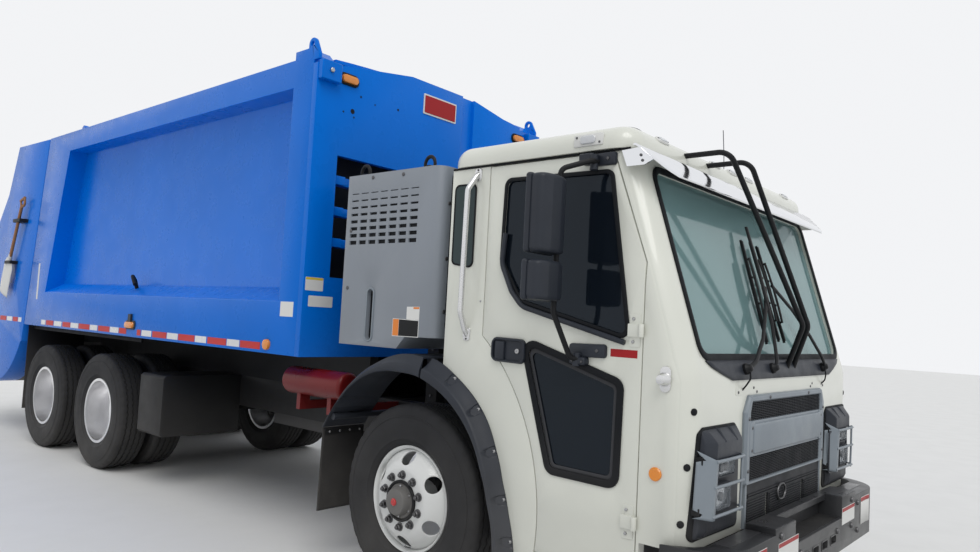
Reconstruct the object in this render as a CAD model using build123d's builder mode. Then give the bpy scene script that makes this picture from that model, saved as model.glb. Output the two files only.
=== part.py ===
"""Three-axle rear-loading garbage truck with a low cab over the front axle.

Millimetres. X points forward, Y to the truck's left, Z up. The origin lies on the
ground under the middle of the truck's length.
"""

import os
from math import cos, radians, sin

from build123d import *

os.makedirs("parts", exist_ok=True)

# Stations along the truck
FRONT_AXLE_X = 3165.0
WHEELBASE = 4254.0
TANDEM_SPACING = 1373.0
DRIVE_AXLES_X = (FRONT_AXLE_X - WHEELBASE, FRONT_AXLE_X - WHEELBASE - TANDEM_SPACING)
BUMPER_X = FRONT_AXLE_X + 1865.0
GRILLE_X = FRONT_AXLE_X + 1670.0
CAB_REAR_X = FRONT_AXLE_X + 200.0
BODY_FRONT_X = FRONT_AXLE_X - 1080.0

# Wheels
TYRE_R = 532.0
TYRE_WIDTH = 290.0
RIM_SEAT_R = 285.0
RIM_LIP_R = 298.5
RIM_WIDTH = 240.0
RIM_THICK = 10.0
FRONT_LIP_Y = 1185.0
REAR_LIP_Y = 1172.0
DUAL_SPACING = 345.0
HUB_R = 92.0
STUD_FLANGE_R = 176.0
FRONT_SPINDLE_R = 45.0
REAR_SPINDLE_R = 60.0
RUNNING_FIT = 0.05
SEAT_GAP = 0.3

# Frame
RAIL_OUTER_Y = 430.0
RAIL_WIDTH = 80.0
RAIL_BOTTOM_Z = 680.0
RAIL_TOP_Z = 950.0
RAIL_SHEET = 10.0
HORN_BOTTOM_Z = 400.0
HORN_TOP_Z = 570.0
FRAME_REAR_X = FRONT_AXLE_X - 6150.0
FRAME_FRONT_X = FRONT_AXLE_X + 1640.0

# Steering
KINGPIN_Y = 950.0
KINGPIN_R = 25.0
KNUCKLE_BOSS_R = 55.0
AXLE_BOSS_HALF = 60.0

# Cab
CAB_HALF = 1170.0
CAB_WALL = 50.0
CAB_CORNER_R = 120.0
CAB_TOP_Z = 2400.0
CAB_PANEL_BOTTOM_Z = 620.0
CAB_SILL_Z = 400.0
CAB_TUNNEL_HALF = 500.0
CAB_ARCH_R = 660.0
ARCH_LINER = 25.0
COWL_Z = 1400.0
SCREEN_BOTTOM = (FRONT_AXLE_X + 1655.0, COWL_Z)
SCREEN_TOP = (FRONT_AXLE_X + 1350.0, 2385.0)
DOOR_FRONT_X = FRONT_AXLE_X + 1430.0
DOOR_REAR_X = FRONT_AXLE_X + 480.0
DOOR_BOTTOM_Z = 450.0
DOOR_TOP_Z = 2385.0
DOOR_KINK_Z = 1860.0
DOOR_GAP = 6.0
TILT_X = FRONT_AXLE_X + 1630.0
TILT_Z = 700.0
TILT_PIN_R = 15.0
ROOF_RISE = 120.0

# Front wheel arches
FLARE_IN_R = 605.0
FLARE_OUT_R = 825.0
FLARE_Y = 1250.0
FLARE_SKIN = 14.0

# Refuse body
BODY_HALF = 1220.0
BODY_PANEL_Y = BODY_HALF - 175.0
BODY_WALL = 50.0
BODY_BOTTOM_Z = 1255.0
BODY_FLOOR_Z = 1320.0
LEDGE_OUT_Z = 1620.0
LEDGE_IN_Z = 1720.0
TOP_RAIL_Z = 3110.0
BODY_TOP_Z = 3310.0
SEAM_TOP = (FRONT_AXLE_X - 5934.0, 3290.0)
SEAM_BOTTOM = (FRONT_AXLE_X - 6229.0, 1365.0)
SEAM_GAP = 16.0

# Tailgate and packing gear
HINGE_X = FRONT_AXLE_X - 5690.0
HINGE_Z = 3435.0
HINGE_PIN_R = 25.0
GATE_IN_Y = BODY_HALF - 220.0
GATE_ROOF_Z = 3305.0
PAN_SHEET = 50.0
SWEEP_LENGTH = 900.0
SWEEP_TIP_GAP = 25.0
SLIDE_ANGLE = 60.0
SLIDE_TRAVEL = 800.0
SWEEP_HOME = (FRONT_AXLE_X - 6780.0, 2213.0)
SWEEP_HOME_ANGLE = -55.0
SILL_Z = 1108.0


def flat(low, high, mode=Mode.ADD):
    """Add a straight-sided block between two corners to the part in progress."""
    size = [high[i] - low[i] for i in range(3)]
    middle = [(high[i] + low[i]) / 2 for i in range(3)]
    with Locations(tuple(middle)):
        Box(*size, mode=mode)


def across(y):
    """Plane seen from the truck's right, X and Z in it; extrusions go towards -Y."""
    return Plane.XZ.offset(-y)


def outline(points):
    """Closed face of straight lines through (x, z) points in the sketch in progress."""
    with BuildLine() as edge:
        Polyline(*points, close=True)
    make_face(edge.line.edges())


def seam_x(z, gap=0.0):
    """X of the slanted joint between body and tailgate at height z."""
    slope = (SEAM_TOP[0] - SEAM_BOTTOM[0]) / (SEAM_TOP[1] - SEAM_BOTTOM[1])
    return SEAM_TOP[0] + (z - SEAM_TOP[1]) * slope - gap


def wheel_plane(x):
    """Plane through a wheel's axis: its X runs up the radius, its Y is the truck's Y."""
    return Plane(origin=(x, 0, TYRE_R), x_dir=(0, 0, 1), z_dir=(-1, 0, 0))


def finish(part, label):
    """Name a piece and write its STEP file."""
    part.label = label
    export_step(part, f"parts/{label}.step")


# Frame rails: two channels with a dropped front section, joined by cross members
RAIL_KICK_X = FRONT_AXLE_X + 760.0
RAIL_DROP_X = FRONT_AXLE_X + 980.0
rail_side = [
    (FRAME_REAR_X, RAIL_BOTTOM_Z),
    (RAIL_KICK_X - 60, RAIL_BOTTOM_Z),
    (RAIL_DROP_X - 80, HORN_BOTTOM_Z),
    (FRAME_FRONT_X, HORN_BOTTOM_Z),
    (FRAME_FRONT_X, HORN_TOP_Z),
    (RAIL_DROP_X, HORN_TOP_Z),
    (RAIL_KICK_X, RAIL_TOP_Z),
    (FRAME_REAR_X, RAIL_TOP_Z),
]
MEMBER_LONG = 60.0
MEMBER_HALF_HIGH = 75.0
MOTOR_REAR_X = FRONT_AXLE_X - 2700.0
MOTOR_FRONT_X = FRONT_AXLE_X - 1500.0
member_x = [
    FRAME_REAR_X + 40,
    DRIVE_AXLES_X[1] + 350,
    DRIVE_AXLES_X[0] + 500,
    MOTOR_REAR_X - MEMBER_LONG / 2,
    MOTOR_FRONT_X + MEMBER_LONG / 2,
    FRONT_AXLE_X - 350,
    FRONT_AXLE_X + 500,
]
RAIL_MIDDLE_Z = (RAIL_BOTTOM_Z + RAIL_TOP_Z) / 2
TOWER_Y = (255.0, 285.0)
TOWER_R = 30.0
with BuildPart() as frame_rails:
    with BuildSketch(across(RAIL_OUTER_Y)):
        outline(rail_side)
    extrude(amount=RAIL_WIDTH)
    with BuildSketch(across(RAIL_OUTER_Y - RAIL_SHEET)):
        outline(rail_side)
        offset(amount=-RAIL_SHEET, mode=Mode.REPLACE)
    extrude(amount=RAIL_WIDTH, mode=Mode.SUBTRACT)
    mirror(about=Plane.XZ)
    web_y = RAIL_OUTER_Y - RAIL_SHEET / 2
    for x in member_x:
        flat(
            (x - MEMBER_LONG / 2, -web_y, RAIL_MIDDLE_Z - MEMBER_HALF_HIGH),
            (x + MEMBER_LONG / 2, web_y, RAIL_MIDDLE_Z + MEMBER_HALF_HIGH),
        )
    flat((FRAME_FRONT_X - 90, -web_y, HORN_BOTTOM_Z + 20), (FRAME_FRONT_X - 10, web_y, HORN_TOP_Z - 20))
    for side in (-1, 1):
        with BuildSketch(across(side * sum(TOWER_Y) / 2 + (TOWER_Y[1] - TOWER_Y[0]) / 2)):
            with Locations((TILT_X, TILT_Z)):
                Circle(TOWER_R)
            with Locations((TILT_X - 20, HORN_TOP_Z - 40)):
                Rectangle(70, 30)
            make_hull()
            with Locations((TILT_X, TILT_Z)):
                Circle(TILT_PIN_R + RUNNING_FIT, mode=Mode.SUBTRACT)
        extrude(amount=TOWER_Y[1] - TOWER_Y[0])
finish(frame_rails.part, "frame_rails")

# Electric drive motor: one plain block between two cross members
with BuildPart() as drive_motor:
    flat((MOTOR_REAR_X, -300, 560), (MOTOR_FRONT_X, 300, 900))
finish(drive_motor.part, "drive_motor")

# Front bumper: outline seen from the front, trimmed to its swept-back plan
BUMPER_BACK_X = FRONT_AXLE_X + 1720.0
BUMPER_HALF = 1200.0
STEP_IN_Y = 382.0
STEP_OUT_Y = 654.0
STEP_TOP_Z = 676.0
BAR_TOP_Z = 560.0
WING_TOP_Z = 650.0
BUMPER_BOTTOM_Z = 380.0
bumper_front = [
    (-BUMPER_HALF, BUMPER_BOTTOM_Z + 60),
    (-BUMPER_HALF + 90, BUMPER_BOTTOM_Z),
    (BUMPER_HALF - 90, BUMPER_BOTTOM_Z),
    (BUMPER_HALF, BUMPER_BOTTOM_Z + 60),
    (BUMPER_HALF, WING_TOP_Z),
    (STEP_OUT_Y, WING_TOP_Z),
    (STEP_OUT_Y, STEP_TOP_Z),
    (STEP_IN_Y, STEP_TOP_Z),
    (STEP_IN_Y, BAR_TOP_Z),
    (-STEP_IN_Y, BAR_TOP_Z),
    (-STEP_IN_Y, STEP_TOP_Z),
    (-STEP_OUT_Y, STEP_TOP_Z),
    (-STEP_OUT_Y, WING_TOP_Z),
    (-BUMPER_HALF, WING_TOP_Z),
]
with BuildPart() as front_bumper:
    with BuildSketch(Plane.YZ.offset(BUMPER_X)):
        outline(bumper_front)
    extrude(amount=-330)
    with BuildSketch(Plane.XY.offset(BUMPER_BOTTOM_Z - 10)):
        with BuildLine():
            Polyline(
                (BUMPER_X - 300, -BUMPER_HALF),
                (BUMPER_X - 262, -BUMPER_HALF + 12),
                (BUMPER_X - 175, -BUMPER_HALF + 70),
                (BUMPER_BACK_X, -BUMPER_HALF + 130),
                (BUMPER_BACK_X, BUMPER_HALF - 130),
                (BUMPER_X - 175, BUMPER_HALF - 70),
                (BUMPER_X - 262, BUMPER_HALF - 12),
                (BUMPER_X - 300, BUMPER_HALF),
                (BUMPER_X - 240, BUMPER_HALF),
            )
            ThreePointArc((BUMPER_X - 240, BUMPER_HALF), (BUMPER_X - 75, BUMPER_HALF - 80), (BUMPER_X, BUMPER_HALF - 320))
            Line((BUMPER_X, BUMPER_HALF - 320), (BUMPER_X, -BUMPER_HALF + 320))
            ThreePointArc((BUMPER_X, -BUMPER_HALF + 320), (BUMPER_X - 75, -BUMPER_HALF + 80), (BUMPER_X - 240, -BUMPER_HALF))
            Line((BUMPER_X - 240, -BUMPER_HALF), (BUMPER_X - 300, -BUMPER_HALF))
        make_face()
    extrude(amount=400, mode=Mode.INTERSECT)
    with Locations((BUMPER_X, 0, 470)):
        with GridLocations(1, 150, 1, 4):
            Box(60, 90, 40, mode=Mode.SUBTRACT)
    for side in (-1, 1):
        low, high = sorted((side * (RAIL_OUTER_Y - RAIL_WIDTH), side * RAIL_OUTER_Y))
        flat((FRAME_FRONT_X, low, 420), (BUMPER_BACK_X + 1, high, 550))
finish(front_bumper.part, "front_bumper")

# Front axle: dropped beam with kingpin bosses, leaf springs and their hangers
SPRING_Y = (390.0, 470.0)
SPRING_HALF_LONG = 640.0
with BuildPart() as front_axle:
    with BuildSketch(Plane.YZ.offset(FRONT_AXLE_X - 45)):
        outline(
            [
                (-KINGPIN_Y, 484),
                (-860, 484),
                (-680, 430),
                (680, 430),
                (860, 484),
                (KINGPIN_Y, 484),
                (KINGPIN_Y, 585),
                (650, 530),
                (-650, 530),
                (-KINGPIN_Y, 585),
            ]
        )
    extrude(amount=90)
    for side in (-1, 1):
        with Locations((FRONT_AXLE_X, side * KINGPIN_Y, TYRE_R)):
            Cylinder(KNUCKLE_BOSS_R, 2 * AXLE_BOSS_HALF)
            Cylinder(KINGPIN_R + RUNNING_FIT, 2 * AXLE_BOSS_HALF + 100, mode=Mode.SUBTRACT)
        low, high = sorted((side * SPRING_Y[0], side * SPRING_Y[1]))
        flat((FRONT_AXLE_X - 75, low, 500), (FRONT_AXLE_X + 75, high, 590))
        with BuildSketch(across(high)):
            with BuildLine():
                ends = (FRONT_AXLE_X - SPRING_HALF_LONG, FRONT_AXLE_X + SPRING_HALF_LONG)
                ThreePointArc((ends[0], 632), (FRONT_AXLE_X, 588), (ends[1], 632))
                Line((ends[1], 632), (ends[1], 655))
                ThreePointArc((ends[1], 655), (FRONT_AXLE_X, 640), (ends[0], 655))
                Line((ends[0], 655), (ends[0], 632))
            make_face()
        extrude(amount=high - low)
        for end in (-1, 1):
            x = FRONT_AXLE_X + end * (SPRING_HALF_LONG - 30)
            flat((x - 35, low - (10 if side > 0 else 0), 625), (x + 35, high + (10 if side < 0 else 0), RAIL_BOTTOM_Z))
finish(front_axle.part, "front_axle")

# Steering knuckles: fork round the axle boss, kingpin, spindle and steering arm
KNUCKLE_Z = (430.0, 635.0)
SPINDLE_Y = (1040.0, 1150.0)
for name, side in (("right", -1), ("left", 1)):
    with BuildPart() as knuckle:
        lugs = (
            (KNUCKLE_Z[0], TYRE_R - AXLE_BOSS_HALF - SEAT_GAP),
            (TYRE_R + AXLE_BOSS_HALF + SEAT_GAP, KNUCKLE_Z[1]),
        )
        for low, high in lugs:
            with Locations((FRONT_AXLE_X, side * KINGPIN_Y, (low + high) / 2)):
                Cylinder(KNUCKLE_BOSS_R, high - low)
            near, far = sorted((side * KINGPIN_Y, side * (SPINDLE_Y[0] - 10)))
            flat((FRONT_AXLE_X - 50, near, low), (FRONT_AXLE_X + 50, far, high))
        near, far = sorted((side * (SPINDLE_Y[0] - 30), side * SPINDLE_Y[0]))
        flat((FRONT_AXLE_X - 60, near, KNUCKLE_Z[0]), (FRONT_AXLE_X + 60, far, KNUCKLE_Z[1]))
        with Locations((FRONT_AXLE_X, side * KINGPIN_Y, sum(KNUCKLE_Z) / 2)):
            Cylinder(KINGPIN_R, KNUCKLE_Z[1] - KNUCKLE_Z[0])
        with BuildSketch(across(side * SPINDLE_Y[0])):
            with Locations((FRONT_AXLE_X, TYRE_R)):
                Circle(FRONT_SPINDLE_R)
        extrude(amount=-side * (SPINDLE_Y[1] - SPINDLE_Y[0]))
        near, far = sorted((side * (KINGPIN_Y - 25), side * (KINGPIN_Y + 25)))
        flat((FRONT_AXLE_X - 200, near, KNUCKLE_Z[0]), (FRONT_AXLE_X - 40, far, KNUCKLE_Z[0] + 30))
    finish(knuckle.part, f"steering_knuckle_{name}")


def tyre_profile(side, centre_y):
    """Half section of one tyre, from its bead seat to the crown, mirrored about its middle."""
    half = [
        (RIM_SEAT_R + SEAT_GAP, RIM_WIDTH / 2 - RIM_THICK - SEAT_GAP),
        (RIM_LIP_R + 6, RIM_WIDTH / 2 - RIM_THICK - SEAT_GAP),
        (TYRE_R - 125, TYRE_WIDTH / 2),
        (TYRE_R - 28, TYRE_WIDTH / 2 - 12),
        (TYRE_R, TYRE_WIDTH / 2 - 42),
    ]
    ring = half + [(r, -y) for r, y in reversed(half)]
    outline([(r, side * centre_y + y) for r, y in ring])


def wheel_axis(x):
    """Axis that a wheel spins about."""
    return Axis((x, 0, TYRE_R), (0, 1, 0))


# Front wheels: dished steel disc with hand holes, hub and cap, tyre on the rim
FRONT_HUB_IN_Y = 1046.0
FRONT_DISC_Y = 1236.0
FRONT_CAP_Y = 1292.0
HAND_HOLES = 10
HAND_HOLE_R = 21.0
HAND_HOLE_CIRCLE_R = 222.0
for name, side in (("right", -1), ("left", 1)):
    with BuildPart() as front_tyre:
        with BuildSketch(wheel_plane(FRONT_AXLE_X)):
            tyre_profile(side, FRONT_LIP_Y - RIM_WIDTH / 2)
        revolve(axis=wheel_axis(FRONT_AXLE_X))
    finish(front_tyre.part, f"tyre_front_{name}")

    front_inner_lip_y = FRONT_LIP_Y - RIM_WIDTH
    barrel_in_r = RIM_SEAT_R - RIM_THICK
    rim = [
        (RIM_LIP_R, FRONT_LIP_Y),
        (RIM_LIP_R, FRONT_LIP_Y - RIM_THICK),
        (RIM_SEAT_R, FRONT_LIP_Y - RIM_THICK),
        (RIM_SEAT_R, front_inner_lip_y + RIM_THICK),
        (RIM_LIP_R, front_inner_lip_y + RIM_THICK),
        (RIM_LIP_R, front_inner_lip_y),
        (barrel_in_r, front_inner_lip_y),
        (barrel_in_r, FRONT_LIP_Y - 55),
        (STUD_FLANGE_R, FRONT_DISC_Y - 16),
        (HUB_R, FRONT_DISC_Y - 16),
        (HUB_R, FRONT_HUB_IN_Y),
        (FRONT_SPINDLE_R + RUNNING_FIT, FRONT_HUB_IN_Y),
        (FRONT_SPINDLE_R + RUNNING_FIT, SPINDLE_Y[1] + 6),
        (0, SPINDLE_Y[1] + 6),
        (0, FRONT_CAP_Y),
        (52, FRONT_CAP_Y),
        (66, FRONT_CAP_Y - 12),
        (70, FRONT_DISC_Y + 8),
        (HUB_R, FRONT_DISC_Y),
        (STUD_FLANGE_R, FRONT_DISC_Y),
        (STUD_FLANGE_R + 12, FRONT_DISC_Y - 6),
        (barrel_in_r, FRONT_LIP_Y - 38),
        (barrel_in_r, FRONT_LIP_Y),
    ]
    with BuildPart() as front_wheel:
        with BuildSketch(wheel_plane(FRONT_AXLE_X)):
            outline([(r, side * y) for r, y in rim])
        revolve(axis=wheel_axis(FRONT_AXLE_X))
        with BuildSketch(across(side * (FRONT_LIP_Y - 70))):
            with Locations((FRONT_AXLE_X, TYRE_R)):
                with PolarLocations(HAND_HOLE_CIRCLE_R, HAND_HOLES):
                    Circle(HAND_HOLE_R)
        extrude(amount=-side * 160, mode=Mode.SUBTRACT)
    finish(front_wheel.part, f"wheel_front_{name}")

# Drive wheels: twin rims bolted back to back on one hub, a tyre on each
REAR_OUTER_Y = REAR_LIP_Y - RIM_WIDTH / 2
REAR_INNER_Y = REAR_OUTER_Y - DUAL_SPACING
REAR_DISC_Y = (REAR_OUTER_Y + REAR_INNER_Y) / 2
REAR_HUB_OUT_Y = 1015.0
REAR_HUB_IN_Y = 790.0
REAR_SPINDLE_END_Y = 900.0
HAND_HOLE_REAR_R = 24.0
drive_positions = [
    (f"{order}_{name}", x, side)
    for order, x in zip(("first", "second"), DRIVE_AXLES_X)
    for name, side in (("right", -1), ("left", 1))
]
for name, x, side in drive_positions:
    with BuildPart() as twin_tyres:
        for centre_y in (REAR_OUTER_Y, REAR_INNER_Y):
            with BuildSketch(wheel_plane(x)):
                tyre_profile(side, centre_y)
            revolve(axis=wheel_axis(x))
    finish(twin_tyres.part, f"tyres_{name}")

    half_rim = RIM_WIDTH / 2
    twin_rim = [
        (RIM_LIP_R, REAR_OUTER_Y + half_rim),
        (RIM_LIP_R, REAR_OUTER_Y + half_rim - RIM_THICK),
        (RIM_SEAT_R, REAR_OUTER_Y + half_rim - RIM_THICK),
        (RIM_SEAT_R, REAR_OUTER_Y - half_rim + RIM_THICK),
        (RIM_LIP_R, REAR_OUTER_Y - half_rim + RIM_THICK),
        (RIM_LIP_R, REAR_OUTER_Y - half_rim),
        (barrel_in_r, REAR_OUTER_Y - half_rim),
        (STUD_FLANGE_R + 14, REAR_DISC_Y),
        (barrel_in_r, REAR_INNER_Y + half_rim),
        (RIM_LIP_R, REAR_INNER_Y + half_rim),
        (RIM_LIP_R, REAR_INNER_Y + half_rim - RIM_THICK),
        (RIM_SEAT_R, REAR_INNER_Y + half_rim - RIM_THICK),
        (RIM_SEAT_R, REAR_INNER_Y - half_rim + RIM_THICK),
        (RIM_LIP_R, REAR_INNER_Y - half_rim + RIM_THICK),
        (RIM_LIP_R, REAR_INNER_Y - half_rim),
        (barrel_in_r, REAR_INNER_Y - half_rim),
        (barrel_in_r, REAR_INNER_Y + half_rim - 20),
        (STUD_FLANGE_R, REAR_DISC_Y - 12),
        (HUB_R, REAR_DISC_Y - 12),
        (HUB_R, REAR_HUB_IN_Y),
        (REAR_SPINDLE_R + RUNNING_FIT, REAR_HUB_IN_Y),
        (REAR_SPINDLE_R + RUNNING_FIT, REAR_SPINDLE_END_Y + 5),
        (0, REAR_SPINDLE_END_Y + 5),
        (0, REAR_HUB_OUT_Y),
        (60, REAR_HUB_OUT_Y),
        (72, REAR_HUB_OUT_Y - 14),
        (84, REAR_DISC_Y + 24),
        (STUD_FLANGE_R, REAR_DISC_Y + 12),
        (barrel_in_r, REAR_OUTER_Y - half_rim + 20),
        (barrel_in_r, REAR_OUTER_Y + half_rim),
    ]
    with BuildPart() as twin_wheel:
        with BuildSketch(wheel_plane(x)):
            outline([(r, side * y) for r, y in twin_rim])
        revolve(axis=wheel_axis(x))
        with BuildSketch(across(side * (REAR_DISC_Y - 70))):
            with Locations((x, TYRE_R)):
                with PolarLocations(HAND_HOLE_CIRCLE_R + 8, HAND_HOLES):
                    Circle(HAND_HOLE_REAR_R)
        extrude(amount=-side * 140, mode=Mode.SUBTRACT)
    finish(twin_wheel.part, f"wheels_{name}")

# Drive axles: tubes with a centre bowl each, joined by rocking beams under the rails
AXLE_TUBE_R = 72.0
BOWL_R = 205.0
BEAM_Y = (445.0, 535.0)
BEAM_Z = (440.0, 570.0)
with BuildPart() as rear_axles:
    for x in DRIVE_AXLES_X:
        with BuildSketch(wheel_plane(x)):
            with BuildLine():
                Polyline(
                    (0, -REAR_SPINDLE_END_Y),
                    (REAR_SPINDLE_R, -REAR_SPINDLE_END_Y),
                    (REAR_SPINDLE_R, -REAR_HUB_IN_Y + 15),
                    (AXLE_TUBE_R, -REAR_HUB_IN_Y + 30),
                    (AXLE_TUBE_R, -BOWL_R - 60),
                )
                ThreePointArc((AXLE_TUBE_R, -BOWL_R - 60), (BOWL_R, 0), (AXLE_TUBE_R, BOWL_R + 60))
                Polyline(
                    (AXLE_TUBE_R, BOWL_R + 60),
                    (AXLE_TUBE_R, REAR_HUB_IN_Y - 30),
                    (REAR_SPINDLE_R, REAR_HUB_IN_Y - 15),
                    (REAR_SPINDLE_R, REAR_SPINDLE_END_Y),
                    (0, REAR_SPINDLE_END_Y),
                    (0, -REAR_SPINDLE_END_Y),
                )
            make_face()
        revolve(axis=wheel_axis(x))
    middle_x = sum(DRIVE_AXLES_X) / 2
    for side in (-1, 1):
        low, high = sorted((side * BEAM_Y[0], side * BEAM_Y[1]))
        with BuildSketch(across(high)):
            outline(
                [
                    (DRIVE_AXLES_X[1] - 110, BEAM_Z[0] + 40),
                    (middle_x, BEAM_Z[0] - 30),
                    (DRIVE_AXLES_X[0] + 110, BEAM_Z[0] + 40),
                    (DRIVE_AXLES_X[0] + 110, BEAM_Z[1]),
                    (middle_x + 150, BEAM_Z[1]),
                    (middle_x + 110, RAIL_BOTTOM_Z),
                    (middle_x - 110, RAIL_BOTTOM_Z),
                    (middle_x - 150, BEAM_Z[1]),
                    (DRIVE_AXLES_X[1] - 110, BEAM_Z[1]),
                ]
            )
        extrude(amount=high - low)
        low, high = sorted((side * (RAIL_OUTER_Y - RAIL_WIDTH), side * (BEAM_Y[0] + 5)))
        flat((middle_x - 110, low, RAIL_BOTTOM_Z - 90), (middle_x + 110, high, RAIL_BOTTOM_Z))
finish(rear_axles.part, "rear_axles")

# Battery boxes: a short one on the right, a long one on the left
BATTERY_Z = (445.0, 955.0)
BATTERY_Y = 1150.0
with BuildPart() as battery_boxes:
    for side, rear, front in ((-1, -3470, -3050), (1, -3470, -1250)):
        low, high = sorted((side * RAIL_OUTER_Y, side * BATTERY_Y))
        flat((FRONT_AXLE_X + rear, low, BATTERY_Z[0]), (FRONT_AXLE_X + front, high, BATTERY_Z[1]))
    chamfer(battery_boxes.edges().filter_by(Axis.X).group_by(Axis.Y)[0], 22)
    chamfer(battery_boxes.edges().filter_by(Axis.X).group_by(Axis.Y)[-1], 22)
finish(battery_boxes.part, "battery_boxes")

# Red tank beside the frame behind the cab, on a bracket from the rail
RED_TANK_R = 95.0
RED_TANK_Y = 1000.0
RED_TANK_Z = 1075.0
with BuildPart() as red_tank:
    with BuildSketch(Plane.YZ.offset(FRONT_AXLE_X - 1450)):
        with Locations((-RED_TANK_Y, RED_TANK_Z)):
            Circle(RED_TANK_R)
    extrude(amount=650)
    fillet(red_tank.edges().filter_by(GeomType.CIRCLE), 30)
    for x in (-1320, -980):
        flat((FRONT_AXLE_X + x, -RED_TANK_Y - 40, 880), (FRONT_AXLE_X + x + 40, -RAIL_OUTER_Y, 940))
        flat((FRONT_AXLE_X + x, -RED_TANK_Y - 40, 880), (FRONT_AXLE_X + x + 40, -RED_TANK_Y + 40, 1000))
finish(red_tank.part, "red_tank")

# Cooling box behind the cab: sheet-metal cabinet with louvred sides
BOX_X = (FRONT_AXLE_X - 690.0, FRONT_AXLE_X + 130.0)
BOX_Z = (1370.0, 2430.0)
BOX_HALF = 1200.0
BOX_CORNER_R = 70.0
LOUVRE_COLUMNS = 7
LOUVRE_ROWS = 8
LOUVRE_DEPTH = 40.0
with BuildPart() as cooling_box:
    with BuildSketch(across(BOX_HALF)):
        outline(
            [
                (BOX_X[0], BOX_Z[0]),
                (BOX_X[1] - 290, BOX_Z[0]),
                (BOX_X[1] - 220, BOX_Z[0] + 75),
                (BOX_X[1], BOX_Z[0] + 75),
                (BOX_X[1], BOX_Z[1]),
                (BOX_X[0], BOX_Z[1]),
            ]
        )
    extrude(amount=2 * BOX_HALF)
    fillet(cooling_box.edges().filter_by(Axis.Z).group_by(Axis.X)[-1], BOX_CORNER_R)
    for row in range(LOUVRE_ROWS):
        slot_high = 6 + 14 * min(row, 4) / 4 + 5 * max(row - 4, 0) / 3
        z = BOX_Z[1] - 118 - row * 44
        for side in (-1, 1):
            with Locations(((BOX_X[0] + BOX_X[1] - 130) / 2, side * BOX_HALF, z)):
                with GridLocations(90, 1, LOUVRE_COLUMNS, 1):
                    Box(66, 2 * LOUVRE_DEPTH, slot_high, mode=Mode.SUBTRACT)
    for side in (-1, 1):
        with BuildSketch(across(side * (BOX_HALF + 1))):
            with Locations((BOX_X[0] + 275, BOX_Z[0] + 190)):
                SlotOverall(315, 56, rotation=90)
        extrude(amount=side * LOUVRE_DEPTH, mode=Mode.SUBTRACT)
        low, high = sorted((side * (RAIL_OUTER_Y - RAIL_WIDTH), side * RAIL_OUTER_Y))
        for x in (BOX_X[0] + 30, BOX_X[1] - 430):
            flat((x, low, RAIL_TOP_Z), (x + 100, high, BOX_Z[0] + 1))
finish(cooling_box.part, "cooling_box")


def arch_band(inner_r, outer_r, start, stop):
    """Ring sector about the front axle between two angles, in the sketch in progress."""
    centre = (FRONT_AXLE_X, TYRE_R)
    with Locations(centre):
        Circle(outer_r)
        Circle(inner_r, mode=Mode.SUBTRACT)
    reach = 2.2 * outer_r
    middle = radians((start + stop) / 2)
    wedge = [
        centre,
        (centre[0] + reach * cos(radians(start)), centre[1] + reach * sin(radians(start))),
        (centre[0] + 2 * reach * cos(middle), centre[1] + 2 * reach * sin(middle)),
        (centre[0] + reach * cos(radians(stop)), centre[1] + reach * sin(radians(stop))),
    ]
    with BuildLine() as edge:
        Polyline(*wedge, close=True)
    make_face(edge.line.edges(), mode=Mode.INTERSECT)


# Front mudguards on the frame: the rear half of each arch with its flap
GUARD_IN_Y = 905.0
GUARD_REAR_ANGLE = 157.0
GUARD_FRONT_ANGLE = 82.6
FLARE_REAR_ANGLE = GUARD_FRONT_ANGLE - 1.2
with BuildPart() as front_mudguards:
    with BuildSketch(across(FLARE_Y)):
        arch_band(FLARE_OUT_R - FLARE_SKIN, FLARE_OUT_R, GUARD_FRONT_ANGLE, GUARD_REAR_ANGLE)
    extrude(amount=FLARE_Y - GUARD_IN_Y)
    with BuildSketch(across(FLARE_Y)):
        arch_band(FLARE_IN_R, FLARE_OUT_R, GUARD_FRONT_ANGLE, GUARD_REAR_ANGLE)
    extrude(amount=FLARE_SKIN)
    flap_x = FRONT_AXLE_X + (FLARE_OUT_R - 8) * cos(radians(GUARD_REAR_ANGLE))
    flap_z = TYRE_R + (FLARE_OUT_R - 8) * sin(radians(GUARD_REAR_ANGLE))
    flat((flap_x - 5, GUARD_IN_Y, 320), (flap_x + 5, FLARE_Y - 20, flap_z + 2))
    bar_r = 20.0
    bar_x = FRONT_AXLE_X + (FLARE_OUT_R - FLARE_SKIN - bar_r + 2) * cos(radians(150))
    bar_z = TYRE_R + (FLARE_OUT_R - FLARE_SKIN - bar_r + 2) * sin(radians(150))
    with BuildSketch(across(FLARE_Y - FLARE_SKIN + 1)):
        with Locations((bar_x, bar_z)):
            Circle(bar_r)
    extrude(amount=FLARE_Y - FLARE_SKIN + 1 - RAIL_OUTER_Y)
    mirror(about=Plane.XZ)
finish(front_mudguards.part, "front_mudguards")

# Rear mudguards: strips under the body and a flap behind each pair of drive wheels
STRIP_X = (FRONT_AXLE_X - 6200.0, FRONT_AXLE_X - 3560.0)
with BuildPart() as rear_mudguards:
    flat((STRIP_X[0], 1120, BODY_BOTTOM_Z - 45), (STRIP_X[1], 1132, BODY_BOTTOM_Z))
    flat((STRIP_X[0] - 15, 590, 330), (STRIP_X[0] - 5, 1180, BODY_BOTTOM_Z))
    mirror(about=Plane.XZ)
finish(rear_mudguards.part, "rear_mudguards")

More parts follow.
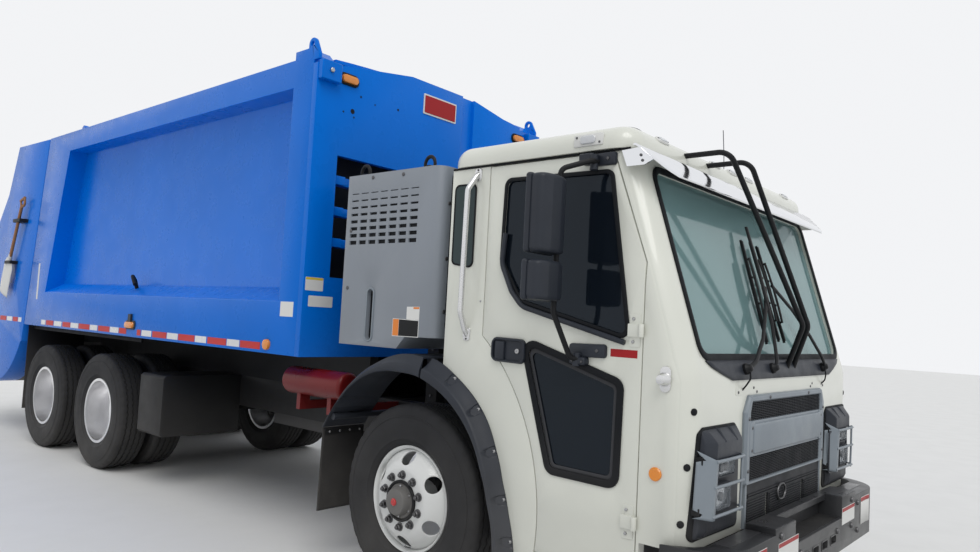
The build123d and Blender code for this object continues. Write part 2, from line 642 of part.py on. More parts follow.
# Refuse body sides: ledge, recessed panel and top rail, with a post at each end
SIDE_FRONT_X = BODY_FRONT_X - BODY_WALL
POST_REAR_X = FRONT_AXLE_X - 1350.0
POST_TOP_Z = 3365.0
REAR_POST_TOP = (FRONT_AXLE_X - 5305.0, 3256.0)
REAR_POST_BOTTOM = (FRONT_AXLE_X - 5775.0, 1315.0)
BODY_REACH = (FRONT_AXLE_X - 6400.0, FRONT_AXLE_X - 6600.0)
LIFT_FOOT = (FRONT_AXLE_X - 5950.0, 1600.0)
LIFT_EYE = (FRONT_AXLE_X - 6100.0, 2900.0)
CHANNEL_Y = (BODY_HALF - 168.0, BODY_HALF - 48.0)
LIFT_PIN_R = 25.0
CRANE_LUG = (BODY_FRONT_X - 78.0, 3392.0)
CRANE_HOLE_R = 18.0
CRANE_LUG_THICK = 25.0
panel_in_y = BODY_PANEL_Y - BODY_WALL
with BuildPart() as body_sides:
    with BuildSketch(Plane.YZ.offset(SIDE_FRONT_X)):
        outline(
            [
                (panel_in_y, BODY_BOTTOM_Z),
                (BODY_HALF, BODY_BOTTOM_Z),
                (BODY_HALF, LEDGE_OUT_Z),
                (BODY_PANEL_Y, LEDGE_IN_Z),
                (BODY_PANEL_Y, TOP_RAIL_Z),
                (BODY_HALF, TOP_RAIL_Z),
                (BODY_HALF, BODY_TOP_Z),
                (panel_in_y, BODY_TOP_Z),
            ]
        )
    extrude(amount=BODY_REACH[0] - SIDE_FRONT_X)
    with BuildSketch(across(BODY_HALF)):
        outline(
            [
                (POST_REAR_X, BODY_BOTTOM_Z),
                (SIDE_FRONT_X, BODY_BOTTOM_Z),
                (SIDE_FRONT_X, POST_TOP_Z - 60),
                (SIDE_FRONT_X - 60, POST_TOP_Z),
                (POST_REAR_X, POST_TOP_Z),
            ]
        )
        outline(
            [
                REAR_POST_TOP,
                (REAR_POST_BOTTOM[0], REAR_POST_BOTTOM[1]),
                (BODY_REACH[0], REAR_POST_BOTTOM[1]),
                (BODY_REACH[0], REAR_POST_TOP[1]),
            ]
        )
    extrude(amount=BODY_HALF - BODY_PANEL_Y)
    with BuildSketch(across(BODY_HALF + 10)):
        outline(
            [
                (seam_x(1000), 1000),
                (seam_x(3600), 3600),
                (BODY_REACH[1], 3600),
                (BODY_REACH[1], 1000),
            ]
        )
    extrude(amount=400, mode=Mode.SUBTRACT)
    with BuildSketch(across(CHANNEL_Y[1])):
        outline(
            [
                (LIFT_FOOT[0] + 95, LIFT_FOOT[1] - 110),
                (LIFT_FOOT[0] + 20, LIFT_EYE[1]),
                (BODY_REACH[1], LIFT_EYE[1]),
                (BODY_REACH[1], LIFT_FOOT[1] - 110),
            ]
        )
    extrude(amount=CHANNEL_Y[1] - CHANNEL_Y[0], mode=Mode.SUBTRACT)
    with BuildSketch(across(CHANNEL_Y[1] + 5)):
        with Locations(LIFT_FOOT):
            Circle(LIFT_PIN_R)
    extrude(amount=CHANNEL_Y[1] - CHANNEL_Y[0] + 10)
    with BuildSketch(across(BODY_HALF)):
        with Locations(CRANE_LUG):
            Circle(42)
        with Locations((CRANE_LUG[0] + 20, POST_TOP_Z - 70)):
            Rectangle(130, 40)
        make_hull()
        with Locations(CRANE_LUG):
            Circle(CRANE_HOLE_R, mode=Mode.SUBTRACT)
    extrude(amount=CRANE_LUG_THICK)
    mirror(about=Plane.XZ)
finish(body_sides.part, "body_sides")

# Body front: one panel with a crowned header, a window and a recessed upright band
WINDOW_Y = (-BODY_HALF + 210.0, 200.0)
WINDOW_Z = (1800.0, 2650.0)
BAND_Y = (220.0, 360.0)
with BuildPart() as body_front:
    with BuildSketch(Plane.YZ.offset(SIDE_FRONT_X)):
        outline(
            [
                (-BODY_HALF, BODY_BOTTOM_Z),
                (BODY_HALF, BODY_BOTTOM_Z),
                (BODY_HALF, 3250),
                (BODY_HALF - 180, 3280),
                (350, 3395),
                (-350, 3395),
                (-BODY_HALF + 180, 3280),
                (-BODY_HALF, 3250),
            ]
        )
        with Locations((sum(WINDOW_Y) / 2, sum(WINDOW_Z) / 2)):
            Rectangle(WINDOW_Y[1] - WINDOW_Y[0], WINDOW_Z[1] - WINDOW_Z[0], mode=Mode.SUBTRACT)
    extrude(amount=BODY_WALL)
    flat((BODY_FRONT_X - 30, BAND_Y[0], 1300), (BODY_FRONT_X + 1, BAND_Y[1], 3500), mode=Mode.SUBTRACT)
    for low in (2020, 2240, 2460):
        flat((SIDE_FRONT_X - 90, -panel_in_y, low), (SIDE_FRONT_X - 30, panel_in_y, low + 60))
        for y in (-panel_in_y + 60, panel_in_y - 60):
            flat((SIDE_FRONT_X - 60, y - 40, low), (SIDE_FRONT_X + 5, y + 40, low + 60))
finish(body_front.part, "body_front")

# Body floor on long sills that stand on the frame rails
FLOOR_REAR_X = FRONT_AXLE_X - 6228.0
with BuildPart() as body_floor:
    flat((FLOOR_REAR_X, -panel_in_y, BODY_BOTTOM_Z), (SIDE_FRONT_X, panel_in_y, BODY_FLOOR_Z))
    for side in (-1, 1):
        low, high = sorted((side * (RAIL_OUTER_Y - RAIL_WIDTH), side * RAIL_OUTER_Y))
        flat((FRAME_REAR_X + 20, low, RAIL_TOP_Z), (SIDE_FRONT_X - 150, high, BODY_BOTTOM_Z + 1))
finish(body_floor.part, "body_floor")

# Body roof: crowned sheet on the side rails, with the tailgate's hinge lugs and pins
ROOF_HALF = BODY_HALF - 120.0
ROOF_CROWN = 70.0
LUG_Y = (GATE_IN_Y - 180.0, GATE_IN_Y - 20.0)
LUG_THICK = 40.0
with BuildPart() as body_roof:
    with BuildSketch(Plane.YZ.offset(SEAM_TOP[0] + 6)):
        with BuildLine():
            Line((-ROOF_HALF, BODY_TOP_Z + 14), (-ROOF_HALF, BODY_TOP_Z))
            Line((-ROOF_HALF, BODY_TOP_Z), (ROOF_HALF, BODY_TOP_Z))
            Line((ROOF_HALF, BODY_TOP_Z), (ROOF_HALF, BODY_TOP_Z + 14))
            ThreePointArc(
                (ROOF_HALF, BODY_TOP_Z + 14), (0, BODY_TOP_Z + ROOF_CROWN), (-ROOF_HALF, BODY_TOP_Z + 14)
            )
        make_face()
    extrude(amount=SIDE_FRONT_X - SEAM_TOP[0] - 6)
    for side in (-1, 1):
        flat(
            (POST_REAR_X - 1, side * ROOF_HALF - 60, BODY_TOP_Z - 1),
            (SIDE_FRONT_X + 1, side * ROOF_HALF + 60, BODY_TOP_Z + 200),
            mode=Mode.SUBTRACT,
        )
    for side in (-1, 1):
        low, high = sorted((side * LUG_Y[0], side * LUG_Y[1]))
        for plate_low in (low, high - LUG_THICK):
            with BuildSketch(across(plate_low + LUG_THICK)):
                with Locations((HINGE_X, HINGE_Z)):
                    Circle(50)
                with Locations((HINGE_X, BODY_TOP_Z + 20)):
                    Rectangle(220, 20)
                make_hull()
            extrude(amount=LUG_THICK)
        with BuildSketch(across(high - LUG_THICK / 2)):
            with Locations((HINGE_X, HINGE_Z)):
                Circle(HINGE_PIN_R)
        extrude(amount=high - low - LUG_THICK)
finish(body_roof.part, "body_roof")

# Ejector: curved push blade across the load space on two runners
EJECTOR_HALF = panel_in_y - 10
EJECTOR_X = FRONT_AXLE_X - 1900.0
with BuildPart() as ejector_blade:
    with BuildSketch(across(EJECTOR_HALF)):
        with BuildLine():
            ThreePointArc(
                (EJECTOR_X, BODY_FLOOR_Z + 60), (EJECTOR_X + 120, 2150), (EJECTOR_X + 420, 3180)
            )
            Line((EJECTOR_X + 420, 3180), (EJECTOR_X + 480, 3180))
            ThreePointArc(
                (EJECTOR_X + 480, 3180), (EJECTOR_X + 180, 2150), (EJECTOR_X + 60, BODY_FLOOR_Z + 60)
            )
            Line((EJECTOR_X + 60, BODY_FLOOR_Z + 60), (EJECTOR_X, BODY_FLOOR_Z + 60))
        make_face()
    extrude(amount=2 * EJECTOR_HALF)
    for y in (-760, 700):
        with BuildSketch(across(y + 60)):
            outline(
                [
                    (EJECTOR_X, BODY_FLOOR_Z + SEAT_GAP),
                    (EJECTOR_X + 560, BODY_FLOOR_Z + SEAT_GAP),
                    (EJECTOR_X + 560, BODY_FLOOR_Z + 120),
                    (EJECTOR_X + 130, 2000),
                    (EJECTOR_X + 60, BODY_FLOOR_Z + 80),
                    (EJECTOR_X, BODY_FLOOR_Z + 80),
                ]
            )
        extrude(amount=60)
finish(ejector_blade.part, "ejector_blade")

# Packing gear geometry: the slide runs along SLIDE_ANGLE, the sweep turns at its foot
slide_up = (cos(radians(SLIDE_ANGLE)), sin(radians(SLIDE_ANGLE)))
SWEEP_DOWN = (
    SWEEP_HOME[0] - SLIDE_TRAVEL * slide_up[0],
    SWEEP_HOME[1] - SLIDE_TRAVEL * slide_up[1],
)
PAN_IN_R = SWEEP_LENGTH + SWEEP_TIP_GAP
PAN_OUT_R = PAN_IN_R + PAN_SHEET


def pan_point(radius, angle):
    """Point on the hopper pan's arc about the sweep's lowest pivot."""
    return (SWEEP_DOWN[0] + radius * cos(radians(angle)), SWEEP_DOWN[1] + radius * sin(radians(angle)))


PAN_REAR_ANGLE = 205.0
PAN_FRONT_ANGLE = 332.0
GATE_TOP = (FRONT_AXLE_X - 6913.0, 3324.0)
GATE_SHOULDER = (FRONT_AXLE_X - 7139.0, 2770.0)
GATE_REAR_HIGH = (FRONT_AXLE_X - 8130.0, 1560.0)
SILL_REAR_X = FRONT_AXLE_X - 8195.0
TRACK_HALF = 40.0
TRACK_DEPTH = 40.0
TRACK_SPAN = (-730.0, 975.0)
slide_plane_z = (0, -1, 0)


def slide_frame(y):
    """Plane at the sweep's home pivot: X up along the slide, Y to the rear of it."""
    return Plane(
        origin=(SWEEP_HOME[0], y, SWEEP_HOME[1]),
        x_dir=(slide_up[0], 0, slide_up[1]),
        z_dir=slide_plane_z,
    )


with BuildPart() as tailgate_sides:
    front_low = pan_point(PAN_OUT_R, PAN_FRONT_ANGLE)
    front_foot = (seam_x(front_low[1], SEAM_GAP), front_low[1])
    with BuildSketch(across(BODY_HALF)):
        with BuildLine():
            Polyline(
                front_low,
                front_foot,
                (seam_x(GATE_ROOF_Z, SEAM_GAP), GATE_ROOF_Z),
                GATE_TOP,
                GATE_SHOULDER,
                GATE_REAR_HIGH,
                (SILL_REAR_X, SILL_Z + 70),
                (SILL_REAR_X, SILL_Z),
                pan_point(PAN_OUT_R, PAN_REAR_ANGLE),
            )
            ThreePointArc(pan_point(PAN_OUT_R, PAN_REAR_ANGLE), pan_point(PAN_OUT_R, 268), front_low)
        make_face()
    extrude(amount=BODY_HALF - GATE_IN_Y)
    with BuildSketch(across(CHANNEL_Y[1])):
        outline(
            [
                (FRONT_AXLE_X - 5800, 2200),
                (LIFT_EYE[0] - 90, 2200),
                (LIFT_EYE[0] - 90, LIFT_EYE[1] + 180),
                (FRONT_AXLE_X - 5800, LIFT_EYE[1] + 180),
            ]
        )
    extrude(amount=CHANNEL_Y[1] - CHANNEL_Y[0], mode=Mode.SUBTRACT)
    with BuildSketch(slide_frame(GATE_IN_Y + TRACK_DEPTH)):
        with Locations((sum(TRACK_SPAN) / 2, 0)):
            Rectangle(TRACK_SPAN[1] - TRACK_SPAN[0], 2 * TRACK_HALF)
    extrude(amount=TRACK_DEPTH + 1, mode=Mode.SUBTRACT)
    mirror(about=Plane.XZ)
finish(tailgate_sides.part, "tailgate_sides")

# Hopper pan: sheet on an arc about the sweep's lowest pivot, with the loading sill
with BuildPart() as hopper_pan:
    with BuildSketch(across(GATE_IN_Y)):
        with BuildLine():
            ThreePointArc(
                pan_point(PAN_IN_R, PAN_REAR_ANGLE), pan_point(PAN_IN_R, 268), pan_point(PAN_IN_R, PAN_FRONT_ANGLE)
            )
            Polyline(
                pan_point(PAN_IN_R, PAN_FRONT_ANGLE),
                (seam_x(1290, SEAM_GAP) - 45, 1290),
                (seam_x(1290, SEAM_GAP), 1290),
                front_foot,
                front_low,
            )
            ThreePointArc(front_low, pan_point(PAN_OUT_R, 268), pan_point(PAN_OUT_R, PAN_REAR_ANGLE))
            Polyline(
                pan_point(PAN_OUT_R, PAN_REAR_ANGLE),
                (SILL_REAR_X, SILL_Z),
                (SILL_REAR_X, SILL_Z + 70),
                (pan_point(PAN_IN_R, PAN_REAR_ANGLE)[0] - 10, SILL_Z + 70),
                pan_point(PAN_IN_R, PAN_REAR_ANGLE),
            )
        make_face()
    extrude(amount=2 * GATE_IN_Y)
finish(hopper_pan.part, "hopper_pan")

# Tailgate top: roof and rear header sheets with arms to the hinge pins
TOP_SHEET = 45.0
ARM_HALF = 34.5
with BuildPart() as tailgate_top:
    with BuildSketch(across(GATE_IN_Y)):
        outline(
            [
                (seam_x(GATE_ROOF_Z, SEAM_GAP), GATE_ROOF_Z),
                GATE_TOP,
                GATE_SHOULDER,
                (GATE_SHOULDER[0] + 48, GATE_SHOULDER[1]),
                (GATE_TOP[0] + 30, GATE_TOP[1] - TOP_SHEET),
                (seam_x(GATE_ROOF_Z, SEAM_GAP), GATE_ROOF_Z - TOP_SHEET),
            ]
        )
    extrude(amount=2 * GATE_IN_Y)
    for side in (-1, 1):
        middle_y = side * sum(LUG_Y) / 2
        with BuildSketch(across(middle_y + ARM_HALF)):
            outline(
                [
                    (HINGE_X, HINGE_Z - 45),
                    (HINGE_X, HINGE_Z + 45),
                    (HINGE_X - 60, HINGE_Z + 42),
                    (HINGE_X - 640, GATE_ROOF_Z + 18),
                    (HINGE_X - 640, GATE_ROOF_Z - 10),
                    (seam_x(GATE_ROOF_Z, SEAM_GAP) - 14, GATE_ROOF_Z - 10),
                    (seam_x(GATE_ROOF_Z, SEAM_GAP) - 14, HINGE_Z - 45),
                ]
            )
            with Locations((HINGE_X, HINGE_Z)):
                Circle(45)
            with Locations((HINGE_X, HINGE_Z)):
                Circle(HINGE_PIN_R + RUNNING_FIT, mode=Mode.SUBTRACT)
        extrude(amount=2 * ARM_HALF)
finish(tailgate_top.part, "tailgate_top")

# Packer slide: panel with shoes in the tracks, sweep pivot lugs and cylinder brackets
PANEL_HALF_THICK = 55.0
PANEL_SPAN = (80.0, 950.0)
SIDE_CLEAR = 6.0
PIVOT_R = 60.0
SWEEP_PIN_R = 25.0
CYLINDER_Y = 500.0
SWEEP_FOOT = (850.0, 200.0)
PIVOT_LUGS = ((300, 400), (800, 900))
EYE_HALF = 20.0
PLATE_GAP = 6.0
PLATE_THICK = 20.0
panel_half_y = GATE_IN_Y - SIDE_CLEAR
with BuildPart() as packer_slide:
    with BuildSketch(slide_frame(panel_half_y)):
        with Locations((sum(PANEL_SPAN) / 2, 0)):
            Rectangle(PANEL_SPAN[1] - PANEL_SPAN[0], 2 * PANEL_HALF_THICK)
    extrude(amount=2 * panel_half_y)
    for side in (-1, 1):
        shoe_out = GATE_IN_Y + TRACK_DEPTH - SEAT_GAP
        low, high = sorted((side * (panel_half_y - 1), side * shoe_out))
        with BuildSketch(slide_frame(high)):
            with Locations((180, 0), (850, 0)):
                Rectangle(180, 2 * (TRACK_HALF - SEAT_GAP))
        extrude(amount=high - low)
        for near, far in PIVOT_LUGS:
            low, high = sorted((side * near, side * far))
            with BuildSketch(slide_frame(high)):
                Circle(PIVOT_R)
                with Locations((PANEL_SPAN[0] + 20, 0)):
                    Rectangle(30, 2 * PANEL_HALF_THICK)
                make_hull()
            extrude(amount=high - low)
        middle_y = side * CYLINDER_Y
        for offset_y in (EYE_HALF + PLATE_GAP, -EYE_HALF - PLATE_GAP - PLATE_THICK):
            with BuildSketch(slide_frame(middle_y + offset_y + PLATE_THICK)):
                with Locations(SWEEP_FOOT):
                    Circle(42)
                with Locations((SWEEP_FOOT[0] + 20, PANEL_HALF_THICK - 5)):
                    Rectangle(90, 10)
                make_hull()
            extrude(amount=PLATE_THICK)
        pin_half = EYE_HALF + PLATE_GAP + PLATE_THICK
        with BuildSketch(slide_frame(middle_y + pin_half)):
            with Locations(SWEEP_FOOT):
                Circle(20)
        extrude(amount=2 * pin_half)
    with BuildSketch(slide_frame(PIVOT_LUGS[1][1])):
        Circle(SWEEP_PIN_R)
    extrude(amount=2 * PIVOT_LUGS[1][1])
finish(packer_slide.part, "packer_slide")


def sweep_frame(y):
    """Plane at the sweep's home pivot: X down the blade, Y to its rear face's side."""
    down = (cos(radians(SWEEP_HOME_ANGLE)), 0, sin(radians(SWEEP_HOME_ANGLE)))
    return Plane(origin=(SWEEP_HOME[0], y, SWEEP_HOME[1]), x_dir=down, z_dir=(0, 1, 0))


# Sweep blade: hinged plate with barrels between the lugs and plates for its cylinders
BLADE_HALF_THICK = 35.0
SWEEP_EYE = (20.0, 250.0)
KNUCKLE_GAP = 5.0
barrels = (
    (0.0, PIVOT_LUGS[0][0] - KNUCKLE_GAP),
    (PIVOT_LUGS[0][1] + KNUCKLE_GAP, PIVOT_LUGS[1][0] - KNUCKLE_GAP),
    (PIVOT_LUGS[1][1] + KNUCKLE_GAP, panel_half_y),
)
with BuildPart() as sweep_blade:
    with BuildSketch(sweep_frame(-panel_half_y)):
        outline(
            [
                (PIVOT_R + 25, -BLADE_HALF_THICK),
                (SWEEP_LENGTH - 60, -BLADE_HALF_THICK),
                (SWEEP_LENGTH - 8, -12),
                (SWEEP_LENGTH - 8, 12),
                (SWEEP_LENGTH - 60, BLADE_HALF_THICK),
                (PIVOT_R + 25, BLADE_HALF_THICK),
            ]
        )
    extrude(amount=2 * panel_half_y)
    for side in (-1, 1):
        for near, far in barrels:
            low, high = sorted((side * near, side * far))
            with BuildSketch(sweep_frame(low)):
                Circle(PIVOT_R)
                with Locations((PIVOT_R + 30, 0)):
                    Rectangle(20, 2 * BLADE_HALF_THICK)
                make_hull()
            extrude(amount=high - low)
        middle_y = side * CYLINDER_Y
        for offset_y in (EYE_HALF + PLATE_GAP, -EYE_HALF - PLATE_GAP - PLATE_THICK):
            with BuildSketch(sweep_frame(middle_y + offset_y)):
                with Locations(SWEEP_EYE):
                    Circle(42)
                with Locations((170, BLADE_HALF_THICK - 5)):
                    Rectangle(220, 10)
                make_hull()
            extrude(amount=PLATE_THICK)
    with BuildSketch(sweep_frame(-panel_half_y - 10)):
        Circle(SWEEP_PIN_R + RUNNING_FIT)
    extrude(amount=2 * panel_half_y + 20, mode=Mode.SUBTRACT)
finish(sweep_blade.part, "sweep_blade")

# Cylinders: each pair is a set of barrels with foot eyes and a set of rods with end eyes


def world_of(frame_plane, point):
    """World X and Z of a point given in a plane's own X and Y."""
    spot = frame_plane.from_local_coords(Vector(point[0], point[1], 0))
    return (spot.X, spot.Z)


sweep_foot_xz = world_of(slide_frame(0), SWEEP_FOOT)
sweep_eye_xz = world_of(sweep_frame(0), SWEEP_EYE)
# Columns: name, foot, rod eye, middle y, half width of eye, pin r, barrel r, rod r, barrel length, rod length
cylinders = (
    ("lift", LIFT_FOOT, LIFT_EYE, sum(CHANNEL_Y) / 2, 50.0, LIFT_PIN_R, 50.0, 30.0, 1090.0, 1160.0),
    ("sweep", sweep_foot_xz, sweep_eye_xz, CYLINDER_Y, EYE_HALF, 20.0, 45.0, 26.0, 580.0, 585.0),
)
NECK = 60.0
for name, foot, eye, middle_y, eye_half, pin_r, barrel_r, rod_r, barrel_long, rod_long in cylinders:
    start = Vector(foot[0], 0, foot[1])
    stop = Vector(eye[0], 0, eye[1])
    direction = (stop - start).normalized()
    square = Vector(-direction.Z, 0, direction.X) * (pin_r + 12)
    with BuildPart() as barrel:
        for side in (-1, 1):
            shift = Vector(0, side * middle_y, 0)
            base = start + direction * NECK + shift
            with BuildSketch(Plane(origin=tuple(base), z_dir=tuple(direction))):
                Circle(barrel_r)
            extrude(amount=barrel_long - NECK)
            neck_end = start + direction * (NECK + 5)
            corners = (start + square, neck_end + square, neck_end - square, start - square)
            with BuildSketch(across(side * middle_y + eye_half)):
                outline([(corner.X, corner.Z) for corner in corners])
                with Locations(foot):
                    Circle(pin_r + 18)
            extrude(amount=2 * eye_half)
            with BuildSketch(across(side * middle_y + eye_half + 1)):
                with Locations(foot):
                    Circle(pin_r + RUNNING_FIT)
            extrude(amount=2 * eye_half + 2, mode=Mode.SUBTRACT)
            mouth = start + direction * barrel_long + shift
            with BuildSketch(Plane(origin=tuple(mouth), z_dir=tuple(-direction))):
                Circle(rod_r + RUNNING_FIT)
            extrude(amount=barrel_long - pin_r - 60, mode=Mode.SUBTRACT)
    finish(barrel.part, f"{name}_barrels")
    with BuildPart() as rod:
        for side in (-1, 1):
            shift = Vector(0, side * middle_y, 0)
            base = stop - direction * NECK + shift
            with BuildSketch(Plane(origin=tuple(base), z_dir=tuple(-direction))):
                Circle(rod_r)
            extrude(amount=rod_long - NECK)
            neck_end = stop - direction * (NECK + 5)
            corners = (stop + square, neck_end + square, neck_end - square, stop - square)
            with BuildSketch(across(side * middle_y + eye_half)):
                outline([(corner.X, corner.Z) for corner in corners])
                with Locations(eye):
                    Circle(pin_r + 20)
            extrude(amount=2 * eye_half)
    finish(rod.part, f"{name}_rods")

# Cab side outline: rear wall, roof line, windscreen, front panel, footwell and arch
cab_side = [
    (CAB_REAR_X, 1000),
    (CAB_REAR_X, CAB_TOP_Z),
    (SCREEN_TOP[0] - 30, CAB_TOP_Z),
    SCREEN_TOP,
    SCREEN_BOTTOM,
    (GRILLE_X, COWL_Z - 60),
    (GRILLE_X, CAB_PANEL_BOTTOM_Z),
    (DOOR_FRONT_X + 20, CAB_PANEL_BOTTOM_Z),
    (DOOR_FRONT_X + 20, CAB_SILL_Z),
    (FRONT_AXLE_X + 600, CAB_SILL_Z),
    (FRONT_AXLE_X + 400, 1000),
]


def door_outline(grow):
    """Door edge in side view, grown by a gap: slanted pillar, curved rear edge over the arch."""
    with BuildLine() as edge:
        front = DOOR_FRONT_X + grow
        rear = DOOR_REAR_X - grow
        top = DOOR_TOP_Z + grow
        low = DOOR_BOTTOM_Z - grow
        slant_x = FRONT_AXLE_X + 1240 + grow
        heel_x = FRONT_AXLE_X + 885 - grow
        Polyline((heel_x, low), (front, low), (front, DOOR_KINK_Z), (slant_x, top), (rear, top), (rear, 1480))
        ThreePointArc((rear, 1480), (FRONT_AXLE_X + 765 - grow, 1120), (heel_x, low))
    make_face(edge.line.edges())


def rounded_pane(points, radius, shrink=0.0):
    """Window outline with rounded corners in the sketch in progress."""
    with BuildSketch() as pane:
        with BuildLine():
            Polyline(*points, close=True)
        make_face()
        fillet(pane.vertices(), radius)
        if shrink:
            offset(amount=-shrink, mode=Mode.REPLACE)
    add(pane.sketch)


PANE_GAP = 0.3
PANE_THICK = 8.0
door_pane = [
    (FRONT_AXLE_X + 600, 2300),
    (FRONT_AXLE_X + 1235, 2290),
    (FRONT_AXLE_X + 1357, 1514),
    (FRONT_AXLE_X + 730, 1670),
    (FRONT_AXLE_X + 590, 1880),
]
low_pane = [
    (FRONT_AXLE_X + 773, 1457),
    (FRONT_AXLE_X + 1317, 1297),
    (FRONT_AXLE_X + 1310, 857),
    (FRONT_AXLE_X + 957, 863),
]
quarter_pane = [
    (FRONT_AXLE_X + 262, 1870),
    (FRONT_AXLE_X + 372, 1870),
    (FRONT_AXLE_X + 372, 2296),
    (FRONT_AXLE_X + 262, 2296),
]
screen_mid = ((SCREEN_BOTTOM[0] + SCREEN_TOP[0]) / 2, (SCREEN_BOTTOM[1] + SCREEN_TOP[1]) / 2)
screen_up = Vector(SCREEN_TOP[0] - SCREEN_BOTTOM[0], 0, SCREEN_TOP[1] - SCREEN_BOTTOM[1]).normalized()
screen_plane = Plane(
    origin=(screen_mid[0], 0, screen_mid[1]), x_dir=(0, 1, 0), z_dir=tuple(Vector(0, 1, 0).cross(screen_up))
)
SCREEN_HALF_LOW = 1005.0
SCREEN_HALF_HIGH = 1030.0
SCREEN_V = (-460.0, 440.0)
screen_pane = [
    (-SCREEN_HALF_LOW, SCREEN_V[0]),
    (SCREEN_HALF_LOW, SCREEN_V[0]),
    (SCREEN_HALF_HIGH, SCREEN_V[1]),
    (-SCREEN_HALF_HIGH, SCREEN_V[1]),
]
REAR_PANE = (1240.0, 480.0)
REAR_PANE_Z = 2050.0
TUNNEL_Z = 1020.0
BRACKET_GAP = 5.0
BRACKET_THICK = 14.0
with BuildPart() as whole_cab:
    with BuildSketch(across(CAB_HALF)):
        outline(cab_side)
    extrude(amount=2 * CAB_HALF)
    corner = whole_cab.edges().filter_by(lambda e: e.center().X > SCREEN_TOP[0] - 20 and abs(abs(e.center().Y) - CAB_HALF) < 1 and e.center().Z > CAB_PANEL_BOTTOM_Z + 10 and e.center().Z < CAB_TOP_Z - 20)
    fillet(corner, CAB_CORNER_R)
    with BuildSketch(across(CAB_HALF - CAB_WALL)):
        outline(
            [
                (CAB_REAR_X + CAB_WALL, 900),
                (CAB_REAR_X + CAB_WALL, CAB_TOP_Z + 50),
                (SCREEN_TOP[0] - CAB_WALL, CAB_TOP_Z + 50),
                (SCREEN_TOP[0] - CAB_WALL, SCREEN_TOP[1]),
                (SCREEN_BOTTOM[0] - CAB_WALL, SCREEN_BOTTOM[1]),
                (GRILLE_X - CAB_WALL, COWL_Z - 60),
                (GRILLE_X - CAB_WALL, CAB_PANEL_BOTTOM_Z + CAB_WALL),
                (DOOR_FRONT_X - 40, CAB_PANEL_BOTTOM_Z + CAB_WALL),
                (DOOR_FRONT_X - 40, CAB_SILL_Z + CAB_WALL),
                (FRONT_AXLE_X + 640, CAB_SILL_Z + CAB_WALL),
                (FRONT_AXLE_X + 440, 900),
            ]
        )
        with Locations((FRONT_AXLE_X, TYRE_R)):
            Circle(CAB_ARCH_R + ARCH_LINER, mode=Mode.SUBTRACT)
    extrude(amount=2 * (CAB_HALF - CAB_WALL), mode=Mode.SUBTRACT)
    floor_half = CAB_TUNNEL_HALF + CAB_WALL
    with BuildSketch(across(floor_half)):
        outline(
            [
                (CAB_REAR_X, 1000),
                (RAIL_DROP_X + 60, 640),
                (RAIL_DROP_X + 60, CAB_PANEL_BOTTOM_Z),
                (DOOR_FRONT_X + 30, CAB_PANEL_BOTTOM_Z),
                (DOOR_FRONT_X + 30, CAB_PANEL_BOTTOM_Z + CAB_WALL),
                (RAIL_DROP_X + 90, CAB_PANEL_BOTTOM_Z + CAB_WALL),
                (RAIL_KICK_X + 130, TUNNEL_Z + CAB_WALL),
                (CAB_REAR_X, TUNNEL_Z + CAB_WALL),
            ]
        )
    extrude(amount=2 * floor_half)
    with BuildSketch(across(CAB_TUNNEL_HALF)):
        outline(
            [
                (CAB_REAR_X - 10, 300),
                (CAB_REAR_X - 10, TUNNEL_Z),
                (RAIL_KICK_X + 90, TUNNEL_Z),
                (RAIL_DROP_X + 50, CAB_PANEL_BOTTOM_Z),
                (DOOR_FRONT_X + 40, CAB_PANEL_BOTTOM_Z),
                (DOOR_FRONT_X + 40, 300),
            ]
        )
    extrude(amount=2 * CAB_TUNNEL_HALF, mode=Mode.SUBTRACT)
    with BuildSketch(across(CAB_HALF + 10)):
        with Locations((FRONT_AXLE_X, TYRE_R)):
            Circle(CAB_ARCH_R)
    extrude(amount=2 * CAB_HALF + 20, mode=Mode.SUBTRACT)
    for side in (-1, 1):
        high = CAB_HALF + 10 if side > 0 else -CAB_HALF + CAB_WALL + 0.5
        with BuildSketch(across(high)):
            door_outline(DOOR_GAP)
        extrude(amount=CAB_WALL + 10.5, mode=Mode.SUBTRACT)
        with BuildSketch(across(high)):
            rounded_pane(quarter_pane, 25)
        extrude(amount=CAB_WALL + 10.5, mode=Mode.SUBTRACT)
        low, high = sorted((side * (TOWER_Y[0] - BRACKET_GAP), side * (TOWER_Y[1] + BRACKET_GAP)))
        flat((TILT_X - 150, low, 600), (GRILLE_X + 5, high, TILT_Z + 55), mode=Mode.SUBTRACT)
    with BuildSketch(screen_plane):
        rounded_pane(screen_pane, 60)
    extrude(amount=80, both=True, mode=Mode.SUBTRACT)
    with BuildSketch(Plane.YZ.offset(CAB_REAR_X - 10)):
        with Locations((0, REAR_PANE_Z)):
            RectangleRounded(*REAR_PANE, 50)
    extrude(amount=CAB_WALL + 20, mode=Mode.SUBTRACT)
    for side in (-1, 1):
        inner = (TOWER_Y[0] - BRACKET_GAP - BRACKET_THICK, TOWER_Y[0] - BRACKET_GAP)
        outer = (TOWER_Y[1] + BRACKET_GAP, TOWER_Y[1] + BRACKET_GAP + BRACKET_THICK)
        for near, far in (inner, outer):
            low, high = sorted((side * near, side * far))
            with BuildSketch(across(high)):
                with Locations((TILT_X, TILT_Z)):
                    Circle(26)
                with Locations((TILT_X - 60, CAB_PANEL_BOTTOM_Z + CAB_WALL / 2)):
                    Rectangle(60, 30)
                make_hull()
            extrude(amount=high - low)
        low, high = sorted((side * inner[0], side * outer[1]))
        with BuildSketch(across(high)):
            with Locations((TILT_X, TILT_Z)):
                Circle(TILT_PIN_R)
        extrude(amount=high - low)

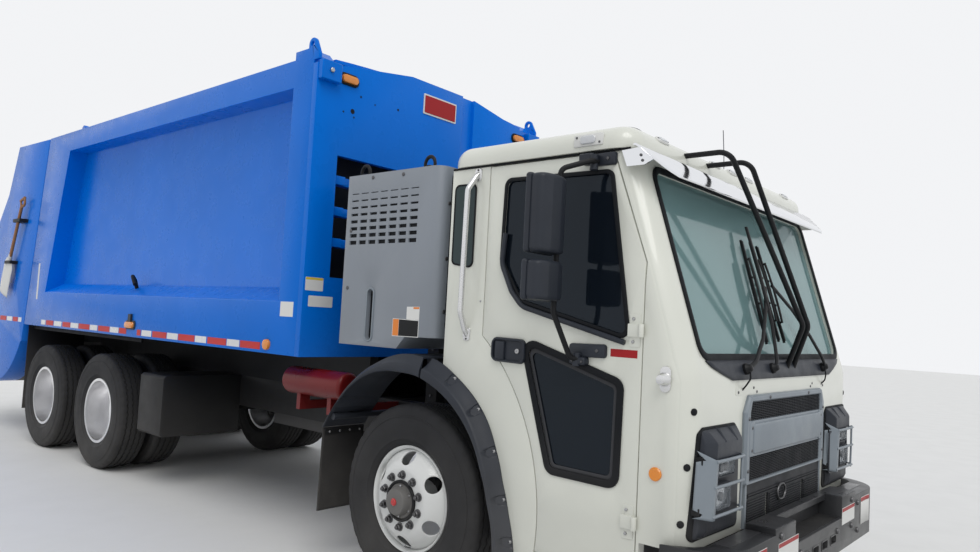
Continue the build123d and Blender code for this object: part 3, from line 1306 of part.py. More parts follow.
# The welded cab comes as three pressings: front panel with its pillars, floor, and side and rear walls
front_panel_side = [
    (SCREEN_TOP[0] - 75, CAB_TOP_Z + 50),
    (SCREEN_TOP[0] - 75, SCREEN_TOP[1]),
    (DOOR_FRONT_X + 17, DOOR_KINK_Z),
    (SCREEN_BOTTOM[0] - CAB_WALL - 30, COWL_Z + 40),
    (GRILLE_X - CAB_WALL - 10, COWL_Z - 60),
    (GRILLE_X - CAB_WALL - 10, CAB_PANEL_BOTTOM_Z - 50),
    (GRILLE_X + 50, CAB_PANEL_BOTTOM_Z - 50),
    (GRILLE_X + 50, CAB_TOP_Z + 50),
]
FLOOR_TOP_Z = TUNNEL_Z + CAB_WALL
floor_corners = (
    (CAB_REAR_X - 10, -CAB_HALF + CAB_WALL, CAB_SILL_Z - 10),
    (GRILLE_X - CAB_WALL - 10, CAB_HALF - CAB_WALL, FLOOR_TOP_Z),
)
with BuildPart() as cab_front:
    add(whole_cab.part)
    with BuildSketch(across(CAB_HALF + 10)):
        outline(front_panel_side)
    extrude(amount=2 * CAB_HALF + 20, mode=Mode.INTERSECT)
finish(cab_front.part, "cab_front")

with BuildPart() as cab_floor:
    add(whole_cab.part)
    flat(*floor_corners, mode=Mode.INTERSECT)
finish(cab_floor.part, "cab_floor")

with BuildPart() as cab_shell:
    add(whole_cab.part)
    flat(*floor_corners, mode=Mode.SUBTRACT)
    with BuildSketch(across(CAB_HALF + 10)):
        outline(front_panel_side)
    extrude(amount=2 * CAB_HALF + 20, mode=Mode.SUBTRACT)
finish(cab_shell.part, "cab_shell")

# Cab roof: rounded cap with a hollow underside
ROOF_X = (FRONT_AXLE_X + 180.0, FRONT_AXLE_X + 1350.0)
ROOF_OUT = 1190.0
with BuildPart() as cab_roof:
    with BuildSketch(Plane.XY.offset(CAB_TOP_Z)):
        with Locations((sum(ROOF_X) / 2, 0)):
            RectangleRounded(ROOF_X[1] - ROOF_X[0], 2 * ROOF_OUT, 120)
    extrude(amount=ROOF_RISE)
    fillet(cab_roof.faces().sort_by(Axis.Z)[-1].edges(), 90)
    with BuildSketch(Plane.XY.offset(CAB_TOP_Z)):
        with Locations((sum(ROOF_X) / 2, 0)):
            RectangleRounded(ROOF_X[1] - ROOF_X[0] - 220, 2 * ROOF_OUT - 220, 60)
    extrude(amount=ROOF_RISE - 40, mode=Mode.SUBTRACT)
finish(cab_roof.part, "cab_roof")

# Cab glass: windscreen, rear pane and two quarter panes, each flush in its opening
with BuildPart() as cab_glass:
    with BuildSketch(screen_plane.offset(-CAB_WALL / 2)):
        rounded_pane(screen_pane, 60, PANE_GAP)
    extrude(amount=PANE_THICK)
    with BuildSketch(Plane.YZ.offset(CAB_REAR_X + 20)):
        with Locations((0, REAR_PANE_Z)):
            RectangleRounded(REAR_PANE[0] - 2 * PANE_GAP, REAR_PANE[1] - 2 * PANE_GAP, 50)
    extrude(amount=PANE_THICK)
    for y in (CAB_HALF - 6, -CAB_HALF + 6 + PANE_THICK):
        with BuildSketch(across(y)):
            rounded_pane(quarter_pane, 25, PANE_GAP)
        extrude(amount=PANE_THICK)
finish(cab_glass.part, "cab_glass")

# Doors with their panes, hinges at the front edge
HINGE_AXIS_Y = CAB_HALF + 16.0
DOOR_PIN_R = 8.0
DOOR_KNUCKLE_R = 13.0
for name, side in (("right", -1), ("left", 1)):
    top_y = CAB_HALF if side > 0 else -CAB_HALF + CAB_WALL
    with BuildPart() as door:
        with BuildSketch(across(top_y)):
            door_outline(0)
        extrude(amount=CAB_WALL)
        for pane in (door_pane, low_pane):
            with BuildSketch(across(top_y + 5)):
                rounded_pane(pane, 40)
            extrude(amount=CAB_WALL + 10, mode=Mode.SUBTRACT)
        for z in (700, 1550):
            with Locations((DOOR_FRONT_X, side * HINGE_AXIS_Y, z)):
                Cylinder(DOOR_KNUCKLE_R, 60)
            low, high = sorted((side * (CAB_HALF - 2), side * (HINGE_AXIS_Y - 2)))
            flat((DOOR_FRONT_X - 70, low, z - 30), (DOOR_FRONT_X - 6, high, z + 30))
            with Locations((DOOR_FRONT_X, side * HINGE_AXIS_Y, z)):
                Cylinder(DOOR_PIN_R + RUNNING_FIT, 80, mode=Mode.SUBTRACT)
    finish(door.part, f"door_{name}")
    with BuildPart() as panes:
        for pane in (door_pane, low_pane):
            pane_y = CAB_HALF - 8 if side > 0 else -CAB_HALF + 8 + PANE_THICK
            with BuildSketch(across(pane_y)):
                rounded_pane(pane, 40, PANE_GAP)
            extrude(amount=PANE_THICK)
    finish(panes.part, f"door_glass_{name}")

# Sun visor: bent sheet over the windscreen, rounded in plan, with a cheek at each end
VISOR_HALF = 1182.0
visor_section = [
    (ROOF_X[1], 2412),
    (ROOF_X[1] + 12, 2412),
    (ROOF_X[1] + 42, 2392),
    (ROOF_X[1] + 175, 2266),
    (ROOF_X[1] + 169, 2260),
    (ROOF_X[1] + 36, 2384),
    (ROOF_X[1] + 8, 2402),
    (ROOF_X[1], 2402),
]
with BuildPart() as sun_visor:
    with BuildSketch(across(VISOR_HALF)):
        outline(visor_section)
    extrude(amount=2 * VISOR_HALF)
    with BuildSketch(Plane.XY.offset(2200)):
        with Locations((ROOF_X[1] + 175 - 500, 0)):
            RectangleRounded(1000, 2 * VISOR_HALF, 180)
    extrude(amount=300, mode=Mode.INTERSECT)
    cheek = [
        (ROOF_X[1] - 60, 2384),
        (ROOF_X[1] + 36, 2390),
        (ROOF_X[1] + 105, 2326),
        (ROOF_X[1] + 60, 2306),
        (ROOF_X[1] - 30, 2306),
    ]
    for y in (VISOR_HALF, -VISOR_HALF + 8):
        with BuildSketch(across(y)):
            outline(cheek)
        extrude(amount=8)
finish(sun_visor.part, "sun_visor")

# Grille: grey frame with louvres on the front panel
GRILLE_HALF = 560.0
GRILLE_Z = (833.0, 1257.0)
GRILLE_OUT_X = GRILLE_X + 20.0
GRILLE_VENTS = ((1138.0, 1228.0), (848.0, 962.0))
with BuildPart() as grille:
    flat((GRILLE_X, -GRILLE_HALF, GRILLE_Z[0]), (GRILLE_OUT_X, GRILLE_HALF, GRILLE_Z[1]))
    flat((GRILLE_X, -GRILLE_HALF + 20, TILT_Z + 60), (GRILLE_OUT_X - 6, GRILLE_HALF - 20, GRILLE_Z[0] + 1))
    flat(
        (GRILLE_OUT_X - 1, -GRILLE_HALF + 20, GRILLE_VENTS[1][1] + 10),
        (GRILLE_OUT_X + 10, GRILLE_HALF - 20, GRILLE_VENTS[0][0] - 10),
    )
    for low_z, high_z in GRILLE_VENTS:
        flat((GRILLE_X + 6, -GRILLE_HALF + 60, low_z), (GRILLE_OUT_X + 5, GRILLE_HALF - 60, high_z), mode=Mode.SUBTRACT)
        for step in (-30, -10, 10, 30):
            z = (low_z + high_z) / 2 + step
            flat((GRILLE_X + 2, -GRILLE_HALF + 55, z - 4), (GRILLE_OUT_X - 4, GRILLE_HALF - 55, z + 4))
finish(grille.part, "grille")

# Headlamps: a hooded housing on each side of the grille that reaches round the cab's front corner
LAMP_Y = (645.0, 1130.0)
LAMP_Z = (TILT_Z + 10, 1150.0)
LAMP_BACK_X = GRILLE_X - CAB_WALL + 12
LAMP_OUT_X = GRILLE_X + 32
LAMP_CORNER = 30.0
HOOD_OUT_X = GRILLE_X + 60
HOOD_LOW_Z = LAMP_Z[1] - 135
HOOD_TOP_Z = LAMP_Z[1] - 65
with BuildPart() as headlamps:
    with BuildSketch(across(LAMP_Y[1])):
        outline(
            [
                (LAMP_BACK_X, LAMP_Z[0]),
                (LAMP_OUT_X - 12, LAMP_Z[0]),
                (LAMP_OUT_X, LAMP_Z[0] + 15),
                (LAMP_OUT_X, HOOD_LOW_Z - 10),
                (HOOD_OUT_X, HOOD_LOW_Z),
                (HOOD_OUT_X, HOOD_TOP_Z),
                (LAMP_OUT_X - 10, LAMP_Z[1] - 6),
                (LAMP_OUT_X - 24, LAMP_Z[1]),
                (LAMP_BACK_X, LAMP_Z[1]),
            ]
        )
    extrude(amount=LAMP_Y[1] - LAMP_Y[0])
    with BuildSketch(Plane.YZ.offset(LAMP_BACK_X - 1)):
        outline(
            [
                (LAMP_Y[0], LAMP_Z[0] + LAMP_CORNER),
                (LAMP_Y[0] + LAMP_CORNER, LAMP_Z[0]),
                (LAMP_Y[1] - LAMP_CORNER, LAMP_Z[0]),
                (LAMP_Y[1], LAMP_Z[0] + LAMP_CORNER),
                (LAMP_Y[1], LAMP_Z[1] - LAMP_CORNER),
                (LAMP_Y[1] - LAMP_CORNER, LAMP_Z[1]),
                (LAMP_Y[0] + LAMP_CORNER, LAMP_Z[1]),
                (LAMP_Y[0], LAMP_Z[1] - LAMP_CORNER),
            ]
        )
    extrude(amount=HOOD_OUT_X - LAMP_BACK_X + 2, mode=Mode.INTERSECT)
    with BuildSketch(Plane.XY.offset(LAMP_Z[0] - 10)):
        outline(
            [
                (LAMP_BACK_X - 1, LAMP_Y[0] - 1),
                (HOOD_OUT_X + 1, LAMP_Y[0] - 1),
                (HOOD_OUT_X + 1, LAMP_Y[1] - 85),
                (LAMP_OUT_X, LAMP_Y[1] - 45),
                (LAMP_OUT_X - 14, LAMP_Y[1] - 15),
                (LAMP_OUT_X - 40, LAMP_Y[1]),
                (LAMP_BACK_X - 1, LAMP_Y[1]),
            ]
        )
    extrude(amount=LAMP_Z[1] - LAMP_Z[0] + 20, mode=Mode.INTERSECT)
    mirror(about=Plane.XZ)
    add(cab_front.part, mode=Mode.SUBTRACT)
finish(headlamps.part, "headlamps")

# Cab flares: front half of each wheel arch
with BuildPart() as cab_flares:
    with BuildSketch(across(FLARE_Y)):
        arch_band(FLARE_OUT_R - FLARE_SKIN, FLARE_OUT_R, 3, FLARE_REAR_ANGLE)
    extrude(amount=FLARE_Y - CAB_HALF)
    with BuildSketch(across(FLARE_Y)):
        arch_band(FLARE_IN_R, FLARE_OUT_R, 3, FLARE_REAR_ANGLE)
    extrude(amount=FLARE_SKIN)
    mirror(about=Plane.XZ)
finish(cab_flares.part, "cab_flares")

# Guard tubes in front of the windscreen, from the roof's front to the cowl
TUBE_R = 14.0
with BuildPart() as guard_tubes:
    for top_y, bend_y, foot_y in ((-640, -30, 45), (-375, 55, 150)):
        with BuildLine() as route:
            FilletPolyline(
                (ROOF_X[1] - 20, top_y, 2462),
                (ROOF_X[1] + 230, top_y, 2462),
                (FRONT_AXLE_X + 1760, bend_y, 1620),
                (SCREEN_BOTTOM[0] - 6, foot_y, 1375),
                radius=70,
            )
        with BuildSketch(Plane(origin=route.line @ 0, z_dir=route.line % 0)):
            Circle(TUBE_R)
        sweep()
    add(cab_roof.part, mode=Mode.SUBTRACT)
    add(cab_front.part, mode=Mode.SUBTRACT)
finish(guard_tubes.part, "guard_tubes")

# Grab handles on the cab sides behind the doors
with BuildPart() as grab_handles:
    for side in (-1, 1):
        with BuildLine() as route:
            FilletPolyline(
                (FRONT_AXLE_X + 378, side * CAB_HALF, 2345),
                (FRONT_AXLE_X + 378, side * (CAB_HALF + 60), 2345),
                (FRONT_AXLE_X + 378, side * (CAB_HALF + 60), 1480),
                (FRONT_AXLE_X + 378, side * CAB_HALF, 1480),
                radius=30,
            )
        with BuildSketch(Plane(origin=route.line @ 0, z_dir=(0, side, 0))):
            Circle(16)
        sweep()
finish(grab_handles.part, "grab_handles")

# Mirrors: two heads on a bent arm with brackets at the door
MIRROR_Y = 1430.0
for name, side in (("right", -1), ("left", 1)):
    with BuildPart() as mirror_set:
        for low_z, high_z in ((1875, 2255), (1665, 1850)):
            low, high = sorted((side * (MIRROR_Y - 110), side * (MIRROR_Y + 110)))
            flat((FRONT_AXLE_X + 980, low, low_z), (FRONT_AXLE_X + 1090, high, high_z))
        fillet(mirror_set.edges().filter_by(Axis.X), 25)
        with BuildLine() as route:
            FilletPolyline(
                (FRONT_AXLE_X + 1165, side * CAB_HALF, 2340),
                (FRONT_AXLE_X + 1165, side * (CAB_HALF + 70), 2340),
                (FRONT_AXLE_X + 1065, side * MIRROR_Y, 2280),
                (FRONT_AXLE_X + 1065, side * MIRROR_Y, 1640),
                (FRONT_AXLE_X + 1130, side * (CAB_HALF + 60), 1440),
                (FRONT_AXLE_X + 1130, side * CAB_HALF, 1440),
                radius=25,
            )
        with BuildSketch(Plane(origin=route.line @ 0, z_dir=(0, side, 0))):
            Circle(13)
        sweep()
    finish(mirror_set.part, f"mirrors_{name}")

# Interior: dashboard, seats and steering wheel
with BuildPart() as dashboard:
    with BuildSketch(across(1080)):
        outline(
            [
                (GRILLE_X - CAB_WALL - 1, 1340),
                (GRILLE_X - CAB_WALL - 1, 1080),
                (GRILLE_X - 330, 1100),
                (GRILLE_X - 420, 1230),
                (GRILLE_X - 330, 1390),
                (GRILLE_X - 130, 1410),
            ]
        )
    extrude(amount=2160)
finish(dashboard.part, "dashboard")

SEAT_Y = 700.0
SEAT_LOW_Z = TUNNEL_Z + CAB_WALL + 148.0
SEAT_TOP_Z = SEAT_LOW_Z + 172.0
SEAT_BACK_Z = SEAT_TOP_Z + 660.0
with BuildPart() as seats:
    for side in (-1, 1):
        middle_y = side * SEAT_Y
        flat((FRONT_AXLE_X + 330, middle_y - 220, SEAT_LOW_Z), (FRONT_AXLE_X + 720, middle_y + 220, SEAT_TOP_Z))
        with BuildSketch(across(middle_y + 220)):
            outline(
                [
                    (FRONT_AXLE_X + 330, SEAT_TOP_Z - 10),
                    (FRONT_AXLE_X + 450, SEAT_TOP_Z - 10),
                    (FRONT_AXLE_X + 400, SEAT_BACK_Z),
                    (FRONT_AXLE_X + 300, SEAT_BACK_Z),
                ]
            )
        extrude(amount=440)
        low, high = sorted((side * (CAB_TUNNEL_HALF - 15), side * (CAB_TUNNEL_HALF + CAB_WALL - 2)))
        flat((FRONT_AXLE_X + 450, low, TUNNEL_Z + CAB_WALL), (FRONT_AXLE_X + 700, high, SEAT_LOW_Z + 2))
finish(seats.part, "seats")

with BuildPart() as steering_wheel:
    rim_plane = Plane(origin=(GRILLE_X - 560, SEAT_Y, 1500), x_dir=(0, 1, 0), z_dir=(-0.6, 0, 0.8))
    with BuildSketch(rim_plane):
        Circle(220)
        Circle(190, mode=Mode.SUBTRACT)
        Circle(50)
        Rectangle(390, 30)
    extrude(amount=14, both=True)
    with BuildSketch(rim_plane):
        Circle(28)
    extrude(amount=-300)
    add(dashboard.part, mode=Mode.SUBTRACT)
finish(steering_wheel.part, "steering_wheel")

# Roof lamps: five markers on the rounded front edge of the roof and a low beacon on its right
MARKER_OUT_Y = ROOF_OUT - 330
with BuildPart() as roof_lamps:
    for y in (-MARKER_OUT_Y, -240, 0, 240, MARKER_OUT_Y):
        flat((ROOF_X[1] - 54, y - 55, CAB_TOP_Z + ROOF_RISE - 50), (ROOF_X[1] - 12, y + 55, CAB_TOP_Z + ROOF_RISE - 4))
    add(cab_roof.part, mode=Mode.SUBTRACT)
    with Locations((ROOF_X[1] - 170, -ROOF_OUT + 230, CAB_TOP_Z + ROOF_RISE + 20)):
        Cylinder(75, 40)
finish(roof_lamps.part, "roof_lamps")
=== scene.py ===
# %% [markdown]
# # A rear-loading garbage truck
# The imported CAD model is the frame: every wall, wheel and arm is already there at its real
# size, in metres, with X forwards, Y to the truck's left and Z up from the ground. This
# script dresses it. Some CAD pieces only get a finish, some are replaced by a finer surface
# of the same outline, and small fittings are added on top.

# %% The frame
import math

import bmesh
import bpy
import numpy as np
from mathutils import Matrix, Vector


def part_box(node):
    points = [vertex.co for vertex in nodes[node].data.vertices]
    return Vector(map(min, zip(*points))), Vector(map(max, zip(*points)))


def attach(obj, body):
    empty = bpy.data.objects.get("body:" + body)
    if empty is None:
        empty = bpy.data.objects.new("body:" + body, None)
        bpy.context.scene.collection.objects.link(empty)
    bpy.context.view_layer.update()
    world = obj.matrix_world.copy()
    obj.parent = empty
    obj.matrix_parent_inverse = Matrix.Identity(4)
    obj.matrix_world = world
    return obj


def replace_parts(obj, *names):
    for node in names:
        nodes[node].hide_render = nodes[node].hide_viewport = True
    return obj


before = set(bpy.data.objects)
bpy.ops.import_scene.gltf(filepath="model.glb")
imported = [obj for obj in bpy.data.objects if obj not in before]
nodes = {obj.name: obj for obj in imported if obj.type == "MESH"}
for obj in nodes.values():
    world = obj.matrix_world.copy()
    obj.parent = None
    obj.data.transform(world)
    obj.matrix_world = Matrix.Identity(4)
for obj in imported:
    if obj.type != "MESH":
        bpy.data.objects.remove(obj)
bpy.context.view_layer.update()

# %% [markdown]
# ## Stations
# Everything on a truck is placed from its axles, as in the CAD source. The same few numbers
# are kept here, in metres: the front axle, the two drive axles, and the planes of the cab's
# and the body's sides.

# %% Stations
FRONT_X = 3.165
DRIVE_X = (FRONT_X - 4.254, FRONT_X - 5.627)
HUB_Z = 0.532
CAB_SIDE = 1.170
BODY_SIDE = 1.220
PANEL_SIDE = 1.045
BOX_SIDE = 1.200
BODY_FRONT = FRONT_X - 1.080
GRILLE_FACE = FRONT_X + 1.670
LAMP_FACE = GRILLE_FACE + 0.032
RIGHT, LEFT = -1, 1
SIDES = (("right", RIGHT), ("left", LEFT))
print("axles at", FRONT_X, DRIVE_X)

# %% [markdown]
# ## Surfaces as arrays
# A surface is a grid of points: one parameter runs along its rows and one along its columns.
# Whole arrays make the points, and the same index arithmetic makes the faces of any grid. A
# "patch" below is a pair of arrays, points and faces, and several patches make one piece.

# %% Grids and patches
def grid_faces(rows, columns, wrap_rows=False, wrap_columns=False):
    """Quads of a grid of points: each joins a point to its neighbours in the next row and column."""
    row = np.arange(rows if wrap_rows else rows - 1)
    column = np.arange(columns if wrap_columns else columns - 1)
    a, b = np.meshgrid(row, column, indexing="ij")
    down, right = (a + 1) % rows, (b + 1) % columns
    corners = (a * columns + b, down * columns + b, down * columns + right, a * columns + right)
    return np.stack(corners, -1).reshape(-1, 4).tolist()


def grid_patch(points, wrap_rows=False, wrap_columns=False, caps=False):
    """Patch from a (rows, columns, 3) array; caps close the first and last row with one face each."""
    rows, columns = points.shape[:2]
    faces = grid_faces(rows, columns, wrap_rows, wrap_columns)
    if caps:
        faces.append(list(range(columns)))
        faces.append(list(range(rows * columns - 1, (rows - 1) * columns - 1, -1)))
    return points.reshape(-1, 3), faces


def stacked(rings, closed=False):
    """Patch from a list of rings: capped at both ends, or closed round like a tyre."""
    return grid_patch(np.stack(rings), wrap_rows=closed, wrap_columns=True, caps=not closed)


def joined(patches):
    """One patch from several: the points are stacked and each patch's faces are counted on."""
    counts = np.cumsum([0] + [len(points) for points, _ in patches[:-1]])
    points = np.concatenate([np.asarray(points, float) for points, _ in patches])
    faces = [[int(i + start) for i in face] for (_, face_list), start in zip(patches, counts)
             for face in face_list]
    return points, faces


def moved(patch, offsets):
    """Copies of a patch shifted by each row of offsets."""
    points, faces = patch
    return joined([(points + offset, faces) for offset in np.atleast_2d(offsets)])


def flipped(patch, side):
    """The patch as drawn for the left side, or its image for the right side."""
    points, faces = patch
    return patch if side == LEFT else (points * (1, -1, 1), [face[::-1] for face in faces])


def unit(run):
    """Each row divided by its length."""
    return run / np.linalg.norm(run, axis=-1, keepdims=True)


def circle(count):
    """Angles of a full turn, the last one short of the first."""
    return np.linspace(0, 2 * np.pi, count, endpoint=False)


def revolved(profile, centre, axis=(0, 1, 0), steps=64, closed=False, up=(0, 0, 1)):
    """Profile of (radius, along) points turned about an axis: along stays, the radius goes round."""
    profile = np.asarray(profile, float)
    along = unit(np.asarray(axis, float))
    across = unit(np.cross(up, along))
    angle = circle(steps)[:, None, None]
    ring = np.cos(angle) * across + np.sin(angle) * np.cross(along, across)
    points = np.asarray(centre) + profile[None, :, 1:2] * along + profile[None, :, 0:1] * ring
    return grid_patch(points, wrap_rows=True, wrap_columns=closed)


def round_about(patch, centre, angles):
    """Copies of a patch turned about an axle through centre, as with wheel nuts."""
    points, faces = patch
    turned = [np.array(Matrix.Rotation(angle, 3, "Y")).T for angle in angles]
    return joined([((points - centre) @ turn + centre, faces) for turn in turned])


# %% [markdown]
# ## Outlines and bars
# Pressed sheet and bent tube never have a sharp corner. An outline is drawn by its corners and
# then rounded: each corner becomes an arc that touches both of its legs. A bar is a circle
# carried along a path, and a block is the one shape that is left with corners.

# %% Outlines and bars
def rounded_path(corners, radius, steps=6):
    """Path with each inner corner rounded: an arc tangent to both legs, turned by slerp from leg to leg."""
    corners = np.asarray(corners, float)
    before, middle, after = corners[:-2], corners[1:-1], corners[2:]
    back, ahead = before - middle, after - middle
    back_long = np.linalg.norm(back, axis=1, keepdims=True)
    ahead_long = np.linalg.norm(ahead, axis=1, keepdims=True)
    back, ahead = back / back_long, ahead / ahead_long
    half = np.arccos(np.clip((back * ahead).sum(1, keepdims=True), -1, 1)) / 2
    tangent = np.minimum(radius / np.tan(half), 0.48 * np.minimum(back_long, ahead_long))
    bisector = (back + ahead) / np.maximum(np.linalg.norm(back + ahead, axis=1, keepdims=True), 1e-9)
    centre = middle + bisector * tangent / np.cos(half)
    start, stop = middle + back * tangent - centre, middle + ahead * tangent - centre
    turn = np.maximum(np.pi - 2 * half, 1e-4)[:, None]
    share = np.linspace(0, 1, steps)[None, :, None]
    arcs = np.sin((1 - share) * turn) * start[:, None] + np.sin(share * turn) * stop[:, None]
    arcs = centre[:, None] + arcs / np.sin(turn)
    return np.concatenate([corners[:1], arcs.reshape(-1, corners.shape[1]), corners[-1:]])


def rounded_loop(corners, radius, steps=5):
    """Closed outline with every corner rounded by the same arcs."""
    corners = np.asarray(corners, float)
    wrapped = np.concatenate([corners[-1:], corners, corners[:1]])
    return rounded_path(wrapped, radius, steps)[1:-1]


def box_loop(a, b, low, high, radius=0.0, steps=4):
    """Rectangle from a to b and from low to high, with eased corners when a radius is given."""
    corners = np.array([(a, low), (b, low), (b, high), (a, high)])
    return rounded_loop(corners, radius, steps) if radius else corners


def rounded_rectangle(width, height, radius, steps=5):
    """Outline about (0, 0) with eased corners."""
    return box_loop(-width / 2, width / 2, -height / 2, height / 2, radius, steps)


def grown(corners, distance):
    """Outline moved out by a distance: each corner slides along the sum of its two edges' normals."""
    corners = np.asarray(corners, float)
    edge = unit(np.roll(corners, -1, axis=0) - corners)
    area = np.sum(corners[:, 0] * np.roll(corners[:, 1], -1) - corners[:, 1] * np.roll(corners[:, 0], -1))
    normal = np.stack([edge[:, 1], -edge[:, 0]], -1) * np.sign(area)
    before = np.roll(normal, 1, axis=0)
    return corners + distance * (normal + before) / (1 + (normal * before).sum(1, keepdims=True))


def tube_patch(path, radius, sides=12, up=(0, 0, 1), flat=1.0):
    """Round bar carried along a path: a circle in the plane square to the mean of its two runs."""
    path = np.asarray(path, float)
    run = unit(np.gradient(path, axis=0))
    across = unit(np.cross(np.broadcast_to(up, run.shape), run))
    angle = circle(sides)[None, :, None]
    ring = np.cos(angle) * across[:, None] * flat + np.sin(angle) * np.cross(run, across)[:, None]
    return grid_patch(path[:, None] + radius * ring, wrap_columns=True, caps=True)


def hoop_patch(path, radius, normal):
    """Closed bar along a loop that lies square to a normal: eight points round each step."""
    run = unit(np.roll(path, -1, 0) - np.roll(path, 1, 0))
    turn = circle(8)[None, :, None]
    spoke = np.cross(run, normal)[:, None]
    return stacked(path[:, None] + radius * (np.cos(turn) * spoke + np.sin(turn) * normal), closed=True)


def block_patch(low, high):
    """Six faces between two corners, given in either order."""
    low, high = np.sort([low, high], axis=0)
    outline = box_loop(low[0], high[0], low[1], high[1])
    return stacked([np.column_stack([outline, np.full(4, z)]) for z in (low[2], high[2])])


print("a rounded square has", len(rounded_rectangle(1, 1, 0.1)), "points")

# %% [markdown]
# ## Walls to draw on
# Handles, lamps, gaskets and labels are drawn flat, on the cab's side, the grille, the
# windscreen or the body. A wall keeps its origin and three directions, so the same few
# shapes serve all of them: a plate with an eased rim, a collar, a lens and a turned knob.

# %% Walls
FLAT = ((0.0, 0.0), (0.0, 1.0))
SIDE_RIM = ((0.0, 0.0), (0.0, 0.55), (0.35, 0.88), (1.0, 1.0))
FRONT_RIM = ((0.0, 0.0), (0.0, 0.6), (0.4, 0.9), (1.0, 1.0))


class Wall:
    """A flat wall: where it is, its directions across, up and out, and how its fittings are rounded."""

    def __init__(self, origin, across, up, out, rim=FRONT_RIM, crown=(0.5, 0.22)):
        self.origin, self.out = np.asarray(origin, float), np.asarray(out, float)
        self.plane = np.array([across, up], float)
        self.rim, self.crown = rim, crown

    def at(self, spots, out=0.0):
        """Points given as (across, up), standing out of the wall."""
        return self.origin + np.asarray(spots, float) @ self.plane + out * self.out

    def plate(self, outline, deep, start=0.0, ease=0.0):
        """One ring per (draw, rise): drawn in by draw times the ease, and out by rise times the depth."""
        section = self.rim if ease else FLAT
        return stacked([self.at(grown(outline, -draw * ease) if draw else outline, start + deep * rise)
                        for draw, rise in section])

    def collar(self, outer, inner, deep, start=0.0):
        """Ring between two outlines of as many points: straight sides and a crowned top."""
        rise, flat = self.crown
        section = ((0, 0), (0, rise), (flat, 1), (1 - flat, 1), (1, rise), (1, 0))
        return stacked([self.at((1 - share) * outer + share * inner, start + deep * out)
                        for share, out in section], closed=True)

    def lens(self, spot, width, height, deep, corner, steps):
        """Crowned lens: the outline shrinks about its middle by each step's share as it rises."""
        outline = rounded_rectangle(width, height, corner, 6)
        return stacked([self.at(outline * grow + spot, deep * rise) for grow, rise in steps])

    def knob(self, profile, spot, start=0.0, sides=20):
        """Profile of (radius, out) points turned about the outward direction."""
        return revolved(profile, self.at(spot, start), self.out, sides)

    def heads(self, spots, size, high, start=0.0, sides=10):
        """Domed screw heads, each a cap on its seat."""
        profile = [(0, -0.001), (size, -0.001), (size, high * 0.4), (size * 0.8, high * 0.85),
                   (size * 0.4, high), (0, high)]
        return joined([self.knob(profile, spot, start, sides) for spot in spots])


def side_wall(side, y=CAB_SIDE):
    """Wall that faces sideways: x from the front axle, and height."""
    return Wall((FRONT_X, side * y, 0), (1, 0, 0), (0, 0, 1), (0, side, 0), SIDE_RIM, (0.7, 0.2))


def front_wall(x=GRILLE_FACE):
    """Wall that faces forwards: y, and height."""
    return Wall((x, 0, 0), (0, 1, 0), (0, 0, 1), (1, 0, 0))


print("cab side at", side_wall(RIGHT).at((0, 0)))

# %% [markdown]
# ## From arrays to a piece
# A piece is a mesh object at the origin with its place in its points. Each gets its finish,
# smooth shading that stops at sharp edges, a small bevel where the real edge is rounded, and
# the body it rides on, so that it moves with the door, tailgate or wheel it is fixed to.


def turn_outward(mesh):
    """Poles merged into one point, then each shell's faces made to point outwards."""
    shape = bmesh.new()
    shape.from_mesh(mesh)
    bmesh.ops.remove_doubles(shape, verts=shape.verts, dist=1e-6)
    bmesh.ops.recalc_face_normals(shape, faces=shape.faces)
    shape.to_mesh(mesh)
    shape.free()


def add_bevel(made, width, angle=35):
    """Rounded edges where two faces meet at more than the angle."""
    edge = made.modifiers.new("edges", "BEVEL")
    edge.width = width
    edge.segments = 2
    edge.limit_method = "ANGLE"
    edge.angle_limit = math.radians(angle)


def object_from(name, points, faces, finish, outward=True):
    """Mesh object at the origin, linked to the scene."""
    mesh = bpy.data.meshes.new(name)
    mesh.from_pydata(np.asarray(points).tolist(), [], faces)
    mesh.validate()
    mesh.update()
    if outward:
        turn_outward(mesh)
    mesh.materials.append(finish)
    made = bpy.data.objects.new(name, mesh)
    bpy.context.scene.collection.objects.link(made)
    return made


def piece(name, patch, body, finish, angle=35, bevel=0.0, thickness=0.0, outward=True):
    """Piece from a patch or a list of patches, shaded, finished and fixed to a CAD body."""
    points, faces = joined(patch) if isinstance(patch, list) else patch
    made = object_from(name, points, faces, finish, outward)
    made.data.shade_smooth()
    made.data.set_sharp_from_angle(angle=math.radians(angle))
    if thickness:
        shell = made.modifiers.new("wall", "SOLIDIFY")
        shell.thickness = thickness
        shell.offset = 0
    if bevel:
        add_bevel(made, bevel, angle)
    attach(made, body)
    print(name, "on", body, "with", len(faces), "faces")
    return made


# %% [markdown]
# ## CAD nodes keep their mesh
# A CAD node comes as loose triangles, shaded flat. Its mesh is left alone. One modifier welds
# the triangles and rounds the sharp edges by a few millimetres, as pressed and cast parts
# have, and a small node group then shades it smooth wherever two faces meet at under 35
# degrees. A bevel that also catches the light does more for a plain wall than any texture.

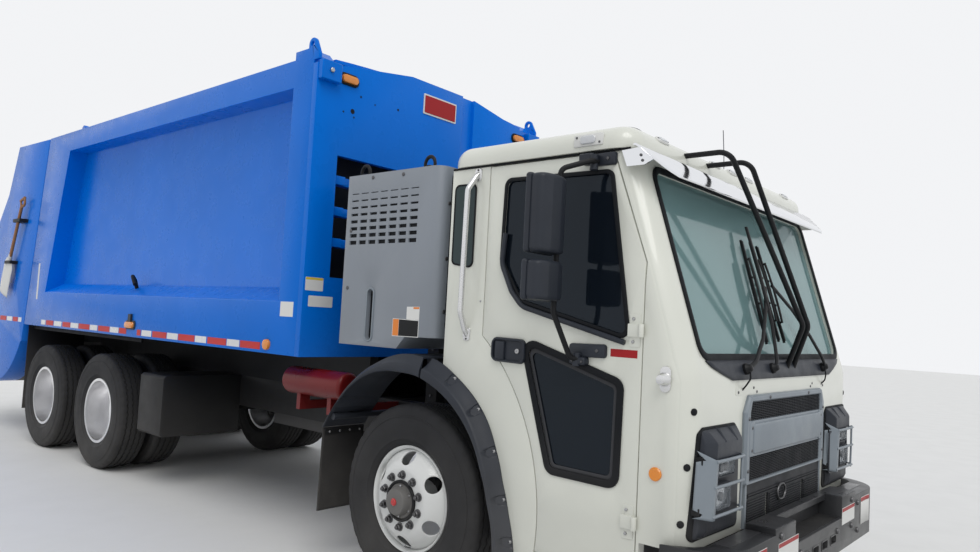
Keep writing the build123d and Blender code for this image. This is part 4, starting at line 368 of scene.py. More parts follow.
# %% Dressing CAD nodes
def smooth_group(limit=35):
    """Node group: shade every face smooth, and keep an edge sharp where its angle passes the limit."""
    group = bpy.data.node_groups.new("shade_by_angle", "GeometryNodeTree")
    for way in ("INPUT", "OUTPUT"):
        group.interface.new_socket("Geometry", in_out=way, socket_type="NodeSocketGeometry")
    start, stop = group.nodes.new("NodeGroupInput"), group.nodes.new("NodeGroupOutput")
    faces = group.nodes.new("GeometryNodeSetShadeSmooth")
    edges = group.nodes.new("GeometryNodeSetShadeSmooth")
    edges.domain = "EDGE"
    edges.inputs["Shade Smooth"].default_value = False
    bend = group.nodes.new("GeometryNodeInputMeshEdgeAngle")
    sharp = group.nodes.new("FunctionNodeCompare")
    sharp.operation = "GREATER_THAN"
    sharp.inputs["B"].default_value = math.radians(limit)
    link = group.links.new
    link(start.outputs["Geometry"], faces.inputs["Geometry"])
    link(faces.outputs["Geometry"], edges.inputs["Geometry"])
    link(bend.outputs["Unsigned Angle"], sharp.inputs["A"])
    link(sharp.outputs["Result"], edges.inputs["Selection"])
    link(edges.outputs["Geometry"], stop.inputs["Geometry"])
    return group


shade_by_angle = smooth_group()


def dress(finish, *names, bevel=0.003):
    """Give CAD nodes their finish, rounded edges and smooth curved faces, by modifiers alone."""
    for name in names:
        node = nodes[name]
        if not node.material_slots:
            node.data.materials.append(finish)
        for place in node.material_slots:
            place.material = finish
        node.modifiers.new("weld", "WELD").merge_threshold = 0.00005
        if bevel:
            add_bevel(node, bevel)
        node.modifiers.new("shade", "NODES").node_group = shade_by_angle
    print(finish.name, "on", ", ".join(names))


# %% [markdown]
# ## Finishes
# Each finish is a Principled shader with one value per socket, and nodes only where the real
# surface varies: paint has a faint orange peel and road dust that settles low down, moulded
# plastic has a fine grain, and rolled metal has short scratches. All patterns read Object
# coordinates, so they stay put on the piece.

# %% Finish builder
class Finish:
    """One material with its Principled shader and its Object coordinates at hand."""

    def __init__(self, name, colour, roughness, metallic=0.0, coat=0.0, **sockets):
        self.material = bpy.data.materials.new(name)
        self.material.use_nodes = True
        self.tree = self.material.node_tree
        self.shader = self.tree.nodes["Principled BSDF"]
        self.colour = (*colour, 1.0)
        values = {"Base Color": self.colour, "Roughness": roughness, "Metallic": metallic,
                  "Coat Weight": coat, "Coat Roughness": 0.06}
        values.update({socket.replace("_", " "): value for socket, value in sockets.items()})
        for socket, value in values.items():
            self.shader.inputs[socket].default_value = value
        self.place = self.add("ShaderNodeTexCoord").outputs["Object"]
        self.tint = None

    def add(self, kind, inputs=None, **values):
        """New node, its settings given by name and its input sockets in a dictionary."""
        node = self.tree.nodes.new(kind)
        for key, value in values.items():
            setattr(node, key, value)
        for socket, value in (inputs or {}).items():
            node.inputs[socket].default_value = value
        return node

    def link(self, start, stop):
        self.tree.links.new(start, stop)

    def noise(self, scale, detail=4.0, stretch=(1, 1, 1)):
        """Noise over Object coordinates, stretched along an axis where the pattern runs along it."""
        mapping = self.add("ShaderNodeMapping", {"Scale": stretch})
        self.link(self.place, mapping.inputs["Vector"])
        texture = self.add("ShaderNodeTexNoise", {"Scale": scale, "Detail": detail, "Roughness": 0.55})
        self.link(mapping.outputs["Vector"], texture.inputs["Vector"])
        return texture.outputs["Fac"]

    def ramp(self, value, low, high, to_low=0.0, to_high=1.0):
        """Value stretched from between low and high to between two others, and kept inside them."""
        ends = {"From Min": low, "From Max": high, "To Min": to_low, "To Max": to_high}
        remap = self.add("ShaderNodeMapRange", ends, clamp=True)
        self.link(value, remap.inputs["Value"])
        return remap.outputs["Result"]

    def wash(self, mask, colour):
        """Blend a second colour over the base where the mask is high."""
        mix = self.add("ShaderNodeMix", data_type="RGBA")
        factor, base, over = mix.inputs[0], mix.inputs[6], mix.inputs[7]
        base.default_value = self.colour
        if self.tint is not None:
            self.link(self.tint, base)
        over.default_value = (*colour, 1.0)
        self.link(mask, factor)
        self.tint = mix.outputs[2]
        self.link(self.tint, self.shader.inputs["Base Color"])
        return self

    def vary_roughness(self, value, low, high):
        """Roughness that follows a pattern."""
        self.link(self.ramp(value, 0.3, 0.7, low, high), self.shader.inputs["Roughness"])
        return self

    def bump(self, height, depth, distance=0.001):
        """Fine relief from a pattern, too small to be modelled."""
        relief = self.add("ShaderNodeBump", {"Strength": depth, "Distance": distance})
        self.link(height, relief.inputs["Height"])
        self.link(relief.outputs["Normal"], self.shader.inputs["Normal"])
        return self

    def dust(self, top, strength=0.35, colour=(0.32, 0.30, 0.27)):
        """Road dust: full at the ground, gone at height top, broken up by noise."""
        split = self.add("ShaderNodeSeparateXYZ")
        self.link(self.place, split.inputs[0])
        height = self.ramp(split.outputs["Z"], 0.2, top, 1.0, 0.0)
        patches = self.ramp(self.noise(3.0, 8.0), 0.35, 0.75, 0.15, strength)
        product = self.add("ShaderNodeMath", operation="MULTIPLY")
        self.link(height, product.inputs[0])
        self.link(patches, product.inputs[1])
        return self.wash(product.outputs[0], colour)


# %% [markdown]
# ## Paints
# The body is a strong gloss blue and the cab a warm off-white. Both get a clear coat over a
# base whose brightness drifts by a few percent, and a thin dust towards the road. Black
# frame paint and stickers use the same recipe with no clear coat.

# %% Paints
PLAIN = (1.0, 1.0, 1.0)


def paint(name, colour, roughness=0.32, dust_top=1.6, dust=0.3, coat=0.6, shine=0.5, sheen=PLAIN):
    """Gloss vehicle paint: clear coat, slight drift in tone, faint orange peel, dust low down."""
    made = Finish(name, colour, roughness, coat=coat, Specular_IOR_Level=shine, Specular_Tint=(*sheen, 1.0))
    darker = tuple(0.86 * c for c in colour)
    made.wash(made.ramp(made.noise(1.3, 3.0), 0.35, 0.7, 0.0, 0.6), darker)
    made.dust(dust_top, dust)
    made.vary_roughness(made.noise(6.0, 5.0), roughness - 0.05, roughness + 0.08)
    made.bump(made.noise(900.0, 1.0), 0.04, 0.0004)
    return made.material


body_blue = paint("body_blue", (0.0, 0.150, 0.66), 0.28, 1.6, 0.08, 0.05, 0.35, (0.05, 0.40, 1.0))
cab_white = paint("cab_white", (0.70, 0.71, 0.64), 0.34, 1.1, 0.35)
box_grey = paint("box_grey", (0.22, 0.245, 0.28), 0.38, 1.6, 0.2, 0.25)
frame_black = paint("frame_black", (0.010, 0.0105, 0.012), 0.45, 1.0, 0.10, 0.0, 0.2)
bumper_black = paint("bumper_black", (0.013, 0.0145, 0.018), 0.34, 0.8, 0.10, 0.05, 0.35)
tank_red = paint("tank_red", (0.15, 0.004, 0.005), 0.3, 1.2, 0.1, 0.1, 0.25)
wheel_white = paint("wheel_white", (0.70, 0.71, 0.70), 0.36, 1.0, 0.25, 0.3)
packer_steel = paint("packer_steel", (0.03, 0.032, 0.037), 0.5, 2.2, 0.3, 0.0, 0.3)
cylinder_black = paint("cylinder_black", (0.014, 0.014, 0.016), 0.35, 1.2, 0.15, 0.05, 0.3)
sign_red = paint("sign_red", (0.36, 0.016, 0.02), 0.4, 0.9, 0.1, 0.0, 0.2)
label_white = paint("label_white", (0.72, 0.72, 0.70), 0.5, 0.9, 0.15, 0.0)
label_orange = paint("label_orange", (0.75, 0.22, 0.03), 0.5, 0.9, 0.1, 0.0)
label_yellow = paint("label_yellow", (0.72, 0.52, 0.05), 0.5, 0.9, 0.1, 0.0)
hub_iron = paint("hub_iron", (0.125, 0.122, 0.118), 0.45, 1.2, 0.12, 0.0, 0.35)
motor_casing = paint("motor_casing", (0.045, 0.045, 0.048), 0.5, 1.2, 0.15, 0.0, 0.3)
tape_red = paint("tape_red", (0.52, 0.010, 0.010), 0.45, 0.9, 0.10, 0.0)
tape_white = paint("tape_white", (0.72, 0.73, 0.74), 0.25, 1.6, 0.35)
print("paints", len(bpy.data.materials))

# %% [markdown]
# ## Plastics and rubber
# Wheel arches and mirror housings are grained black plastic, greyed by weather. Rubber is
# duller still, and a tyre's wall carries dry dust in its fine moulding lines.

# %% Plastics and rubber
def moulded(name, colour, roughness=0.5, grain=700.0, dust_top=1.1, dust=0.3, fade=0.2, shine=0.25):
    """Grained plastic: fine bump, a weathered grey bloom, dust low down."""
    made = Finish(name, colour, roughness, Specular_IOR_Level=shine)
    bloom = tuple(min(1.0, 1.8 * c + 0.004) for c in colour)
    made.wash(made.ramp(made.noise(4.0, 6.0), 0.4, 0.75, 0.0, fade), bloom)
    made.dust(dust_top, dust)
    made.vary_roughness(made.noise(9.0, 5.0), roughness - 0.06, roughness + 0.1)
    made.bump(made.noise(grain, 2.0), 0.25, 0.0006)
    return made.material


moulded_black = moulded("moulded_black", (0.020, 0.024, 0.033), 0.40, dust=0.12, shine=0.3)
grille_grey = moulded("grille_grey", (0.185, 0.215, 0.245), 0.36, dust=0.08, shine=0.5)
grille_dark = moulded("grille_dark", (0.012, 0.014, 0.019), 0.5, dust=0.06, shine=0.2)
interior_dark = moulded("interior_dark", (0.035, 0.036, 0.04), 0.6, dust=0.0)
seal_rubber = moulded("seal_rubber", (0.007, 0.008, 0.010), 0.55, 1200.0, dust=0.05, shine=0.15)
flap_rubber = moulded("flap_rubber", (0.012, 0.012, 0.014), 0.65, dust=0.3, shine=0.15)
tyre_wall = moulded("tyre_wall", (0.010, 0.011, 0.014), 0.6, 500.0, 1.3, 0.07, shine=0.16)
seat_fabric = moulded("seat_fabric", (0.06, 0.06, 0.07), 0.85, 420.0, dust=0.0)
bumper_grit = moulded("bumper_grit", (0.014, 0.0155, 0.020), 0.30, 160.0, dust=0.05, fade=0.5, shine=0.6)
print("with plastics", len(bpy.data.materials))

# %% [markdown]
# ## Metals, glass and lenses
# The rear wheels are turned aluminium, so their scratches run round the axle. The visor is
# chrome, with soft waves that break up its reflections. Window glass is a thin tinted sheet,
# because a real refracting pane would hide the cab in so small a render; the windscreen's pale
# colour is partly that tint and partly a painted reflection of the sky, and the door and quarter
# panes are dark sheets of painted shade for the cab behind them. Lenses are tinted clear
# plastic over fine ribs.

# %% Metals
def metal(name, colour, roughness, scratch=(1, 1, 1), waves=0.0, dust=0.0):
    """Bare metal: roughness broken by fine stretched noise, with slow waves where sheet is polished."""
    made = Finish(name, colour, roughness, metallic=1.0)
    if dust:
        made.dust(1.1, dust, (0.22, 0.21, 0.2))
    made.vary_roughness(made.noise(160.0, 4.0, scratch), roughness * 0.75, roughness * 1.35)
    if waves:
        made.bump(made.noise(2.2, 2.0), waves, 0.02)
    return made.material


wheel_alloy = metal("wheel_alloy", (0.90, 0.90, 0.91), 0.30, (1, 6, 1), dust=0.12)
visor_chrome = metal("visor_chrome", (0.82, 0.83, 0.85), 0.09, waves=0.12)
rod_chrome = metal("rod_chrome", (0.80, 0.80, 0.82), 0.1)
handle_alloy = metal("handle_alloy", (0.72, 0.72, 0.72), 0.28, (1, 1, 8))
bolt_steel = metal("bolt_steel", (0.42, 0.42, 0.43), 0.38)
nut_dark = metal("nut_dark", (0.12, 0.12, 0.125), 0.4, dust=0.2)
lamp_mirror = metal("lamp_mirror", (0.50, 0.52, 0.55), 0.14, waves=0.9)
mirror_glass = metal("mirror_glass", (0.80, 0.84, 0.88), 0.03)
print("with metals", len(bpy.data.materials))

# %% Glass, lenses and wood
def pane(name, colour, alpha, roughness=0.03, density=1.5, shine=0.5, sheen=PLAIN):
    """Window glass: a thin sheet that shows the cab behind it through a part-clear surface; besides the glass's
    tint, its colour paints in what the pane shows: the sky's reflection on the pale panes, the shaded cab on the
    dark ones.
    """
    made = Finish(name, colour, roughness, Transmission_Weight=0.0, Alpha=alpha, IOR=density,
                  Specular_IOR_Level=shine, Specular_Tint=(*sheen, 1.0))
    made.vary_roughness(made.noise(5.0, 4.0), roughness, roughness + 0.05)
    return made.material


def lens(name, colour, roughness=0.12):
    """Lamp lens: coloured clear plastic over fine ribs."""
    made = Finish(name, colour, roughness, coat=0.8, Transmission_Weight=0.25, IOR=1.49)
    ribs = made.add("ShaderNodeTexWave", {"Scale": 60.0}, wave_type="BANDS", bands_direction="Z")
    made.link(made.place, ribs.inputs["Vector"])
    made.bump(ribs.outputs["Fac"], 0.3, 0.001)
    return made.material


# Painted light: the windscreen's pale colour is partly a painted sky reflection; the dark quarter and door panes
# are painted shade for the cab behind them.
window_glass = pane("window_glass", (0.20, 0.33, 0.335), 0.72, density=1.9, sheen=(0.78, 1.0, 1.0))
quarter_glass = pane("quarter_glass", (0.012, 0.022, 0.024), 1.0, 0.05, sheen=(0.8, 1.0, 1.0))
dark_glass = pane("dark_glass", (0.006, 0.009, 0.014), 0.93, shine=0.3, sheen=(0.8, 0.9, 1.0))
clear_cover = pane("clear_cover", (0.35, 0.38, 0.41), 0.28, density=1.45)
lens_amber = lens("lens_amber", (0.95, 0.30, 0.01))
lens_red = lens("lens_red", (0.6, 0.01, 0.01))
lens_clear = lens("lens_clear", (0.75, 0.77, 0.8), 0.06)
wood = Finish("shovel_wood", (0.36, 0.17, 0.06), 0.5)
grain = wood.noise(40.0, 5.0, (6, 6, 0.6))
wood.wash(wood.ramp(grain, 0.3, 0.7), (0.22, 0.09, 0.03)).vary_roughness(grain, 0.42, 0.62).bump(grain, 0.2)
print("finishes", len(bpy.data.materials))

# %% [markdown]
# ## Tyres
# A highway truck tyre has four zigzag grooves round its tread, short cuts along its shoulders,
# and a wall that bulges beyond the rim. A texture could fake the grooves, but they show in the
# tyre's outline, so they are real here: one half section is turned round the axle on a grid,
# and the zigzag only shifts the groove's points sideways as the angle goes round.

# %% Tyre section
TYRE_STEPS = 240
GROOVES = (-0.072, -0.024, 0.024, 0.072)
GROOVE_HALF, GROOVE_DEEP, ZIGZAG = 0.0055, 0.012, 0.005
# Columns: radius, distance from the tyre's middle, share of the zigzag
WALL = (
    (0.2875, 0.1060, 0), (0.3000, 0.1085, 0), (0.3040, 0.1180, 0), (0.3150, 0.1265, 0),
    (0.3340, 0.1345, 0), (0.3370, 0.1375, 0), (0.3440, 0.1375, 0), (0.3480, 0.1370, 0),
    (0.3750, 0.1425, 0), (0.4050, 0.1448, 0), (0.4350, 0.1445, 0), (0.4580, 0.1420, 0),
    (0.4600, 0.1440, 0), (0.4680, 0.1435, 0), (0.4700, 0.1400, 0), (0.4860, 0.1365, 0),
    (0.5000, 0.1325, 0), (0.5060, 0.1320, 0), (0.5180, 0.1240, 0), (0.5260, 0.1150, 0),
    (0.5305, 0.1050, 0),
)
CROWN = 0.532


def tyre_section():
    """Closed section: wall up to the shoulder, ribs and grooves across the crown, the other wall down."""
    wall = np.array(WALL)
    tread = [(CROWN - deep * GROOVE_DEEP - 0.4 * middle**2, middle + offset * GROOVE_HALF, 1)
             for middle in GROOVES for offset, deep in ((-1.35, 0), (-1.0, 1), (1.0, 1), (1.35, 0))]
    return np.concatenate([wall * (1, -1, 1), np.array(tread), wall[::-1]])


section = tyre_section()
print("tyre section", section.shape)

# %% Tyre surface
def tyre_patch(x, y):
    """Section turned about the axle; a square wave cuts the shoulder's blocks, a triangle wave zigzags."""
    turn = np.arange(TYRE_STEPS)
    angle = 2 * np.pi * turn[:, None] / TYRE_STEPS
    wave = np.array([0, 1, 0, -1])[turn % 4] * ZIGZAG
    cut = np.isin(turn % 6, (0, 1)) * 0.006
    shoulder = np.exp(-(((section[:, 0] - 0.520) / 0.009) ** 2)) * (np.abs(section[:, 1]) > 0.1)
    radius = section[None, :, 0] - cut[:, None] * shoulder
    along = section[None, :, 1] + wave[:, None] * section[None, :, 2]
    points = [x + radius * np.cos(angle), y + along, HUB_Z + radius * np.sin(angle)]
    return stacked(np.stack(points, -1), closed=True)


FRONT_TYRE_Y = 1.065
REAR_TYRE_Y = (1.052, 0.707)
DRIVES = tuple(zip(("first", "second"), DRIVE_X))
for hand, side in SIDES:
    tyre = piece(f"front_{hand}_tyre_surface", tyre_patch(FRONT_X, side * FRONT_TYRE_Y),
                 f"front_{hand}_wheel", tyre_wall, angle=40)
    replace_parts(tyre, f"tyre_front_{hand}")
    for order, x in DRIVES:
        tyre = piece(f"{order}_drive_{hand}_tyre_surfaces", [tyre_patch(x, side * y) for y in REAR_TYRE_Y],
                     f"{order}_drive_{hand}_wheels", tyre_wall, angle=40)
        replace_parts(tyre, f"tyres_{order}_{hand}")

# %% [markdown]
# ## Wheel fittings
# The drive wheels' discs and rims are CAD nodes and only get a polish. What a mechanic would
# miss is added: ten nuts with washers and stud ends on each wheel, the oil-filled hub cap of
# the front wheel with its red plug, the bolts of the drive flange, and a valve stem. Each is a
# profile turned about its own axis, and one nut is copied round the axle.

# %% Nuts and bolts
STUD_R = 0.14288
TEN = circle(10)


def nut_patch(x, y, side, size=0.0185, high=0.024):
    """Flanged nut on the stud circle: washer, six-sided nut with a chamfered end, and the stud's end."""
    spot = (x, y, HUB_Z + STUD_R)
    washer = [(0, -0.001), (0.0245, -0.001), (0.0245, 0.0035), (0.021, 0.005), (0, 0.005)]
    hexagon = [(0, 0.004), (size, 0.004), (size, high - 0.003), (size * 0.86, high), (0, high)]
    stud = [(0, high - 0.002), (0.0105, high - 0.002), (0.0105, high + 0.008), (0.0085, high + 0.01),
            (0, high + 0.01)]
    return joined([revolved(profile, spot, (0, side, 0), sides)
                   for profile, sides in ((washer, 20), (hexagon, 6), (stud, 12))])


def ring_of_bolts(centre, axis, ring_r, count, size, high):
    """Hexagon heads on a circle about an axis."""
    head = [(0, 0), (size, 0), (size, high * 0.8), (size * 0.85, high), (0, high)]
    first = revolved(head, np.add(centre, (0, 0, ring_r)), axis, 6)
    return round_about(first, np.asarray(centre, float), circle(count))


# %% Hubs
FRONT_DISC_Y, REAR_DISC_Y, REAR_HUB_Y = 1.236, 0.8925, 1.015
HUB_CAP = [(0, 0.0), (0.0975, 0.0), (0.0975, 0.006), (0.0935, 0.010), (0.080, 0.0105), (0.0775, 0.016),
           (0.0755, 0.042), (0.069, 0.0525), (0.050, 0.0570), (0, 0.0580)]
HUB_RING = [(0.0975, -0.001), (0.1135, -0.001), (0.1135, 0.010), (0.109, 0.015), (0.101, 0.015),
            (0.0975, 0.011)]
HUB_PLUG = [(0, 0.0565), (0.021, 0.0565), (0.021, 0.0615), (0.016, 0.0655), (0, 0.0665)]
FLANGE_END = [(0, -0.002), (0.030, -0.002), (0.030, 0.006), (0.026, 0.010), (0, 0.012)]
for hand, side in SIDES:
    body, axis = f"front_{hand}_wheel", (0, side, 0)
    hub = np.array((FRONT_X, side * FRONT_DISC_Y, HUB_Z))
    nuts = round_about(nut_patch(hub[0], hub[1], side), (FRONT_X, 0, HUB_Z), TEN)
    piece(f"front_{hand}_wheel_nuts", nuts, body, nut_dark, bevel=0.0008)
    piece(f"front_{hand}_hub_cap", revolved(HUB_CAP, hub, axis), body, hub_iron)
    bolts = ring_of_bolts(hub + (0, side * 0.0095, 0), axis, 0.084, 6, 0.0075, 0.007)
    piece(f"front_{hand}_cap_bolts", bolts, body, bolt_steel)
    piece(f"front_{hand}_hub_ring", revolved(HUB_RING, hub, axis, closed=True), body, seal_rubber)
    piece(f"front_{hand}_hub_plug", revolved(HUB_PLUG, hub, axis, 24), body, lens_red)
    stem = [(FRONT_X + 0.02, side * y, HUB_Z - drop)
            for y, drop in ((1.158, 0.268), (1.19, 0.262), (1.215, 0.246))]
    piece(f"front_{hand}_valve_stem", tube_patch(stem, 0.0045, 10, up=(1, 0, 0)), body, bolt_steel)
    for order, x in DRIVES:
        body, hub = f"{order}_drive_{hand}_wheels", (x, side * REAR_HUB_Y, HUB_Z)
        nuts = round_about(nut_patch(x, side * REAR_DISC_Y, side), (x, 0, HUB_Z), TEN)
        piece(f"{order}_drive_{hand}_wheel_nuts", nuts, body, rod_chrome, bevel=0.0008)
        flange = [ring_of_bolts(hub, axis, 0.047, 8, 0.008, 0.010), revolved(FLANGE_END, hub, axis, 32)]
        piece(f"{order}_drive_{hand}_flange_bolts", flange, body, bolt_steel)

# %% Running gear finishes
dress(wheel_alloy, "wheels_first_right", "wheels_first_left",
      "wheels_second_right", "wheels_second_left", bevel=0)
dress(frame_black, "frame_rails", "front_axle", "rear_axles", "steering_knuckle_right",
      "steering_knuckle_left", "battery_boxes", "body_floor", bevel=0.0025)
dress(motor_casing, "drive_motor", bevel=0.02)
dress(flap_rubber, "rear_mudguards", bevel=0.002)

# %% [markdown]
# ## Front wheel discs
# The front wheel is a white pressed disc with six oval hand holes, welded into its rim. The
# rim is a profile turned round the axle. The disc needs real holes: one sixth of it is a grid
# between a hole's oval and that sector's border, and the blend between the two loops is made
# in polar form, radius and angle, before a dome gives every point its height.

# %% Disc with hand holes
RIM_LIP_Y = 1.185
DISC_R = (0.098, 0.2735)
HOLE_R = 0.230
HOLE_SIZE = (0.036, 0.046)
HOLES = 6


def disc_height(radius):
    """Outer face's distance from the truck's middle: flat under the nuts, then a dome falling to the rim."""
    share = np.clip((radius - 0.172) / (DISC_R[1] - 0.172), 0, 1)
    return 1.2315 - (1.2315 - (RIM_LIP_Y - 0.038)) * (0.25 * share + 0.75 * share ** 2.2)


def disc_sector(middle, steps=120, rings=10):
    """Grid from the hand hole's oval out to the sector's border, blended in radius and angle.

    Each ray leaves the hole's centre at its own angle. Its end is where it first meets an inner or
    outer radius or a side of the sector: the smallest of the four positive distances.
    """
    turn = circle(steps) + np.pi / steps
    ray = np.stack([np.cos(turn), np.sin(turn)], -1)
    to_radius = np.where(ray[:, 0] > 0, DISC_R[1] - HOLE_R, DISC_R[0] - HOLE_R) / ray[:, 0]
    to_side = np.abs(np.pi / HOLES * HOLE_R / ray[:, 1])
    reach = np.minimum(np.abs(to_radius), to_side)
    share = np.linspace(0, 1, rings)[:, None, None] ** 0.8
    plane = (1 - share) * ray * HOLE_SIZE + share * ray * reach[:, None]
    return HOLE_R + plane[..., 0], middle + plane[..., 1] / HOLE_R


def front_disc(x, side):
    """Six sectors round the axle, each point lifted to the disc's height."""
    patches = []
    for middle in np.pi / 2 + circle(HOLES):
        radius, angle = disc_sector(middle)
        points = [x + radius * np.cos(angle), side * disc_height(radius), HUB_Z + radius * np.sin(angle)]
        patches.append(grid_patch(np.stack(points, -1), wrap_columns=True))
    return joined(patches)


# %% Front wheels
# Columns: radius, along the axle from the outer lip. Lip, bead seats, well and inner lip, and back inside
RIM = [(0.290, -0.003), (0.2945, 0.0), (0.2985, -0.004), (0.2985, -0.010), (0.2865, -0.0135),
       (0.2850, -0.022), (0.2850, -0.060), (0.2740, -0.085), (0.2740, -0.150), (0.2850, -0.175),
       (0.2850, -0.218), (0.2865, -0.2265), (0.2985, -0.230), (0.2985, -0.236), (0.2945, -0.240),
       (0.289, -0.2375), (0.2790, -0.225), (0.2750, -0.175), (0.2690, -0.150), (0.2690, -0.085), (0.2755, -0.060),
       (0.2780, -0.020), (0.2840, -0.008)]
BARREL = [(0.2665, -0.036), (0.2745, -0.033), (0.2765, -0.036), (0.2765, -0.066), (0.2665, -0.062)]
HUB = [(0.046, -0.150), (0.092, -0.150), (0.092, -0.040), (0.108, -0.030), (0.108, 0.046), (0.046, 0.046)]
for hand, side in SIDES:
    body, lip = f"front_{hand}_wheel", (FRONT_X, side * RIM_LIP_Y, HUB_Z)
    turned = [revolved(profile, lip, (0, side, 0), sides, closed=True)
              for profile, sides in ((RIM, 128), (BARREL, 128), (HUB, 48))]
    rim = piece(f"front_{hand}_wheel_rim", turned, body, wheel_white, angle=50)
    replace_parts(rim, f"wheel_front_{hand}")
    piece(f"front_{hand}_wheel_disc", front_disc(FRONT_X, side), body, wheel_white,
          thickness=0.009, bevel=0.002)

# %% [markdown]
# ## Refuse body
# The blue body is welded sheet: smooth panels between heavy posts and rails. Its shapes are
# all in the CAD model, so here they get paint, rounded edges and the small things bolted or
# stuck to them. The first are the weld beads, which are what tells sheet steel from plastic.

# %% Body finish
dress(body_blue, "body_sides", "body_front", "body_roof", "tailgate_sides", "tailgate_top", bevel=0.004)
dress(packer_steel, "hopper_pan", "packer_slide", "sweep_blade", "ejector_blade", bevel=0.003)
dress(cylinder_black, "lift_barrels", "sweep_barrels", bevel=0)
dress(rod_chrome, "lift_rods", "sweep_rods", bevel=0)
dress(tank_red, "red_tank", bevel=0)

# %% Weld beads
def bead_patch(start, stop, radius=0.005, ripple=0.012):
    """Weld bead: a thin bar whose radius swells and shrinks as a sine along its run."""
    start, stop = np.asarray(start, float), np.asarray(stop, float)
    count = int(max(4, min(160, np.linalg.norm(stop - start) / ripple)))
    path = start + np.linspace(0, 1, count)[:, None] * (stop - start)
    points, faces = tube_patch(path, radius, 6, up=(0.3, 0.4, 0.86))
    swell = 1 + 0.18 * np.sin(np.arange(count) * np.pi)[:, None, None]
    rings = path[:, None] + (points.reshape(count, 6, 3) - path[:, None]) * swell
    return rings.reshape(-1, 3), faces


LEDGE_IN_Z, RAIL_LOW_Z = 1.720, 3.110
POST_REAR_X = FRONT_X - 1.350
beads = []
for _, side in SIDES:
    low, high = ((POST_REAR_X, side * PANEL_SIDE, z) for z in (LEDGE_IN_Z, RAIL_LOW_Z))
    beads += [bead_patch(low, (FRONT_X - 5.66, side * PANEL_SIDE, LEDGE_IN_Z)),
              bead_patch(high, (FRONT_X - 5.34, side * PANEL_SIDE, RAIL_LOW_Z)), bead_patch(low, high)]
piece("body_side_welds", beads, "chassis", body_blue)

# %% [markdown]
# ## Reflective tape and side lamps
# A red and white conspicuity tape runs along the lower edge of the body's side, red a quarter
# of a metre long and white shorter, left out at the side lamp. Each piece is a thin film of
# its own, so no texture is needed. The lamps are crowned lenses on a rounded base.

# %% Tape and side markers
TAPE_Z = (1.276, 1.326)
# Columns: start and end from the front axle
TAPE_RED = ((-1.80, -1.54), (-2.26, -1.99), (-2.72, -2.46), (-3.17, -2.92), (-3.46, -3.39), (-3.82, -3.67),
            (-4.27, -4.02), (-4.73, -4.47), (-5.14, -4.94), (-5.59, -5.39))
TAPE_WHITE = ((-1.98, -1.81), (-2.45, -2.28), (-2.91, -2.73), (-3.37, -3.19), (-4.01, -3.83), (-4.46, -4.29),
              (-4.93, -4.74), (-5.37, -5.17), (-5.73, -5.61))
SIDE_LENS = ((1.0, 0.0), (1.0, 0.6), (0.93, 0.88), (0.6, 1.0))
MARKER, LAMP = (-1.454, 1.316), (-3.592, 1.360)


def film(x_pairs, z_pair, side):
    """Thin film on the body's side: one shallow block per pair of stations."""
    wall = side_wall(side, BODY_SIDE)
    return joined([wall.plate(box_loop(a, b, *z_pair), 0.0012) for a, b in x_pairs])


for hand, side in SIDES:
    wall = side_wall(side, BODY_SIDE)
    piece(f"body_{hand}_tape_red", film(TAPE_RED, TAPE_Z, side), "chassis", tape_red)
    piece(f"body_{hand}_tape_white", film(TAPE_WHITE, TAPE_Z, side), "chassis", tape_white)
    lenses = [wall.lens(MARKER, 0.075, 0.075, 0.022, 0.037, SIDE_LENS),
              wall.lens(LAMP, 0.16, 0.055, 0.03, 0.027, SIDE_LENS)]
    piece(f"body_{hand}_side_lamps", lenses, "chassis", lens_amber)
    bases = [wall.lens(LAMP, 0.19, 0.08, 0.012, 0.03, SIDE_LENS),
             wall.plate(box_loop(-3.617, -3.567, 1.385, 1.455), 0.02)]
    piece(f"body_{hand}_side_lamp_bases", bases, "chassis", moulded_black)

# %% [markdown]
# ## The body's front wall
# The front wall faces the cab. It carries a clearance lamp in each upper corner, a bare red
# name plate in a pale border, small drain and rigging holes drawn as flat black discs of painted
# shade, and two blank labels low down.
# A folded bracket with one bolt sits at the top of each front post.

# %% Front wall fittings
FRONT_LENS = ((1.0, 0.0), (1.0, 0.55), (0.92, 0.88), (0.55, 1.0))
body_wall = front_wall(BODY_FRONT)


def front_plate(y, z, width, height, deep):
    """Plate with small round corners about a point of the body's front wall."""
    return body_wall.plate(rounded_rectangle(width, height, 0.006) + (y, z), deep)


lamp_spots = ((-0.953, 3.198), (0.953, 3.198))
lamps = [body_wall.lens(spot, 0.145, 0.055, 0.03, 0.0265, FRONT_LENS) for spot in lamp_spots]
seals = [body_wall.lens(spot, 0.175, 0.085, 0.012, 0.0415, FRONT_LENS) for spot in lamp_spots]
piece("front_wall_lamps", lamps, "chassis", lens_amber)
piece("front_wall_lamp_seals", seals, "chassis", seal_rubber)
piece("front_name_plate_edge", front_plate(-0.042, 3.222, 0.365, 0.158, 0.006), "chassis", label_white)
piece("front_name_plate", front_plate(-0.042, 3.222, 0.342, 0.135, 0.009), "chassis", sign_red, bevel=0.001)
